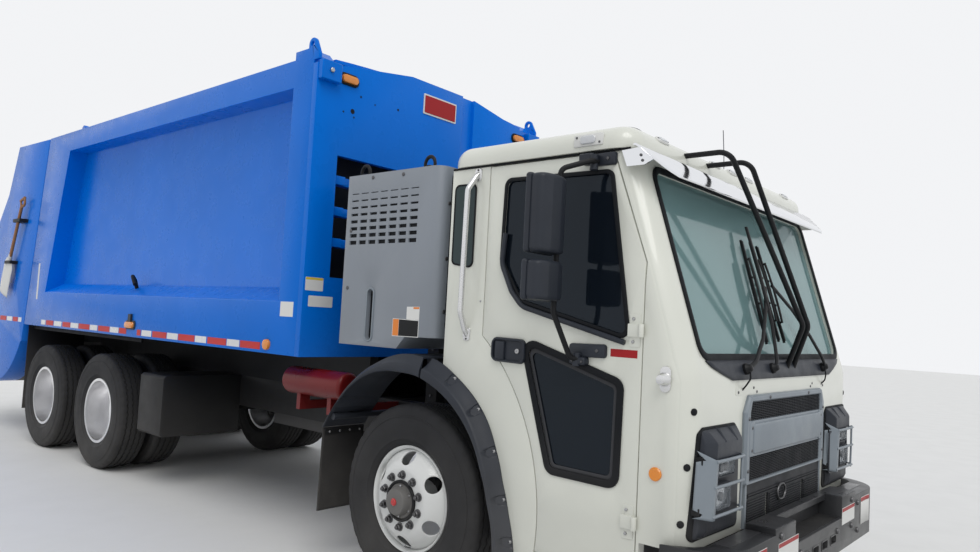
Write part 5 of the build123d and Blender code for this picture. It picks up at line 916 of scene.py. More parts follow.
# Painted shade: each hole is a flat black disc that stands for the dark inside it.
HOLE_SPOTS = ((-0.838, 3.107, 0.008), (-0.705, 3.083, 0.006), (-0.481, 3.103, 0.009), (-0.905, 2.985, 0.018),
              (-0.89, 2.945, 0.007), (-0.985, 2.965, 0.007))
sixteen = circle(16)[:, None] + np.pi / 16
disc = np.hstack([np.cos(sixteen), np.sin(sixteen)])
piece("front_wall_holes", [body_wall.plate(r * disc + (y, z), 0.0012) for y, z, r in HOLE_SPOTS],
      "chassis", seal_rubber)
labels = [front_plate(-1.132, 1.745, 0.145, 0.090, 0.001), front_plate(-1.073, 1.630, 0.20, 0.074, 0.001)]
piece("front_wall_labels", labels, "chassis", label_white)
piece("front_label_bands", front_plate(-1.132, 1.781, 0.142, 0.015, 0.0016), "chassis", label_yellow)
labels = [film(((-1.325, -1.175),), (1.517, 1.618), RIGHT), film(((-5.945, -5.905),), (1.54, 1.93), RIGHT)]
piece("body_side_labels", labels, "chassis", label_white)

# %% Corner brackets and ledge stops
BRACKET_HEAD = [(0, 0), (0.018, 0), (0.018, 0.012), (0.014, 0.016), (0, 0.016)]
brackets = [body_wall.plate(box_loop(side * 1.05, side * 1.215, 3.135, 3.27), 0.05) for _, side in SIDES]
piece("front_corner_brackets", brackets, "chassis", body_blue, bevel=0.006)
bolts = [body_wall.knob(BRACKET_HEAD, (side * 1.14, 3.205), 0.05, 6) for _, side in SIDES]
piece("front_corner_bolts", bolts, "chassis", bolt_steel)
STOP = np.array([(0, 1.10, 1.69), (0, 1.12, 1.76), (0.05, 1.17, 1.80), (0.16, 1.19, 1.72)])
STOP += (FRONT_X - 3.80, 0, 0)
stops = [tube_patch(rounded_path(STOP * (1, side, 1), 0.03), 0.017, 12, up=(0.2, 0.9, 0.1))
         for _, side in SIDES]
piece("ledge_stops", stops, "chassis", seal_rubber)

# %% [markdown]
# ## Tailgate fittings
# The tailgate carries its own tape, and three round lamps and a grab rail on each slanted rear
# edge. Everything there is placed by its share of the way down that edge, so it follows the
# edge if its slope changes.

# %% Tailgate lamps and rails
gate_red = [film(((-6.62, -6.46), (-7.05, -6.84)), TAPE_Z, side) for _, side in SIDES]
gate_white = [film(((-6.82, -6.64), (-6.44, -6.34)), TAPE_Z, side) for _, side in SIDES]
piece("tailgate_tape_red", gate_red, "tailgate", tape_red)
piece("tailgate_tape_white", gate_white, "tailgate", tape_white)
REAR_TOP = np.array((FRONT_X - 7.139, 0, 2.770))
REAR_LOW = np.array((FRONT_X - 8.130, 0, 1.560))
rear_run = unit(REAR_LOW - REAR_TOP)
rear_out = np.array([rear_run[2], 0, -rear_run[0]])
DOME = [(0, -0.002), (0.052, -0.002), (0.052, 0.014), (0.045, 0.024), (0.022, 0.031), (0, 0.032)]
SEAL = [(0.050, -0.002), (0.064, -0.002), (0.064, 0.009), (0.058, 0.012), (0.050, 0.012)]


def on_rear(share, side):
    """Point on the tailgate's slanted rear edge: share of the way down it."""
    return REAR_TOP + share * (REAR_LOW - REAR_TOP) + (0, side * 1.11, 0)


spots = [on_rear(share, side) for _, side in SIDES for share in (0.62, 0.75, 0.88)]
domes = [revolved(DOME, spot, rear_out, 28, up=(0, 1, 0)) for spot in spots]
seals = [revolved(SEAL, spot, rear_out, 28, closed=True, up=(0, 1, 0)) for spot in spots]
piece("tail_lamps", domes, "tailgate", lens_red)
piece("tail_lamp_seals", seals, "tailgate", seal_rubber)
ends = [(on_rear(0.12, side), on_rear(0.50, side)) for _, side in SIDES]
stand = 0.075 * rear_out
rails = [tube_patch(rounded_path([a, a + stand, b + stand, b], 0.03), 0.014, up=(0, 1, 0)) for a, b in ends]
piece("rear_grab_rails", rails, "tailgate", handle_alloy)

# %% [markdown]
# ## The shovel
# A long-handled shovel hangs in a bracket on the tailgate's right side. Its handle is a bar
# with a closed grip. The blade is a curved sheet: a grid whose depth is a parabola across and
# a gentle hook along, given a thin wall.

# %% Shovel
SHOVEL_TOP = np.array((FRONT_X - 6.44, -1.285, 2.60))
SHOVEL_LOW = np.array((FRONT_X - 6.72, -1.275, 1.98))
SQUARE = (0, 1, 0)


def shovel_blade(steps=18):
    """Square scoop: a width that narrows at the socket, and a depth of one minus the square across."""
    along = np.linspace(0, 1, steps)[:, None]
    across = np.linspace(-1, 1, steps)[None, :]
    half = 0.145 * (1 - 0.35 * np.exp(-(along / 0.12) ** 2))
    run = unit(SHOVEL_LOW - SHOVEL_TOP)
    sideways = np.array((run[2], 0, -run[0]))
    depth = 0.045 * (1 - across**2) * (0.5 + 0.5 * along) - 0.02 * along**3
    centre = SHOVEL_LOW + 0.42 * along[..., None] * run
    return centre + (half * across)[..., None] * sideways + depth[..., None] * np.array((0, -0.6, 0))


def shovel_bar(offsets, radius, sides=12, start=SHOVEL_TOP):
    """Straight bar through points given from the shovel's top."""
    return tube_patch(start + np.array(offsets), radius, sides, up=SQUARE)


grip = rounded_path(SHOVEL_TOP + np.array([(0.07, 0, 0.07), (0.09, 0, -0.01), (0.0, 0, -0.03)]), 0.03)
bars = [tube_patch([SHOVEL_TOP, (SHOVEL_TOP + SHOVEL_LOW) / 2, SHOVEL_LOW], 0.017, 14, up=SQUARE),
        tube_patch(grip, 0.013, up=SQUARE), shovel_bar([(-0.055, 0, 0.045), (0.07, 0, 0.075)], 0.015),
        shovel_bar([(-0.05, 0, 0.045), (-0.012, 0, -0.04)], 0.012)]
piece("shovel_handle", bars, "tailgate", wood.material)
piece("shovel_blade", grid_patch(shovel_blade()), "tailgate", label_white, outward=False, thickness=0.003)
socket = shovel_bar([(0.02, 0, 0.06), (-0.035, 0, -0.10)], 0.021, 14, SHOVEL_LOW)
piece("shovel_socket", socket, "tailgate", label_white)
holders = [block_patch((FRONT_X - 6.62, -1.31, 2.40), (FRONT_X - 6.40, -1.22, 2.44)),
           block_patch((FRONT_X - 6.80, -1.305, 1.93), (FRONT_X - 6.62, -1.22, 1.965))]
piece("shovel_holders", holders, "tailgate", frame_black, bevel=0.004)

# %% [markdown]
# ## Cab shell
# The cab is pressed steel and moulded panels in a warm off-white. The CAD walls have the real
# openings, so they are painted as they are, with their edges rounded a little. Dark parts
# inside keep the view through the glass quiet.

# %% Cab finish
dress(cab_white, "cab_shell", "cab_front", "cab_roof", "door_right", "door_left", bevel=0.003)
dress(interior_dark, "cab_floor", "dashboard", bevel=0.004)
dress(seal_rubber, "steering_wheel", bevel=0)
dress(visor_chrome, "sun_visor", bevel=0.002)
# Painted reflection: the windscreen's pale, mostly opaque colour stands in part for the sky it reflects.
dress(window_glass, "cab_glass", bevel=0)
# Painted shade: the nearly opaque dark door panes stand for the shaded cab behind them.
dress(dark_glass, "door_glass_right", "door_glass_left", bevel=0)
dress(frame_black, "guard_tubes", bevel=0)
dress(bumper_black, "front_bumper", bevel=0.004)
dress(box_grey, "cooling_box", bevel=0.004)

# %% [markdown]
# ## Door windows
# The main window and the low peep window are both held in black rubber. The main window's
# rubber is doubled by a curved guide along its rear and lower edge, where the sliding pane
# runs. A gasket is a ring between two outlines, the larger one being the smaller one grown.

# %% Door gaskets
MAIN_WINDOW = [(0.600, 2.300), (1.235, 2.290), (1.357, 1.514), (0.730, 1.670), (0.590, 1.880)]
LOW_WINDOW = [(0.773, 1.457), (1.317, 1.297), (1.310, 0.857), (0.957, 0.863)]
GUIDE = np.array([(0.598, 1.86), (0.672, 1.715), (0.745, 1.640), (1.345, 1.492)])
main_out = rounded_loop(grown(MAIN_WINDOW, 0.014), 0.046, 7)
main_in = rounded_loop(grown(MAIN_WINDOW, -0.006), 0.030, 7)
low_out = rounded_loop(grown(LOW_WINDOW, 0.030), 0.062, 7)
low_in = rounded_loop(grown(LOW_WINDOW, -0.004), 0.034, 7)
low_edge = rounded_loop(grown(LOW_WINDOW, -0.022), 0.024, 7)
for hand, side in SIDES:
    body, wall = f"{hand}_door", side_wall(side)
    rubber = [wall.collar(main_out, main_in, 0.009), wall.collar(low_out, low_in, 0.010)]
    piece(f"{hand}_door_gaskets", rubber, body, seal_rubber)
    piece(f"{hand}_low_window_frame", wall.collar(low_in, low_edge, 0.004, -0.004), body, interior_dark)
    guide = rounded_path([wall.at((0.612, 2.02), 0.012), *wall.at(GUIDE, 0.013)], 0.10, 8)
    piece(f"{hand}_window_guide", tube_patch(guide, 0.013, 10, up=(0, 1, 0)), body, moulded_black)

# %% [markdown]
# ## Quarter windows and grab handles
# The quarter glass is an opaque dark pane, painted shade for the cab behind it, and it reaches
# almost to the cab's rear corner. The handle in front of it is a round tube whose ends lean
# back to the wall, each on a small foot with two screws.

# %% Quarter windows and handles
QUARTER = [(0.229, 1.868), (0.377, 1.846), (0.377, 2.298), (0.229, 2.300)]
# Columns: x from the front axle, height, distance from the wall
HANDLE = ((0.394, 2.356, -0.004), (0.390, 2.335, 0.020), (0.375, 2.262, 0.064), (0.368, 1.600, 0.064),
          (0.366, 1.505, 0.020), (0.366, 1.476, -0.004))
HANDLE_FEET = ((0.392, 2.350), (0.366, 1.482))
for hand, side in SIDES:
    wall = side_wall(side)
    # Painted shade: the opaque dark quarter pane stands for the shaded cab behind it.
    glass = wall.plate(rounded_loop(QUARTER, 0.028, 6), 0.0025, 0.0004)
    piece(f"{hand}_quarter_glass", glass, "cab", quarter_glass)
    rubber = wall.collar(rounded_loop(grown(QUARTER, 0.007), 0.033, 6),
                         rounded_loop(grown(QUARTER, -0.003), 0.026, 6), 0.005)
    piece(f"{hand}_quarter_gasket", rubber, "cab", seal_rubber)
    route = rounded_path([wall.at((x, z), out) for x, z, out in HANDLE], 0.045, 6)
    handle = piece(f"{hand}_grab_handle", tube_patch(route, 0.0155, 16, up=(0.2, 1, 0)), "cab", handle_alloy)
    if side == RIGHT:
        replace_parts(handle, "grab_handles")
    feet = [wall.plate(rounded_rectangle(0.050, 0.072, 0.018) + spot, 0.007, ease=0.003)
            for spot in HANDLE_FEET]
    piece(f"{hand}_handle_feet", feet, "cab", handle_alloy)
    spots = [(x, z + shift) for x, z in HANDLE_FEET for shift in (-0.026, 0.026)]
    piece(f"{hand}_handle_screws", wall.heads(spots, 0.006, 0.005, 0.006), "cab", nut_dark)
    # Painted shadow: a black bar just under the roof's overhanging edge stands for the shade beneath that edge.
    shadow_line = [wall.at((x, 2.394), 0.002) for x in np.linspace(0.205, 1.330, 24)]
    piece(f"{hand}_roof_shadow_line", tube_patch(shadow_line, 0.006, 10), "cab", seal_rubber)

# %% [markdown]
# ## Door handle, hinges and side fittings
# The handle is a rounded black dish with a paddle and a lock. Three bolts hold each hinge
# leaf, a bare red decal sits beside the lower mirror bracket, and the cab's front corner has
# a round reflector, a bullet lamp and three rubber plugs set square to its curve.

# %% Door handle and hinges
DISH = rounded_loop([(0.557, 1.353), (0.779, 1.348), (0.777, 1.474), (0.557, 1.479)], 0.036, 7)
PADDLE = [(0.585, 1.363), (0.645, 1.362), (0.645, 1.458), (0.585, 1.459)]
LOCK = [(0, 0.004), (0.013, 0.004), (0.013, 0.013), (0.011, 0.015), (0.004, 0.015),
        (0.003, 0.012), (0, 0.012)]
HINGES = (0.700, 1.550)
for hand, side in SIDES:
    body, wall = f"{hand}_door", side_wall(side)
    parts = [wall.collar(DISH, grown(DISH, -0.014), 0.020), wall.plate(grown(DISH, -0.012), 0.008)]
    piece(f"{hand}_door_handle_dish", parts, body, moulded_black)
    piece(f"{hand}_door_handle_paddle", wall.plate(PADDLE, 0.018, 0.006, 0.008), body, moulded_black,
          bevel=0.002)
    piece(f"{hand}_door_lock", wall.knob(LOCK, (0.725, 1.412)), body, bolt_steel)
    leaves = [wall.plate(rounded_rectangle(0.055, 0.15, 0.006) + (1.392, z), 0.004) for z in HINGES]
    piece(f"{hand}_door_hinge_leaves", leaves, body, cab_white, bevel=0.001)
    heads = [(x, z + shift) for z in HINGES for x, shift in ((1.385, -0.052), (1.395, 0), (1.385, 0.052))]
    piece(f"{hand}_door_hinge_bolts", wall.heads(heads, 0.008, 0.008, 0.004), body, bolt_steel)
    piece(f"{hand}_door_decal", wall.plate(box_loop(1.268, 1.408, 1.424, 1.460), 0.0008), body, sign_red)

# %% Side fittings
REFLECTOR = [(0, -0.001), (0.030, -0.001), (0.030, 0.006), (0.026, 0.010), (0, 0.0105)]
BULLET = [(0.030, 0.0), (0.030, 0.014), (0.026, 0.020), (0.024, 0.040), (0.020, 0.048),
          (0.008, 0.052), (0, 0.052)]
PLUG = [(0, -0.002), (0.016, -0.002), (0.016, 0.003), (0.012, 0.006), (0, 0.007)]
CORNER_R = 0.120
for hand, side in SIDES:
    wall = side_wall(side)
    piece(f"{hand}_wall_screw", wall.heads([(0.452, 1.662)], 0.006, 0.004), "cab", bolt_steel)
    piece(f"{hand}_cab_reflector", wall.knob(REFLECTOR, (1.519, 0.930), sides=32), "cab", lens_amber)
    base = wall.plate(rounded_rectangle(0.052, 0.115, 0.025, 6) + (1.551, 1.344), 0.008, ease=0.004)
    stalk = wall.knob(BULLET, (1.551, 1.344), 0.004, 28)
    piece(f"{hand}_side_lamp_base", [base, stalk], "cab", handle_alloy)
    plugs = []
    for turn, z in ((1.10, 1.211), (0.89, 0.973), (0.72, 0.732)):
        out = np.array((math.sin(turn), side * math.cos(turn), 0))
        plugs.append(revolved(PLUG, (FRONT_X + 1.550, side * 1.050, z) + CORNER_R * out, out, 20))
    piece(f"{hand}_front_side_plugs", plugs, "cab", seal_rubber)

# %% [markdown]
# ## Wheel arches
# Each front arch is two mouldings of one section: the front one is bolted to the cab and tilts
# with it, the rear one stays on the frame with its flap. The section leaves the cab side,
# slopes out to a crease, turns over a rounded lip and goes back to the wall. Its widths change
# round the axle, so three curves of radius against angle carry it round. A swept profile of
# one size would miss that. Bolt pockets are scoops in the slope: points pulled to the wall.

# %% Arch mouldings
# Columns: angle round the axle from straight ahead, in degrees, and radius
WALL_OUT = ((-14, 0.785), (-8.6, 0.767), (4.3, 0.719), (17.7, 0.699), (31.6, 0.716), (42.8, 0.744),
            (52.3, 0.759), (60.3, 0.769), (67.6, 0.781), (76.3, 0.803), (82, 0.812), (94, 0.818),
            (102.1, 0.810), (110.9, 0.798), (120.3, 0.796), (131.2, 0.792), (144.3, 0.787), (155.7, 0.806),
            (158, 0.812))
CREASE = ((-14, 0.745), (-8.9, 0.720), (7.6, 0.659), (25.1, 0.656), (36.5, 0.671), (45.2, 0.689),
          (55.5, 0.709), (67.6, 0.726), (80.3, 0.746), (85.5, 0.754), (94, 0.768), (102.4, 0.776),
          (111.4, 0.776), (130, 0.783), (144, 0.782), (158, 0.805))
INNER = ((-14, 0.708), (-10, 0.686), (10.4, 0.635), (25.7, 0.629), (37.1, 0.643), (47.7, 0.653),
         (59.9, 0.666), (75.3, 0.684), (84.8, 0.701), (93.9, 0.707), (102.9, 0.725), (112.1, 0.745),
         (121.6, 0.760), (138.2, 0.772), (158, 0.796))
POCKETS = np.array((-5.4, 10.6, 30.7, 49.1, 66.8))
ARCH_Y = 1.250


def round_curve(table, angle, spread=3.0):
    """Measured radius at each angle: straight runs between the readings, averaged over a short span."""
    known = np.array(table)
    span = np.linspace(-spread, spread, 9)
    return np.interp(np.asarray(angle)[:, None] + span, known[:, 0], known[:, 1]).mean(axis=1)


def arch_section(angle, wall_y, edge_y, back_y, pockets=()):
    """Section (radius, y) for every angle: edge, slope to the crease, face, rolled lip, return and inside.

    A pocket is an ellipse in (angle, share of the slope); inside it the height falls to the edge's.
    """
    out, crease, inner = (round_curve(table, angle)[:, None] for table in (WALL_OUT, CREASE, INNER))
    share = np.linspace(0, 1, 9)[None, :]
    slope_r = out + (crease - out) * share - 0.002 * np.sin(np.pi * share)
    slope_y = edge_y + (ARCH_Y - 0.0015 - edge_y) * (0.7 * share + 0.3 * share ** 2) + 0 * out
    for middle in pockets:
        inside = 1 - ((angle[:, None] - middle) / 2.0) ** 4 - (share / 0.78) ** 2
        sunk = np.clip(inside * 6, 0, 1)
        slope_y = slope_y * (1 - sunk) + (edge_y - 0.003 + 0.006 * share) * sunk
    lip = np.clip((crease - inner) * 0.45, 0.002, 0.012)
    radius = np.hstack([out, slope_r, crease - 0.003, inner + lip, inner + 0.3 * lip, inner, inner,
                        inner + 0.004, inner + 0.004, np.maximum(crease - 0.009, inner + 0.005),
                        out - 0.007, out - 0.007])
    height = np.array((ARCH_Y, ARCH_Y, ARCH_Y - 0.003, ARCH_Y - 0.010, back_y, back_y, ARCH_Y - 0.017,
                       ARCH_Y - 0.017, edge_y - 0.003, wall_y))
    return radius, np.hstack([wall_y + 0 * out, slope_y, height + 0 * out])


def arch_patch(start, stop, side, *section, **more):
    """The section carried round the axle, closed across and capped at both ends."""
    angle = np.linspace(start, stop, int((stop - start) / 0.4))
    radius, y = arch_section(angle, *section, **more)
    turn = np.radians(angle)[:, None]
    return stacked(np.stack([FRONT_X + radius * np.cos(turn), side * y, HUB_Z + radius * np.sin(turn)], -1))


flares = [arch_patch(-13.0, 81.4, side, 1.1705, 1.1765, 1.1705, pockets=POCKETS) for _, side in SIDES]
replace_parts(piece("cab_arch_flares", flares, "cab", moulded_black, angle=38), "cab_flares")
ARCH_HEAD = [(0, -0.003), (0.0105, -0.003), (0.0105, 0.003), (0.0085, 0.0065), (0.0045, 0.0075),
             (0.004, 0.0045), (0, 0.0045)]
pocket_r, pocket_turn = round_curve(WALL_OUT, POCKETS) - 0.015, np.radians(POCKETS)
spots = np.stack([pocket_r * np.cos(pocket_turn), HUB_Z + pocket_r * np.sin(pocket_turn)], -1)
heads = [side_wall(side, 1.1765).knob(ARCH_HEAD, spot, sides=18) for _, side in SIDES for spot in spots]
piece("cab_arch_bolts", heads, "cab", bolt_steel)

# %% [markdown]
# ## Rear arch mouldings and flaps
# The rear moulding runs inwards over the tyre as a skin. A rubber flap hangs from its tail and
# a round bar from the frame rail carries it. The flap is a grid with a slight wave, because a
# hanging rubber sheet is never flat.

# %% Rear arch mouldings, flaps and bars
guards, tail, BAR_R = [], math.radians(150), 0.7695
for _, side in SIDES:
    guards.append(arch_patch(82.6, 157.0, side, 0.905, 1.232, 1.238))
    bar = [(FRONT_X + BAR_R * math.cos(tail), side * y, HUB_Z + BAR_R * math.sin(tail))
           for y in (0.395, 1.228)]
    guards.append(tube_patch(bar, 0.020, 20))
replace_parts(piece("front_arch_guards", guards, "chassis", moulded_black, angle=38), "front_mudguards")
flap_z = np.linspace(0.322, 0.838, 28)[:, None]
flap_y = np.linspace(0.908, 1.236, 24)[None, :]
flap_x = FRONT_X - 0.748 - 0.010 * (0.84 - flap_z) / 0.52 + 0.003 * np.sin(flap_y * 26) * (0.84 - flap_z)
flap = np.stack(np.broadcast_arrays(flap_x, flap_y, flap_z), -1)
sheets = [grid_patch(flap * (1, side, 1)) for _, side in SIDES]
piece("front_flaps", sheets, "chassis", flap_rubber, thickness=0.007)
strips = [block_patch((FRONT_X - 0.744, middle - 0.15, 0.794), (FRONT_X - 0.7385, middle + 0.15, 0.830))
          for middle in (-1.072, 1.072)]
piece("front_flap_strips", strips, "chassis", frame_black)
FLAP_HEAD = [(0, 0), (0.008, 0), (0.008, 0.004), (0.006, 0.006), (0, 0.006)]
heads = [front_wall(FRONT_X - 0.738).knob(FLAP_HEAD, (side * y, 0.812), sides=6)
         for _, side in SIDES for y in (0.95, 1.03, 1.11, 1.19)]
piece("front_flap_bolts", heads, "chassis", bolt_steel)

# %% [markdown]
# ## Windscreen
# The windscreen leans back by some seventeen degrees. Everything on it is drawn on its own
# wall, with y across and v up the slope, and then stood off along the wall's normal: the
# rubber gasket, the black cowl below it, and three wipers that park upright near the middle.

# %% Windscreen wall
SCREEN_LOW = np.array((FRONT_X + 1.655, 0.0, 1.400))
SCREEN_TOP = np.array((FRONT_X + 1.350, 0.0, 2.385))
ACROSS = np.array((0.0, 1.0, 0.0))
slope_up = unit(SCREEN_TOP - SCREEN_LOW)
slope_out = np.cross(ACROSS, slope_up)
screen = Wall((SCREEN_LOW + SCREEN_TOP) / 2, ACROSS, slope_up, slope_out, crown=(0.6, 0.25))
print("windscreen leans", round(math.degrees(math.atan2(slope_out[2], slope_out[0])), 1), "degrees")
SCREEN_PANE = [(-1.005, -0.460), (1.005, -0.460), (1.030, 0.440), (-1.030, 0.440)]
gasket = screen.collar(rounded_loop(grown(SCREEN_PANE, 0.026), 0.086, 8),
                       rounded_loop(grown(SCREEN_PANE, -0.008), 0.055, 8), 0.010)
piece("windscreen_gasket", gasket, "cab", seal_rubber)

# %% [markdown]
# ## Cowl and wipers
# The cowl is a thin black sheet bent over the front panel's edge: its upper rows lie on the
# slope and its lower rows on the upright grille face, and its ends slant in. A wiper is a
# pressed arm on a spindle, a bow with claws, and a thin rubber blade, each a bar along a path.

# %% Cowl
# Columns: half length, middle of the row
COWL = ((0.990, screen.at((0, -0.484), 0.0045)), (0.945, screen.at((0, -0.514), 0.0045)),
        (0.850, np.array((FRONT_X + 1.6680, 0, 1.372))), (0.735, np.array((FRONT_X + 1.6745, 0, 1.338))))
share = np.linspace(-1, 1, 41)[:, None]
cowl = np.stack([middle + half * share * ACROSS for half, middle in COWL])
piece("cowl", grid_patch(cowl), "cab", moulded_black, thickness=0.006, outward=False)

# %% Wipers
# Columns: spindle y, arm points (y, v), blade top and bottom (y, v)
WIPERS = (
    ((-0.575, -0.530), ((-0.50, -0.50), (-0.34, -0.385), (-0.165, -0.215), (-0.045, -0.084)),
     (-0.030, 0.195), (-0.008, -0.385)),
    ((-0.215, -0.530), ((-0.205, -0.49), (-0.15, -0.30), (-0.105, 0.02), (-0.082, 0.27)),
     (-0.165, 0.190), (-0.198, -0.400)),
    ((0.615, -0.535), ((0.560, -0.48), (0.420, -0.345), (0.260, -0.20), (0.070, -0.062)),
     (0.055, 0.180), (0.075, -0.390)),
)
SPINDLE = [(0, -0.004), (0.028, -0.004), (0.028, 0.012), (0.022, 0.018), (0.016, 0.034),
           (0.010, 0.038), (0, 0.038)]


def wiper_patches(spindle, arm, top, low):
    """Spindle cap, arm, pressed bow and rubber blade of one wiper, at four heights off the glass."""
    top, low = np.array(top), np.array(low)

    def along(reach, count, lift):
        """Points of the blade's middle line, a share of its half length either way."""
        share = np.linspace(-reach, reach, count)
        spots = (top + low) / 2 + share[:, None] * (top - low) / 2
        return [screen.at(spot, out) for spot, out in zip(spots, lift + 0 * share)]

    bow_share = np.linspace(-0.62, 0.62, 9)
    lifts = 0.030 + 0.018 * np.sin(np.pi * np.linspace(0, 1, len(arm) + 1))
    path = rounded_path([screen.at(spot, lift) for spot, lift in zip((spindle,) + arm, lifts)], 0.08, 5)
    # Columns: path, radius, sides, width across the glass
    bars = ((path, 0.0085, 10, 1.5), (along(0.62, 9, 0.020 + 0.016 * (1 - bow_share ** 2)), 0.0065, 8, 1.3),
            (along(0.97, 7, 0.017), 0.0045, 8, 1.6), (along(1, 7, 0.009), 0.0075, 8, 0.55))
    made = [tube_patch(route, radius, sides, slope_out, flat) for route, radius, sides, flat in bars]
    for s in (-0.6, -0.25, 0.25, 0.6):
        spot = (top + low) / 2 + s * (top - low) / 2
        made.append(tube_patch([screen.at(spot, 0.010), screen.at(spot, 0.026)], 0.006, 8, slope_up))
    return made + [revolved(SPINDLE, screen.at(spindle, 0.008), slope_out, 20, up=(0, 1, 0))]


piece("wipers", [patch for row in WIPERS for patch in wiper_patches(*row)], "cab", frame_black)
# Columns: y on the screen, then (x, y, z) of three more points
HOSES = ((-0.56, (1.700, -0.585, 1.345), (1.694, -0.622, 1.315), (1.672, -0.610, 1.292)),
         (0.60, (1.700, 0.592, 1.345), (1.692, 0.602, 1.31), (1.672, 0.606, 1.288)))
runs = [[screen.at((y, -0.515), 0.03), *(np.array(rest) + (FRONT_X, 0, 0))] for y, *rest in HOSES]
hoses = [tube_patch(rounded_path(run, 0.03, 6), 0.0042, 8, up=(0.1, 1, 0)) for run in runs]
piece("washer_hoses", hoses, "cab", seal_rubber)

# %% [markdown]
# ## Roof trim
# Five small clear marker lamps sit on the roof's rounded front edge, a low dark beacon on its
# right corner, an antenna on its left, and a clear lamp with a plain bezel on each side. The
# edge's lamps are drawn on a wall that touches its arc at 45 degrees.

# %% Roof lamps
MARKERS = (-0.86, -0.24, 0.0, 0.24, 0.86)
MARKER_LENS = ((1.0, -0.006), (1.0, 0.45), (0.93, 0.82), (0.7, 0.97), (0.35, 1.0))
LEAN = np.array((0.7071, 0, 0.7071))
brow = Wall(np.array((FRONT_X + 1.260, 0, 2.430)) + 0.089 * LEAN, ACROSS, (-0.7071, 0, 0.7071), LEAN)


def roof_dome(x, y, z, radii, high):
    """Low dome on the roof: an ellipse whose two radii shrink as the cosine while it rises as the sine."""
    rise = np.linspace(0, np.pi / 2 * 0.97, 9)[:, None]
    turn = circle(40)[None, :]
    points = [x + radii[0] * np.cos(rise) * np.cos(turn), y + radii[1] * np.cos(rise) * np.sin(turn),
              z + high * np.sin(rise) + 0 * turn]
    return stacked(np.stack(points, -1))


def marker_row(width, height, deep, shifts=(0.0,)):
    """One lens shape on every marker lamp, moved along the edge by each shift."""
    return [brow.lens((y + shift, 0), width, height, deep, height / 2 - 0.001, MARKER_LENS)
            for y in MARKERS for shift in shifts]


beacon_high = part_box("roof_lamps")[1][2] - 2.521
beacon = roof_dome(FRONT_X + 1.180, -0.96, 2.519, (0.085, 0.075), beacon_high)
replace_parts(piece("roof_beacon", beacon, "cab", dark_glass), "roof_lamps")
piece("roof_marker_bases", marker_row(0.118, 0.040, 0.010), "cab", label_white)
piece("roof_marker_lenses", marker_row(0.078, 0.028, 0.017), "cab", lens_clear)
piece("roof_marker_screws", marker_row(0.010, 0.010, 0.0125, (-0.049, 0.049)), "cab", nut_dark)

# %% Antenna, side lamps and visor screws
MAST_FOOT = [(0, 0), (0.018, 0), (0.018, 0.012), (0.010, 0.03), (0.004, 0.036), (0, 0.036)]
mast = [revolved(MAST_FOOT, (FRONT_X + 1.12, 0.36, 2.519), (0, 0, 1), 20, up=(0, 1, 0)),
        tube_patch([(FRONT_X + x, 0.36, z) for x, z in ((1.12, 2.54), (1.115, 2.70), (1.105, 2.86))],
                   0.0028, 8, up=(0, 1, 0))]
piece("roof_antenna", mast, "cab", nut_dark)
roof_sides = [side_wall(side, 1.190) for _, side in SIDES]
bezels = [wall.plate(rounded_rectangle(0.165, 0.060, 0.008, 4) + (1.110, 2.452), 0.012, -0.004, 0.004)
          for wall in roof_sides]
lenses = [wall.plate(rounded_rectangle(0.085, 0.040, 0.016) + (1.110, 2.452), 0.010, 0.008, 0.008)
          for wall in roof_sides]
screws = [wall.heads([(1.045, 2.468), (1.175, 2.436)], 0.006, 0.004, 0.008) for wall in roof_sides]
piece("roof_side_lamp_bezels", bezels, "cab", label_white)
piece("roof_side_lamp_lenses", lenses, "cab", lens_clear)
piece("roof_side_lamp_screws", screws, "cab", nut_dark)
visor = [side_wall(side, 1.183).heads([(1.392, 2.352), (1.401, 2.326)], 0.007, 0.005) for _, side in SIDES]
piece("visor_screws", visor, "cab", nut_dark)

# %% [markdown]
# ## Grille
# The grille is one grey moulding: a chamfered frame, two dark mesh openings, and between them
# a plain raised name panel, which stays bare. Below it sits a black slatted apron. The frame
# is a ring between two outlines, and the mesh is two crossing sets of thin bars over a black
# sheet of painted shade.

# %% Grille frame and name panel
grille = front_wall()
frame_out = rounded_loop([(-0.600, 0.834), (0.600, 0.834), (0.600, 1.180), (0.548, 1.262), (-0.548, 1.262),
                          (-0.600, 1.180)], 0.014, 5)
frame_in = rounded_loop([(-0.540, 0.848), (0.540, 0.848), (0.540, 1.180), (0.530, 1.228), (-0.530, 1.228),
                         (-0.540, 1.180)], 0.010, 5)
parts = [grille.collar(frame_out, frame_in, 0.024),
         grille.plate(box_loop(-0.545, 0.545, 0.962, 1.138, 0.012), 0.020, 0.0, 0.004),
         grille.plate(box_loop(-0.520, 0.520, 0.978, 1.124, 0.020, 5), 0.014, 0.017, 0.008)]
parts += [grille.plate(box_loop(y - 0.035, y + 0.035, 0.966, 1.134, 0.016), 0.007, 0.019, 0.005)
          for y in (-0.53, 0.53)]
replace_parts(piece("grille_frame", parts, "cab", grille_grey, bevel=0.0015), "grille")

# %% Grille mesh
def mesh_patch(half, low, high, pitch=0.0085, web=0.0032, x=GRILLE_FACE + 0.010):
    """Slats in their opening: one row of thin blocks every pitch, crossed by uprights."""
    heights = np.arange(low + pitch / 2, high, pitch)
    slat = block_patch((x - 0.004, -half, -web / 2), (x + 0.004, half, web / 2))
    places = np.linspace(-half, half, 41)[1:-1]
    upright = block_patch((x - 0.002, -0.0016, low), (x + 0.002, 0.0016, high))
    return joined([moved(slat, heights[:, None] * (0, 0, 1)), moved(upright, places[:, None] * (0, 1, 0))])


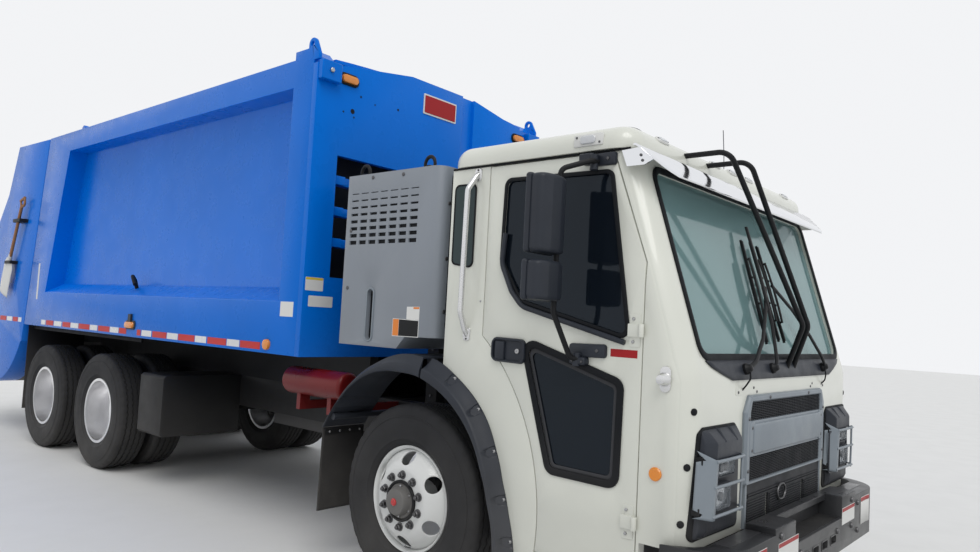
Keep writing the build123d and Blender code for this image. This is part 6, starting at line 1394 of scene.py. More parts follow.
# Painted shade: a black sheet right behind each mesh opening stands for the shade behind the grille.
grille_shade_sheets = [grille.plate(box_loop(-0.55, 0.55, low, high), 0.003)
         for low, high in ((0.845, 0.968), (1.132, 1.232))]
piece("grille_shade_backing", grille_shade_sheets, "cab", seal_rubber)
piece("grille_mesh", [mesh_patch(0.545, 0.848, 0.962), mesh_patch(0.540, 1.138, 1.228)], "cab", grille_dark)
frame_spots = [(side * y, z) for side in (RIGHT, LEFT)
               for y, z in ((0.30, 1.246), (0.570, 1.150), (0.570, 0.900), (0.53, 1.105), (0.53, 0.995))]
piece("grille_bolts", grille.heads(frame_spots, 0.009, 0.006, 0.023), "cab", nut_dark)

# %% [markdown]
# ## Apron and tow eye
# The apron hangs in front of the two towers that the cab tilts on, so it has a narrow notch
# for each of them. Slats cross each span, and a small towing eye stands in the middle.

# %% Apron and tow eye
TOWER = (0.2525, 0.2875)
SPANS = ((-0.552, -TOWER[1]), (-TOWER[0], TOWER[0]), (TOWER[1], 0.552))


def slat_at(a, b, z):
    """One thin slat standing out of the apron."""
    return grille.plate(box_loop(a, b, z, z + 0.006), 0.007, 0.009)


apron = [grille.plate(box_loop(a, b, 0.626, 0.757), 0.009) for a, b in SPANS]
apron.append(grille.plate(box_loop(-0.552, 0.552, 0.757, 0.834), 0.009))
apron += [slat_at(a + 0.008, b - 0.008, z) for a, b in SPANS for z in np.arange(0.6315, 0.750, 0.0125)]
apron += [slat_at(-0.54, 0.54, z) for z in (0.764, 0.7765)]
piece("grille_apron", apron, "cab", grille_dark, bevel=0.001)
strips = [grille.plate(box_loop(y - 0.011, y + 0.011, 0.626, 0.850), 0.015, 0.0, 0.002)
          for y in (-0.565, 0.565)]
piece("grille_side_strips", strips, "cab", grille_grey)
turn = circle(24)
eye = grille.at(np.stack([-0.10 + 0.058 * np.cos(turn), 0.745 + 0.040 * np.sin(turn)], -1), 0.024)
piece("tow_eye", hoop_patch(eye, 0.0055, grille.out), "cab", nut_dark)
PANEL_SPOTS = ((-0.660, 1.280), (-0.470, 1.297), (-0.428, 1.276), (0.400, 1.277), (0.428, 1.293),
               (0.601, 1.286), (0.627, 1.276), (-0.609, 1.293), (0.606, 1.288))
piece("front_panel_bolts", grille.heads(PANEL_SPOTS, 0.0075, 0.005), "cab", nut_dark)
service = grille.plate(box_loop(-0.69, 0.645, 1.266, 1.331, 0.006, 3), 0.0015)
piece("front_service_plate", service, "cab", cab_white)

# %% [markdown]
# ## Headlamps
# Each headlamp is a black hooded housing with two ribs on its hood, in a flange that wraps
# round the cab's corner. The housing is a loft: one outline per height, so the hood can stand
# out over the lamps. The flange is drawn flat, as rings one inside the other, and then every
# point past the corner's start is moved back on the corner's circle.

# %% Headlamp housings
HOOD_OUT = GRILLE_FACE + 0.059
# Columns: height z, how far the front stands at that height, and the rounding of its corners
HOUSING = ((0.670, 0.012, 0.010), (0.676, 0.022, 0.014), (0.702, 0.034, 0.016), (1.002, 0.032, 0.016),
           (1.007, 0.058, 0.020), (1.012, 0.059, 0.022), (1.072, 0.059, 0.024), (1.083, 0.054, 0.026),
           (1.116, 0.026, 0.024), (1.127, 0.014, 0.020), (1.132, 0.004, 0.016))
FLANGE = [(0.646, 0.656), (1.124, 0.656), (1.088, 1.118), (1.052, 1.142), (0.700, 1.142), (0.668, 1.112)]
FLANGE_RINGS = ((0, -0.004), (0, 0.004), (0.003, 0.007), (0.015, 0.007), (0.03, 0.007),
                (0.05, 0.007), (0.08, 0.007))


def housing_patch():
    """One outline in (x, y) per height: back, inner front, outer front cut at a slant, outer back.

    The outer edge leans in as it rises, by 8 centimetres for each metre of height.
    """
    back = FRONT_X + 1.640
    rows = []
    for z, stand, ease in HOUSING:
        out = 1.108 - (z - 0.670) * 0.080
        front = GRILLE_FACE + stand
        slant = max(0.35 * stand + 0.05, 0.02)
        corners = [(back, 0.672), (front, 0.684 + 0.8 * stand), (front, out - slant),
                   (front - 0.5 * stand, out - 0.012), (back - 0.02, out)]
        loop = rounded_loop(corners, ease * 0.7, 5)
        rows.append(np.column_stack([loop, np.full(len(loop), z)]))
    return stacked(rows)


def flange_patch():
    """Flat rings drawn in step by step, then wrapped on a circle of 0.12 from y = 1.05 outwards."""
    rim = rounded_loop(FLANGE, 0.03, 6)
    points = np.stack([grille.at(grown(rim, -draw), deep) for draw, deep in FLANGE_RINGS])
    past = np.clip(points[..., 1] - 1.05, 0, 0.118)
    points[..., 0] -= 0.12 - np.sqrt(0.12 ** 2 - past ** 2)
    return stacked(points)


housings = [flipped(housing_patch(), side) for _, side in SIDES]
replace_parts(piece("headlamp_housings", housings, "cab", moulded_black, angle=28, bevel=0.002), "headlamps")
piece("headlamp_flanges", [flipped(flange_patch(), side) for _, side in SIDES], "cab", seal_rubber)

# %% [markdown]
# ## Lamps under the hood
# Two square lamps sit under the hood, each a mirror-bright box with bulb caps under a clear
# cover, in a black bezel. They are drawn once for the left side and turned over for the right.

# %% Headlamp ribs and lamps
BULB = [(0, 0.006), (0.020, 0.006), (0.020, 0.016), (0.014, 0.021), (0, 0.022)]
# Columns: y from and to, height from and to, how far the cover stands, ease of the cover's rim
LAMPS = ((0.806, 0.972, 0.930, 0.998, 0.026, 0.010), (0.850, 1.000, 0.782, 0.890, 0.030, 0.012))
lamp_face = front_wall(LAMP_FACE)
RIM_OUT = [(0.668, 0.742), (1.046, 0.742), (1.036, 0.998), (0.668, 0.998)]
RIM_IN = [(0.680, 0.754), (1.034, 0.754), (1.024, 0.988), (0.680, 0.988)]
parts = [lamp_face.collar(rounded_loop(RIM_OUT, 0.02, 4), rounded_loop(RIM_IN, 0.014, 4), 0.007)]
for y in (0.790, 0.915):
    rib = [(GRILLE_FACE + 0.004, y, 1.124), (GRILLE_FACE + 0.018, y, 1.121), (HOOD_OUT - 0.007, y, 1.072)]
    parts.append(tube_patch(rounded_path(rib, 0.02, 4), 0.0105, 8, up=(0, 1, 0)))
boxes = [lamp_face.plate(box_loop(*edges, 0.012), 0.009, 0.0, 0.006) for *edges, _, _ in LAMPS]
covers = [lamp_face.plate(box_loop(*edges, 0.012), deep, 0.0, ease) for *edges, deep, ease in LAMPS]
bezels = [lamp_face.collar(box_loop(a - 0.010, b + 0.010, c - 0.010, d + shift, 0.014),
                           box_loop(a, b, c, d + shift - 0.010, 0.010), 0.020)
          for (a, b, c, d, _, _), shift in zip(LAMPS, (0.008, 0.010))]
bulbs = [lamp_face.knob(BULB, spot) for spot in ((0.930, 0.962), (0.885, 0.964), (0.925, 0.836))]
for hand, side in SIDES:
    piece(f"headlamp_{hand}_mouldings", flipped(joined(parts), side), "cab", moulded_black)
    piece(f"headlamp_{hand}_reflectors", flipped(joined(boxes), side), "cab", lamp_mirror, bevel=0.001)
    piece(f"headlamp_{hand}_bulb_caps", flipped(joined(bulbs), side), "cab", nut_dark)
    piece(f"headlamp_{hand}_lenses", flipped(joined(covers), side), "cab", clear_cover)
    piece(f"headlamp_{hand}_bezels", flipped(joined(bezels), side), "cab", moulded_black)

# %% [markdown]
# ## Headlamp guards
# A folded grey guard covers each lamp: its plate has two cut corners with brackets, and three
# bars run from its fold and meet at an upright rod. Both guards have one hand, as on the real
# truck, so the left one is the right one moved across.

# %% Headlamp guards
GUARD_SHIFT = 1.78


def guard_sheet(columns=9, rows=25):
    """Folded plate: a line from its outer edge to its fold and a short lip, both leaning in as they rise.

    Its outer corners are cut: where the share of the height is near either end, the outer edge starts
    further along the plate, which leaves the two notches for the brackets.
    """
    share = np.linspace(0, 1, rows)[:, None]
    notch = np.clip(1 - np.abs(share - 0.075) / 0.05, 0, 1) + np.clip(1 - np.abs(share - 0.915) / 0.05, 0, 1)
    start = 0.42 * np.minimum(notch * 2.5, 1)
    along = start + (1 - start) * np.linspace(0, 1, columns)[None, :]
    flat = np.minimum(along / 0.86, 1)
    lip = np.maximum((along - 0.86) / 0.14, 0)
    x = FRONT_X + 1.676 + 0.061 * flat + 0.001 * lip
    y = 1.102 - 0.065 * flat - 0.022 * lip + 0.027 * (1 - share)
    z = 0.754 + 0.012 * (1 - flat) + share * (0.256 + 0.026 * (1 - flat))
    return np.stack([x, y, z], -1)


def guard_bar(route, radius, sides=10, ease=0.0, up=(0, 0, 1)):
    """Bar through points whose x is given from the front axle."""
    path = np.array(route) + (FRONT_X, 0, 0)
    return tube_patch(rounded_path(path, ease, 4) if ease else path, radius, sides, up)


def guard_place(patch, side):
    """The guard of the right lamp, or the same one moved across for the left lamp."""
    return moved(flipped(patch, RIGHT), (0, GUARD_SHIFT if side == LEFT else 0, 0))


bars = [guard_bar([(1.736, outer, z), (1.740, 0.92, z), (1.740, 0.74, z), (1.735, inner, z)],
                  0.0075, 10, 0.02)
        for z, outer, inner in ((1.001, 1.034, 0.738), (0.892, 1.050, 0.742), (0.768, 1.064, 0.756))]
rod = [(1.738, 0.768, 0.756), (1.739, 0.762, 0.885), (1.738, 0.758, 1.014)]
bars.append(guard_bar(rod, 0.006, up=(1, 0, 0)))
bars += [guard_bar([(1.676, 0.716, z), (1.722, 0.716, z), (1.738, 0.742, z)], 0.0055, 8, 0.008)
         for z in (1.001, 0.768)]
feet = [block_patch((FRONT_X + 1.660, out - 0.045, z), (FRONT_X + 1.698, out + 0.004, z + 0.034))
        for z, out in ((0.772, 1.108), (0.986, 1.088))]
for hand, side in SIDES:
    piece(f"headlamp_{hand}_guard_plate", guard_place(grid_patch(guard_sheet()), side), "cab", grille_grey,
          thickness=0.005, outward=False)
    piece(f"headlamp_{hand}_guard_bars", guard_place(joined(bars), side), "cab", grille_grey)
    piece(f"headlamp_{hand}_guard_feet", guard_place(joined(feet), side), "cab", frame_black, bevel=0.003)

# %% [markdown]
# ## Mirrors
# Each door carries a tall main mirror and a square wide-angle one on the same bent tube. A
# housing is a loft: its section is a rounded rectangle in X and Y, and over its height the
# section shrinks at both ends along a quarter ellipse, so the shell closes softly. The glass
# sits in the flat rear face, inside a shallow rim.

# %% Mirror shells
def shell_loft(low, high, ease, corner, bulge, side, steps=7):
    """Closed housing between two corners: sections shrink near both ends by ease times 1 minus a sine."""
    low, high = np.sort([np.multiply(low, (1, side, 1)), np.multiply(high, (1, side, 1))], axis=0)
    middle, half = (low + high) / 2 + (FRONT_X, 0, 0), (high - low) / 2
    turn = np.linspace(0.12, np.pi / 2, steps)
    levels = np.concatenate([low[2] + ease * (1 - np.cos(turn)), high[2] - ease * (1 - np.cos(turn[::-1]))])
    shrink = np.concatenate([ease * (1 - np.sin(turn)), ease * (1 - np.sin(turn[::-1]))])
    rows = []
    for z, pull in zip(levels, shrink):
        a, b = half[0] - pull * 0.6, half[1] - pull
        cut = a * (1 - bulge)
        corners = [(-a, -b), (cut, -b), (a, -b * 0.35), (a, b * 0.35), (cut, b), (-a, b)]
        loop = rounded_loop(corners, corner, 6)
        rows.append(np.column_stack([loop + middle[:2], np.full(len(loop), z)]))
    return stacked(rows)


# %% Mirror sets
# Columns: foot and top of the head, and its outer edge
HEADS = ((1.878, 2.244, 1.534), (1.662, 1.848, 1.538))
ARM = ((1.165, 1.176, 2.340), (1.165, 1.240, 2.338), (1.066, 1.352, 2.286), (1.064, 1.352, 1.610),
       (1.085, 1.232, 1.405), (1.120, 1.182, 1.400))
# Columns: outline, its rounding and steps, how far it stands out, ease of its rim
BRACKETS = (
    ([(1.140, 2.322), (1.262, 2.322), (1.262, 2.384), (1.140, 2.384)], 0.012, 0.020, 0.006),
    ([(1.072, 2.334), (1.152, 2.326), (1.152, 2.386), (1.072, 2.386)], 0.014, 0.052, 0.010),
    ([(1.047, 1.409), (1.250, 1.413), (1.250, 1.478), (1.047, 1.474)], 0.016, 0.022, 0.007),
    ([(1.062, 1.374), (1.152, 1.372), (1.152, 1.412), (1.062, 1.414)], 0.012, 0.040, 0.008),
)
# Columns: x, distance from the wall, three heights
PIVOTS = ((1.155, 0.035, (2.300, 2.340, 2.372)), (1.100, 0.028, (1.368, 1.400, 1.430)))
for hand, side in SIDES:
    body, wall = f"{hand}_door", side_wall(side)
    shells = [shell_loft((1.012, 1.326, low + 0.003), (1.111, wide - 0.006, high - 0.003),
                         0.022, 0.035, 0.32, side) for low, high, wide in HEADS]
    rims = [shell_loft((1.004, 1.322, low), (1.034, wide, high), 0.014, 0.010, 0.05, side)
            for low, high, wide in HEADS]
    glasses = [front_wall(FRONT_X + 1.005).plate(
        box_loop(side * 1.338, side * (wide - 0.016), low + 0.016, high - 0.016, 0.03, 5), -0.003)
        for low, high, wide in HEADS]
    head = piece(f"{hand}_mirror_shells", shells, body, moulded_black, angle=40)
    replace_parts(head, f"mirrors_{hand}")
    piece(f"{hand}_mirror_rims", rims, body, moulded_black, angle=40)
    piece(f"{hand}_mirror_glass", glasses, body, mirror_glass)
    arm = rounded_path(np.array(ARM) * (1, side, 1) + (FRONT_X, 0, 0), 0.045, 7)
    piece(f"{hand}_mirror_arm", tube_patch(arm, 0.013, 16, up=(0.3, 0.1, 1)), body, frame_black)
    parts = [wall.plate(rounded_loop(outline, corner, 5), deep, ease=ease)
             for outline, corner, deep, ease in BRACKETS]
    parts += [tube_patch([wall.at((x, z), out) for z in heights], 0.020, 14, up=(1, 0, 0))
              for x, out, heights in PIVOTS]
    piece(f"{hand}_mirror_brackets", parts, body, moulded_black)
    small = [(1.092, 2.372), (1.092, 2.348), (1.082, 1.392), (1.136, 1.390)]
    knobs = [wall.heads([(1.222, 2.353), (1.206, 1.445)], 0.011, 0.006, 0.020, 4),
             wall.heads(small, 0.006, 0.005, 0.040)]
    piece(f"{hand}_mirror_bolts", knobs, body, nut_dark)

# %% [markdown]
# ## Cooling box
# The grey cabinet behind the cab has lifting eyes, screws, blank labels and louvres. The dark
# in the louvres and the side slot is painted shade: a thin dark sheet set just inside the sheet
# metal, behind each slot. A dark slatted panel of painted shade covers its front face.
# The slots grow taller down the first rows and then a little more, as in the photograph.

# %% Lifting eyes
EYE_SPOTS = [(x, side * 1.165) for x in (-0.572, 0.002) for side in (-1, 1)]
COLLAR = [(0, 0), (0.024, 0), (0.024, 0.008), (0.014, 0.014), (0, 0.014)]


def eye_ring(x, y, z, radius=0.040, wire=0.010):
    """Lifting eye: a ring in X and Z, a little taller than wide."""
    turn, spin = circle(32)[:, None], circle(12)[None, :]
    out = radius + wire * np.cos(spin)
    return stacked(np.stack([x + out * np.cos(turn), y + wire * np.sin(spin) + 0 * turn,
                             z + 1.15 * out * np.sin(turn)], -1), closed=True)


eyes = [eye_ring(FRONT_X + x, y, 2.448) for x, y in EYE_SPOTS]
eyes += [revolved(COLLAR, (FRONT_X + x, y, 2.429), (0, 0, 1), 20, up=(0, 1, 0)) for x, y in EYE_SPOTS]
piece("cooling_box_eyes", eyes, "chassis", frame_black)

# %% Louvres, slot and labels
POCKET = box_loop(-0.442, -0.388, 1.405, 1.715, 0.026, 7)
# Columns: kind, how far it stands out, outline
LABELS = (
    ("labels", 0.001, [(-0.085, 1.541), (0.020, 1.543), (0.020, 1.618), (-0.085, 1.616)]),
    ("labels", 0.001, [(-0.200, 1.441), (0.020, 1.443), (0.020, 1.541), (-0.200, 1.545)]),
    ("bands", 0.0014, [(-0.030, 1.604), (0.018, 1.605), (0.018, 1.616), (-0.030, 1.615)]),
    ("bands", 0.0014, [(-0.197, 1.445), (-0.148, 1.445), (-0.148, 1.542), (-0.197, 1.542)]),
    ("fields", 0.0014, [(-0.146, 1.445), (0.016, 1.447), (0.016, 1.537), (-0.146, 1.541)]),
)
box_walls = [side_wall(side, BOX_SIDE) for _, side in SIDES]


def label_plates(kind):
    """All plates of one kind, on both sides of the box."""
    return [wall.plate(outline, deep) for wall in box_walls for name, deep, outline in LABELS if name == kind]


# Painted shade: a dark sheet behind the side slot and behind every louvre stands for the shade in their depth.
shade_sheets = [wall.plate(grown(POCKET, -0.001), 0.003, -0.030) for wall in box_walls]
for row in range(8):
    high = (6 + 14 * min(row, 4) / 4 + 5 * max(row - 4, 0) / 3) / 2000 - 0.0005
    z = 2.312 - row * 0.044
    for x in -0.345 + (np.arange(7) - 3) * 0.090:
        slot = box_loop(x - 0.0325, x + 0.0325, z - high, z + high)
        shade_sheets += [wall.plate(slot, 0.002, -0.012) for wall in box_walls]
piece("cooling_box_shade_sheets", shade_sheets, "chassis", seal_rubber)
for (hand, _), wall in zip(SIDES, box_walls):
    rim = wall.collar(grown(POCKET, 0.010), grown(POCKET, -0.001), 0.005)
    piece(f"cooling_box_{hand}_slot_rim", rim, "chassis", grille_grey)
screw_spots = [(-0.458, 2.405), (-0.183, 2.401), (-0.640, 2.08), (-0.640, 1.72)]
screws = [wall.heads(screw_spots, 0.012, 0.005) for wall in box_walls]
piece("cooling_box_screws", screws, "chassis", nut_dark)
piece("cooling_box_labels", label_plates("labels"), "chassis", label_white)
piece("cooling_box_label_bands", label_plates("bands"), "chassis", label_orange)
piece("cooling_box_label_fields", label_plates("fields"), "chassis", frame_black)

# %% Front shade panel and legs
box_front = front_wall(FRONT_X + 0.130)
# Painted shade: a dark slatted panel over the box's front face stands for the shade that face is in, turned
# towards the cab's back.
front_shade_panel = [box_front.plate(box_loop(-1.105, 1.105, 1.50, 2.39, 0.02), 0.003, 0.0, 0.004)]
front_shade_panel += [box_front.plate(box_loop(-1.09, 1.09, z, z + 0.010), 0.003, 0.003)
         for z in np.arange(1.53, 2.37, 0.028)]
piece("cooling_box_front_shade", front_shade_panel, "chassis", grille_dark)
LEG_SPOTS = [(side, x) for side in (-1, 1) for x in (-0.660, -0.300)]
legs = [block_patch((FRONT_X + x - 0.004, side * 0.345, 0.951), (FRONT_X + x + 0.104, side * 0.436, 1.3685))
        for side, x in LEG_SPOTS]
piece("cooling_box_leg_jackets", legs, "chassis", frame_black, bevel=0.004)
LEG_HEAD = [(0, -0.001), (0.011, -0.001), (0.011, 0.006), (0.009, 0.009), (0, 0.009)]
heads = [side_wall(side, 0.436).knob(LEG_HEAD, (x + 0.05, z), sides=6)
         for side, x in LEG_SPOTS for z in (1.02, 1.10, 1.28, 1.34)]
piece("cooling_box_leg_bolts", heads, "chassis", nut_dark)
heads = [(side * 1.118, z) for side in (-1, 1) for z in (2.218, 1.90, 1.596)]
piece("cooling_box_front_screws", box_front.heads(heads, 0.012, 0.005), "chassis", nut_dark)

# %% [markdown]
# ## Front bumper
# The bumper is folded plate with a gritty black coat on its upper faces, domed bolts, and
# blank labels with a red strip. The two outer labels wrap round the bumper's corners, so they
# are grids that follow the corner's circle. The grit is a coarse grain in its finish.

# %% Bumper labels and bolts
BUMPER_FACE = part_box("front_bumper")[1][0]
bumper = front_wall(BUMPER_FACE)
print("bumper face", round(BUMPER_FACE - FRONT_X, 3))
LABEL_PLACES = ((-0.617, -0.345, 0.500, 0.606), (0.385, 0.630, 0.520, 0.612))
fields = [bumper.plate(box_loop(*edges), 0.0012) for edges in LABEL_PLACES]
strips = [bumper.plate(box_loop(a + 0.003, b - 0.003, high - 0.022, high - 0.003), 0.0017)
          for a, b, _, high in LABEL_PLACES]
piece("bumper_labels", fields, "chassis", label_white)
piece("bumper_label_strips", strips, "chassis", sign_red)


def wing_x(y):
    """The bumper's front in plan near its ends: the circle through three known points of its corner."""
    ends = np.array([(0.0, 0.880), (-0.075, 1.120), (-0.240, 1.200)])
    squares = (ends[1:] ** 2).sum(1) - (ends[0] ** 2).sum()
    centre = np.linalg.solve(2 * (ends[1:] - ends[0]), squares)
    radius = np.linalg.norm(ends[0] - centre)
    curve = centre[0] + np.sqrt(np.maximum(radius ** 2 - (np.abs(y) - centre[1]) ** 2, 0))
    return BUMPER_FACE + np.where(np.abs(y) > 0.880, curve, 0.0)


def wing_label(a, b, low, high, deep):
    """Sheet wrapped round the bumper's corner: rows up the label, columns along the curve."""
    y, z = np.linspace(a, b, 13)[None, :], np.linspace(low, high, 3)[:, None]
    return grid_patch(np.stack([wing_x(y) + deep + 0 * z, y + 0 * z, z + 0 * y], -1))


# Columns: name, y from and to, height from and to, how far it stands out, finish
WING_LABELS = (("label", (0.765, 0.935), (0.462, 0.620), 0.0012, label_white),
               ("label_strip", (0.768, 0.932), (0.594, 0.617), 0.0022, sign_red))
for hand, side in SIDES:
    for name, ends, heights, deep, finish in WING_LABELS:
        wing = wing_label(side * ends[0], side * ends[1], *heights, deep)
        piece(f"bumper_{hand}_wing_{name}", wing, "chassis", finish, thickness=0.001, outward=False)
BUMPER_SPOTS = ((-0.582, 0.636), (0.572, 0.636), (0.574, 0.489), (-0.582, 0.470), (-0.300, 0.504),
                (0.300, 0.504), (-0.86, 0.60), (-0.86, 0.44), (0.70, 0.60), (0.70, 0.44))
piece("bumper_bolts", bumper.heads(BUMPER_SPOTS, 0.016, 0.011, sides=14), "chassis", nut_dark)

# %% Bumper tops and windows
# Columns: y from and to, height, x from and to, all from the front axle
TOPS = ((-0.648, -0.388, 0.6765, 1.724, 1.861), (0.388, 0.648, 0.6765, 1.724, 1.861),
        (-0.378, 0.378, 0.5602, 1.724, 1.861), (-1.02, -0.66, 0.6502, 1.724, 1.800),
        (0.66, 1.02, 0.6502, 1.724, 1.800), (-0.386, 0.386, 0.6767, 1.724, 1.771))
tops = [block_patch((FRONT_X + c, a, z), (FRONT_X + d, b, z + 0.0015)) for a, b, z, c, d in TOPS]
piece("bumper_tops", tops, "chassis", bumper_grit)
ledge = [block_patch((FRONT_X + 1.723, -0.386, 0.642), (FRONT_X + 1.772, 0.386, 0.6765)),
         block_patch((FRONT_X + 1.7235, -0.386, 0.558), (FRONT_X + 1.7365, 0.386, 0.644))]
piece("bumper_back_ledge", ledge, "chassis", bumper_black, bevel=0.003)
recess = block_patch((FRONT_X + 1.737, -0.374, 0.5604), (FRONT_X + 1.846, 0.374, 0.5634))
piece("bumper_recess_mat", recess, "chassis", seal_rubber)
WINDOW_Y = (-0.225, -0.075, 0.075, 0.225)
rims = [bumper.collar(box_loop(y - 0.052, y + 0.052, 0.443, 0.497, 0.012),
                      box_loop(y - 0.044, y + 0.044, 0.451, 0.489, 0.008), 0.003) for y in WINDOW_Y]
# Painted shade: a dark sheet deep in each window stands for the shade inside the bumper.
shade_sheets = [bumper.plate(box_loop(y - 0.0445, y + 0.0445, 0.4505, 0.4895), 0.002, -0.028) for y in WINDOW_Y]
piece("bumper_window_rims", rims, "chassis", bumper_black)
piece("bumper_window_shade_sheets", shade_sheets, "chassis", seal_rubber)

# %% [markdown]
# ## Seats
# A seat cushion is a crowned closed form. Its top and bottom are two grids with one rim: the
# height falls to the rim along a flattened dome, the plan pulls in between the corners, and
# each sewn channel is a narrow dip. A cord of piping follows the rim. Cloth would give the same
# crown, but these pads are only seen through dark glass, so the formula is enough.

# %% Seat pads
PULL = 0.03


def drawn_in(u, v):
    """Plan of a pad: each side is pulled in between its corners by a parabola."""
    return u * (1 - PULL * (1 - v ** 2)), v * (1 - PULL * (1 - u ** 2))


def pad_patch(centre, across, along, normal, crown, belly, channels, depth=0.12, count=41):
    """Pad about a centre on three directions, the lengths of which are half its width, length and depth."""
    share = np.linspace(-1, 1, count)
    u, v = np.meshgrid(share, share, indexing="ij")
    wide, long = drawn_in(u, v)
    dome = ((1 - np.abs(u) ** 6) * (1 - np.abs(v) ** 6)) ** 0.5
    dips = sum((depth * np.exp(-((v - place) / 0.035) ** 2) for place in channels), 0 * u)
    dips = dips + 0.10 * np.exp(-((np.abs(u) - 0.62) / 0.04) ** 2)
    top = crown * dome * (1 + 0.10 * (1 - u ** 2)) - dips * (dome > 0.05) * crown
    base = centre + wide[..., None] * across + long[..., None] * along
    sheets = (base + top[..., None] * normal, base - (belly * dome)[..., None] * normal)
    return joined([grid_patch(sheet) for sheet in sheets])


def pad_rim(centre, across, along, normal, count=33):
    """Piping: a closed tube along the pad's rim, corner to corner on all four sides."""
    share = np.linspace(-1, 1, count)[:-1]
    one = np.ones(count - 1)
    u = np.concatenate([share, one, -share, -one])
    v = np.concatenate([-one, share, one, -share])
    wide, long = drawn_in(u, v)
    path = centre + 1.002 * (wide[:, None] * across + long[:, None] * along)
    return hoop_patch(path, 0.0045, unit(normal))


print("piping follows", 4 * 32, "points")

# %% Seats
BACK_RUN = np.array((-0.030, 0, 0.238))
BACK_OUT = unit(np.cross((0, 1.0, 0), BACK_RUN))
# Columns: name, place (x, z), half width, half length as a direction, normal, crown, belly, channels, depth
PADS = (
    ("cushion", (0.540, 1.352), 0.218, (0.178, 0, 0.004), (-0.01, 0, 1.0), 0.040, 0.045,
     (-0.45, 0.0, 0.45), 0.12),
    ("back", (0.397, 1.622), 0.215, BACK_RUN, BACK_OUT, 0.050, 0.045, (-0.5, -0.1, 0.3, 0.7), 0.12),
    ("headrest", (0.352, 1.958), 0.135, (-0.010, 0, 0.088), BACK_OUT, 0.040, 0.040, (0.0,), 0.10),
)
pipings, bases = [], []
for hand, side in SIDES:
    middle = side * 0.700
    for name, (x, z), half, along, normal, *shape in PADS:
        place = [np.array(row, float) for row in ((FRONT_X + x, middle, z), (0, half, 0), along, normal)]
        pad = piece(f"seat_{hand}_{name}", pad_patch(*place, *shape), "cab", seat_fabric, angle=60)
        pipings.append(pad_rim(*place))
    bases += [block_patch((FRONT_X + 0.345, middle - 0.205, 1.222), (FRONT_X + 0.705, middle + 0.205, 1.312)),
              block_patch((FRONT_X + 0.46, side * 0.42, 1.20), (FRONT_X + 0.69, side * 0.49, 1.228))]
    for shift in (-0.06, 0.06):
        post = [(FRONT_X + x, middle + shift, z) for x, z in ((0.358, 1.84), (0.354, 1.89), (0.350, 1.93))]
        bases.append(tube_patch(post, 0.008, 10, up=(0, 1, 0)))
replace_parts(piece("seat_bases", bases, "cab", interior_dark, bevel=0.006), "seats")
piece("seat_piping", pipings, "cab", seal_rubber)

# %% [markdown]
# ## Floor
# The truck stands on a plain pale floor, a single flat sheet much wider than the view. It isn't
# part of the object.

# %% Floor
floor_finish = Finish("studio_floor", (0.74, 0.74, 0.73), 0.7)
floor_speckle = floor_finish.noise(3.0, 6.0)
floor_finish.wash(floor_finish.ramp(floor_speckle, 0.4, 0.7, 0.0, 0.5), (0.70, 0.70, 0.69))
floor_finish.vary_roughness(floor_speckle, 0.62, 0.78)
line = np.linspace(-45.0, 45.0, 25)
x, y = np.meshgrid(line, line, indexing="ij")
floor = object_from("studio_floor", *grid_patch(np.stack([x, y, 0 * x], -1)), floor_finish.material)
print("floor faces up" if floor.data.polygons[0].normal.z > 0 else "floor faces down")

# %% [markdown]
# ## Light
# The photograph was taken under an even overcast sky. The world is that sky: seen directly, or
# in glass and chrome, it is white, while what it sheds on the truck is a plain level. One wide
# soft sun from the front right adds the slight shading that shows which way a face turns.

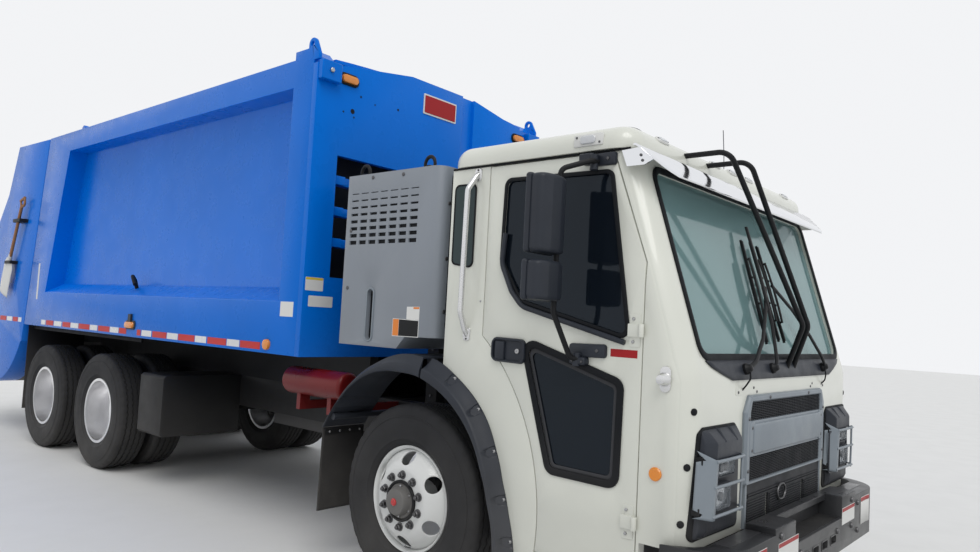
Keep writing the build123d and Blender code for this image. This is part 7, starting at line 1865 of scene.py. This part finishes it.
# %% Sky and sun
world = bpy.data.worlds.new("overcast")
bpy.context.scene.world = world
world.use_nodes = True
sky = world.node_tree
sky.nodes.clear()
path, seen_1, seen_2, shed, white, either, out = (sky.nodes.new("ShaderNode" + kind) for kind in (
    "LightPath", "Math", "Math", "Background", "Background", "MixShader", "OutputWorld"))
seen_1.operation = seen_2.operation = "MAXIMUM"
for light, colour, strength in ((shed, (0.95, 0.97, 1.0, 1.0), 0.72), (white, (0.97, 0.98, 1.0, 1.0), 0.92)):
    light.inputs["Color"].default_value = colour
    light.inputs["Strength"].default_value = strength
for start, stop in (
    (path.outputs["Is Camera Ray"], seen_1.inputs[0]), (path.outputs["Is Glossy Ray"], seen_1.inputs[1]),
    (seen_1.outputs[0], seen_2.inputs[0]), (path.outputs["Is Transmission Ray"], seen_2.inputs[1]),
    (seen_2.outputs[0], either.inputs[0]), (shed.outputs[0], either.inputs[1]),
    (white.outputs[0], either.inputs[2]), (either.outputs[0], out.inputs["Surface"]),
):
    sky.links.new(start, stop)
sun_data = bpy.data.lights.new("soft_sun", "SUN")
sun_data.energy = 1.1
sun_data.angle = math.radians(35)
sun_data.color = (1.0, 0.985, 0.96)
soft_sun = bpy.data.objects.new("soft_sun", sun_data)
bpy.context.scene.collection.objects.link(soft_sun)
soft_sun.rotation_euler = Vector((-0.55, 0.45, -0.95)).to_track_quat("-Z", "Y").to_euler()
bpy.context.scene.view_settings.view_transform = "Standard"
print("sky has", len(sky.nodes), "nodes")

# %% [markdown]
# ## Camera
# The photographer stood off the truck's front right corner with a wide lens held a little
# askew. The place, direction and roll were found by fitting known truck sizes to the picture,
# so the same numbers are set here: a heading, a slight pitch and a three degree roll.

# %% Camera
HEADING, PITCH, ROLL = (math.radians(angle) for angle in (40.725, 3.49, 3.003))
FOCAL_PIXELS, IMAGE_WIDTH, SENSOR = 744.3, 980, 36.0
ahead = (-math.sin(HEADING) * math.cos(PITCH), math.cos(HEADING) * math.cos(PITCH), math.sin(PITCH))
level = np.array([math.cos(HEADING), math.sin(HEADING), 0.0])
upright = np.cross(level, ahead)
placed = np.eye(4)
placed[:3, 0] = level * math.cos(ROLL) + upright * math.sin(ROLL)
placed[:3, 1] = -level * math.sin(ROLL) + upright * math.cos(ROLL)
placed[:3, 2] = np.negative(ahead)
placed[:3, 3] = (FRONT_X + 3.085, -4.162, 1.556)
lens_data = bpy.data.cameras.new("photo_camera")
lens_data.sensor_fit = "HORIZONTAL"
lens_data.sensor_width = SENSOR
lens_data.lens = SENSOR * FOCAL_PIXELS / IMAGE_WIDTH
lens_data.clip_end = 200.0
photo_camera = bpy.data.objects.new("photo_camera", lens_data)
bpy.context.scene.collection.objects.link(photo_camera)
photo_camera.matrix_world = Matrix(placed.tolist())
bpy.context.scene.camera = photo_camera
print("lens", round(lens_data.lens, 1), "mm")
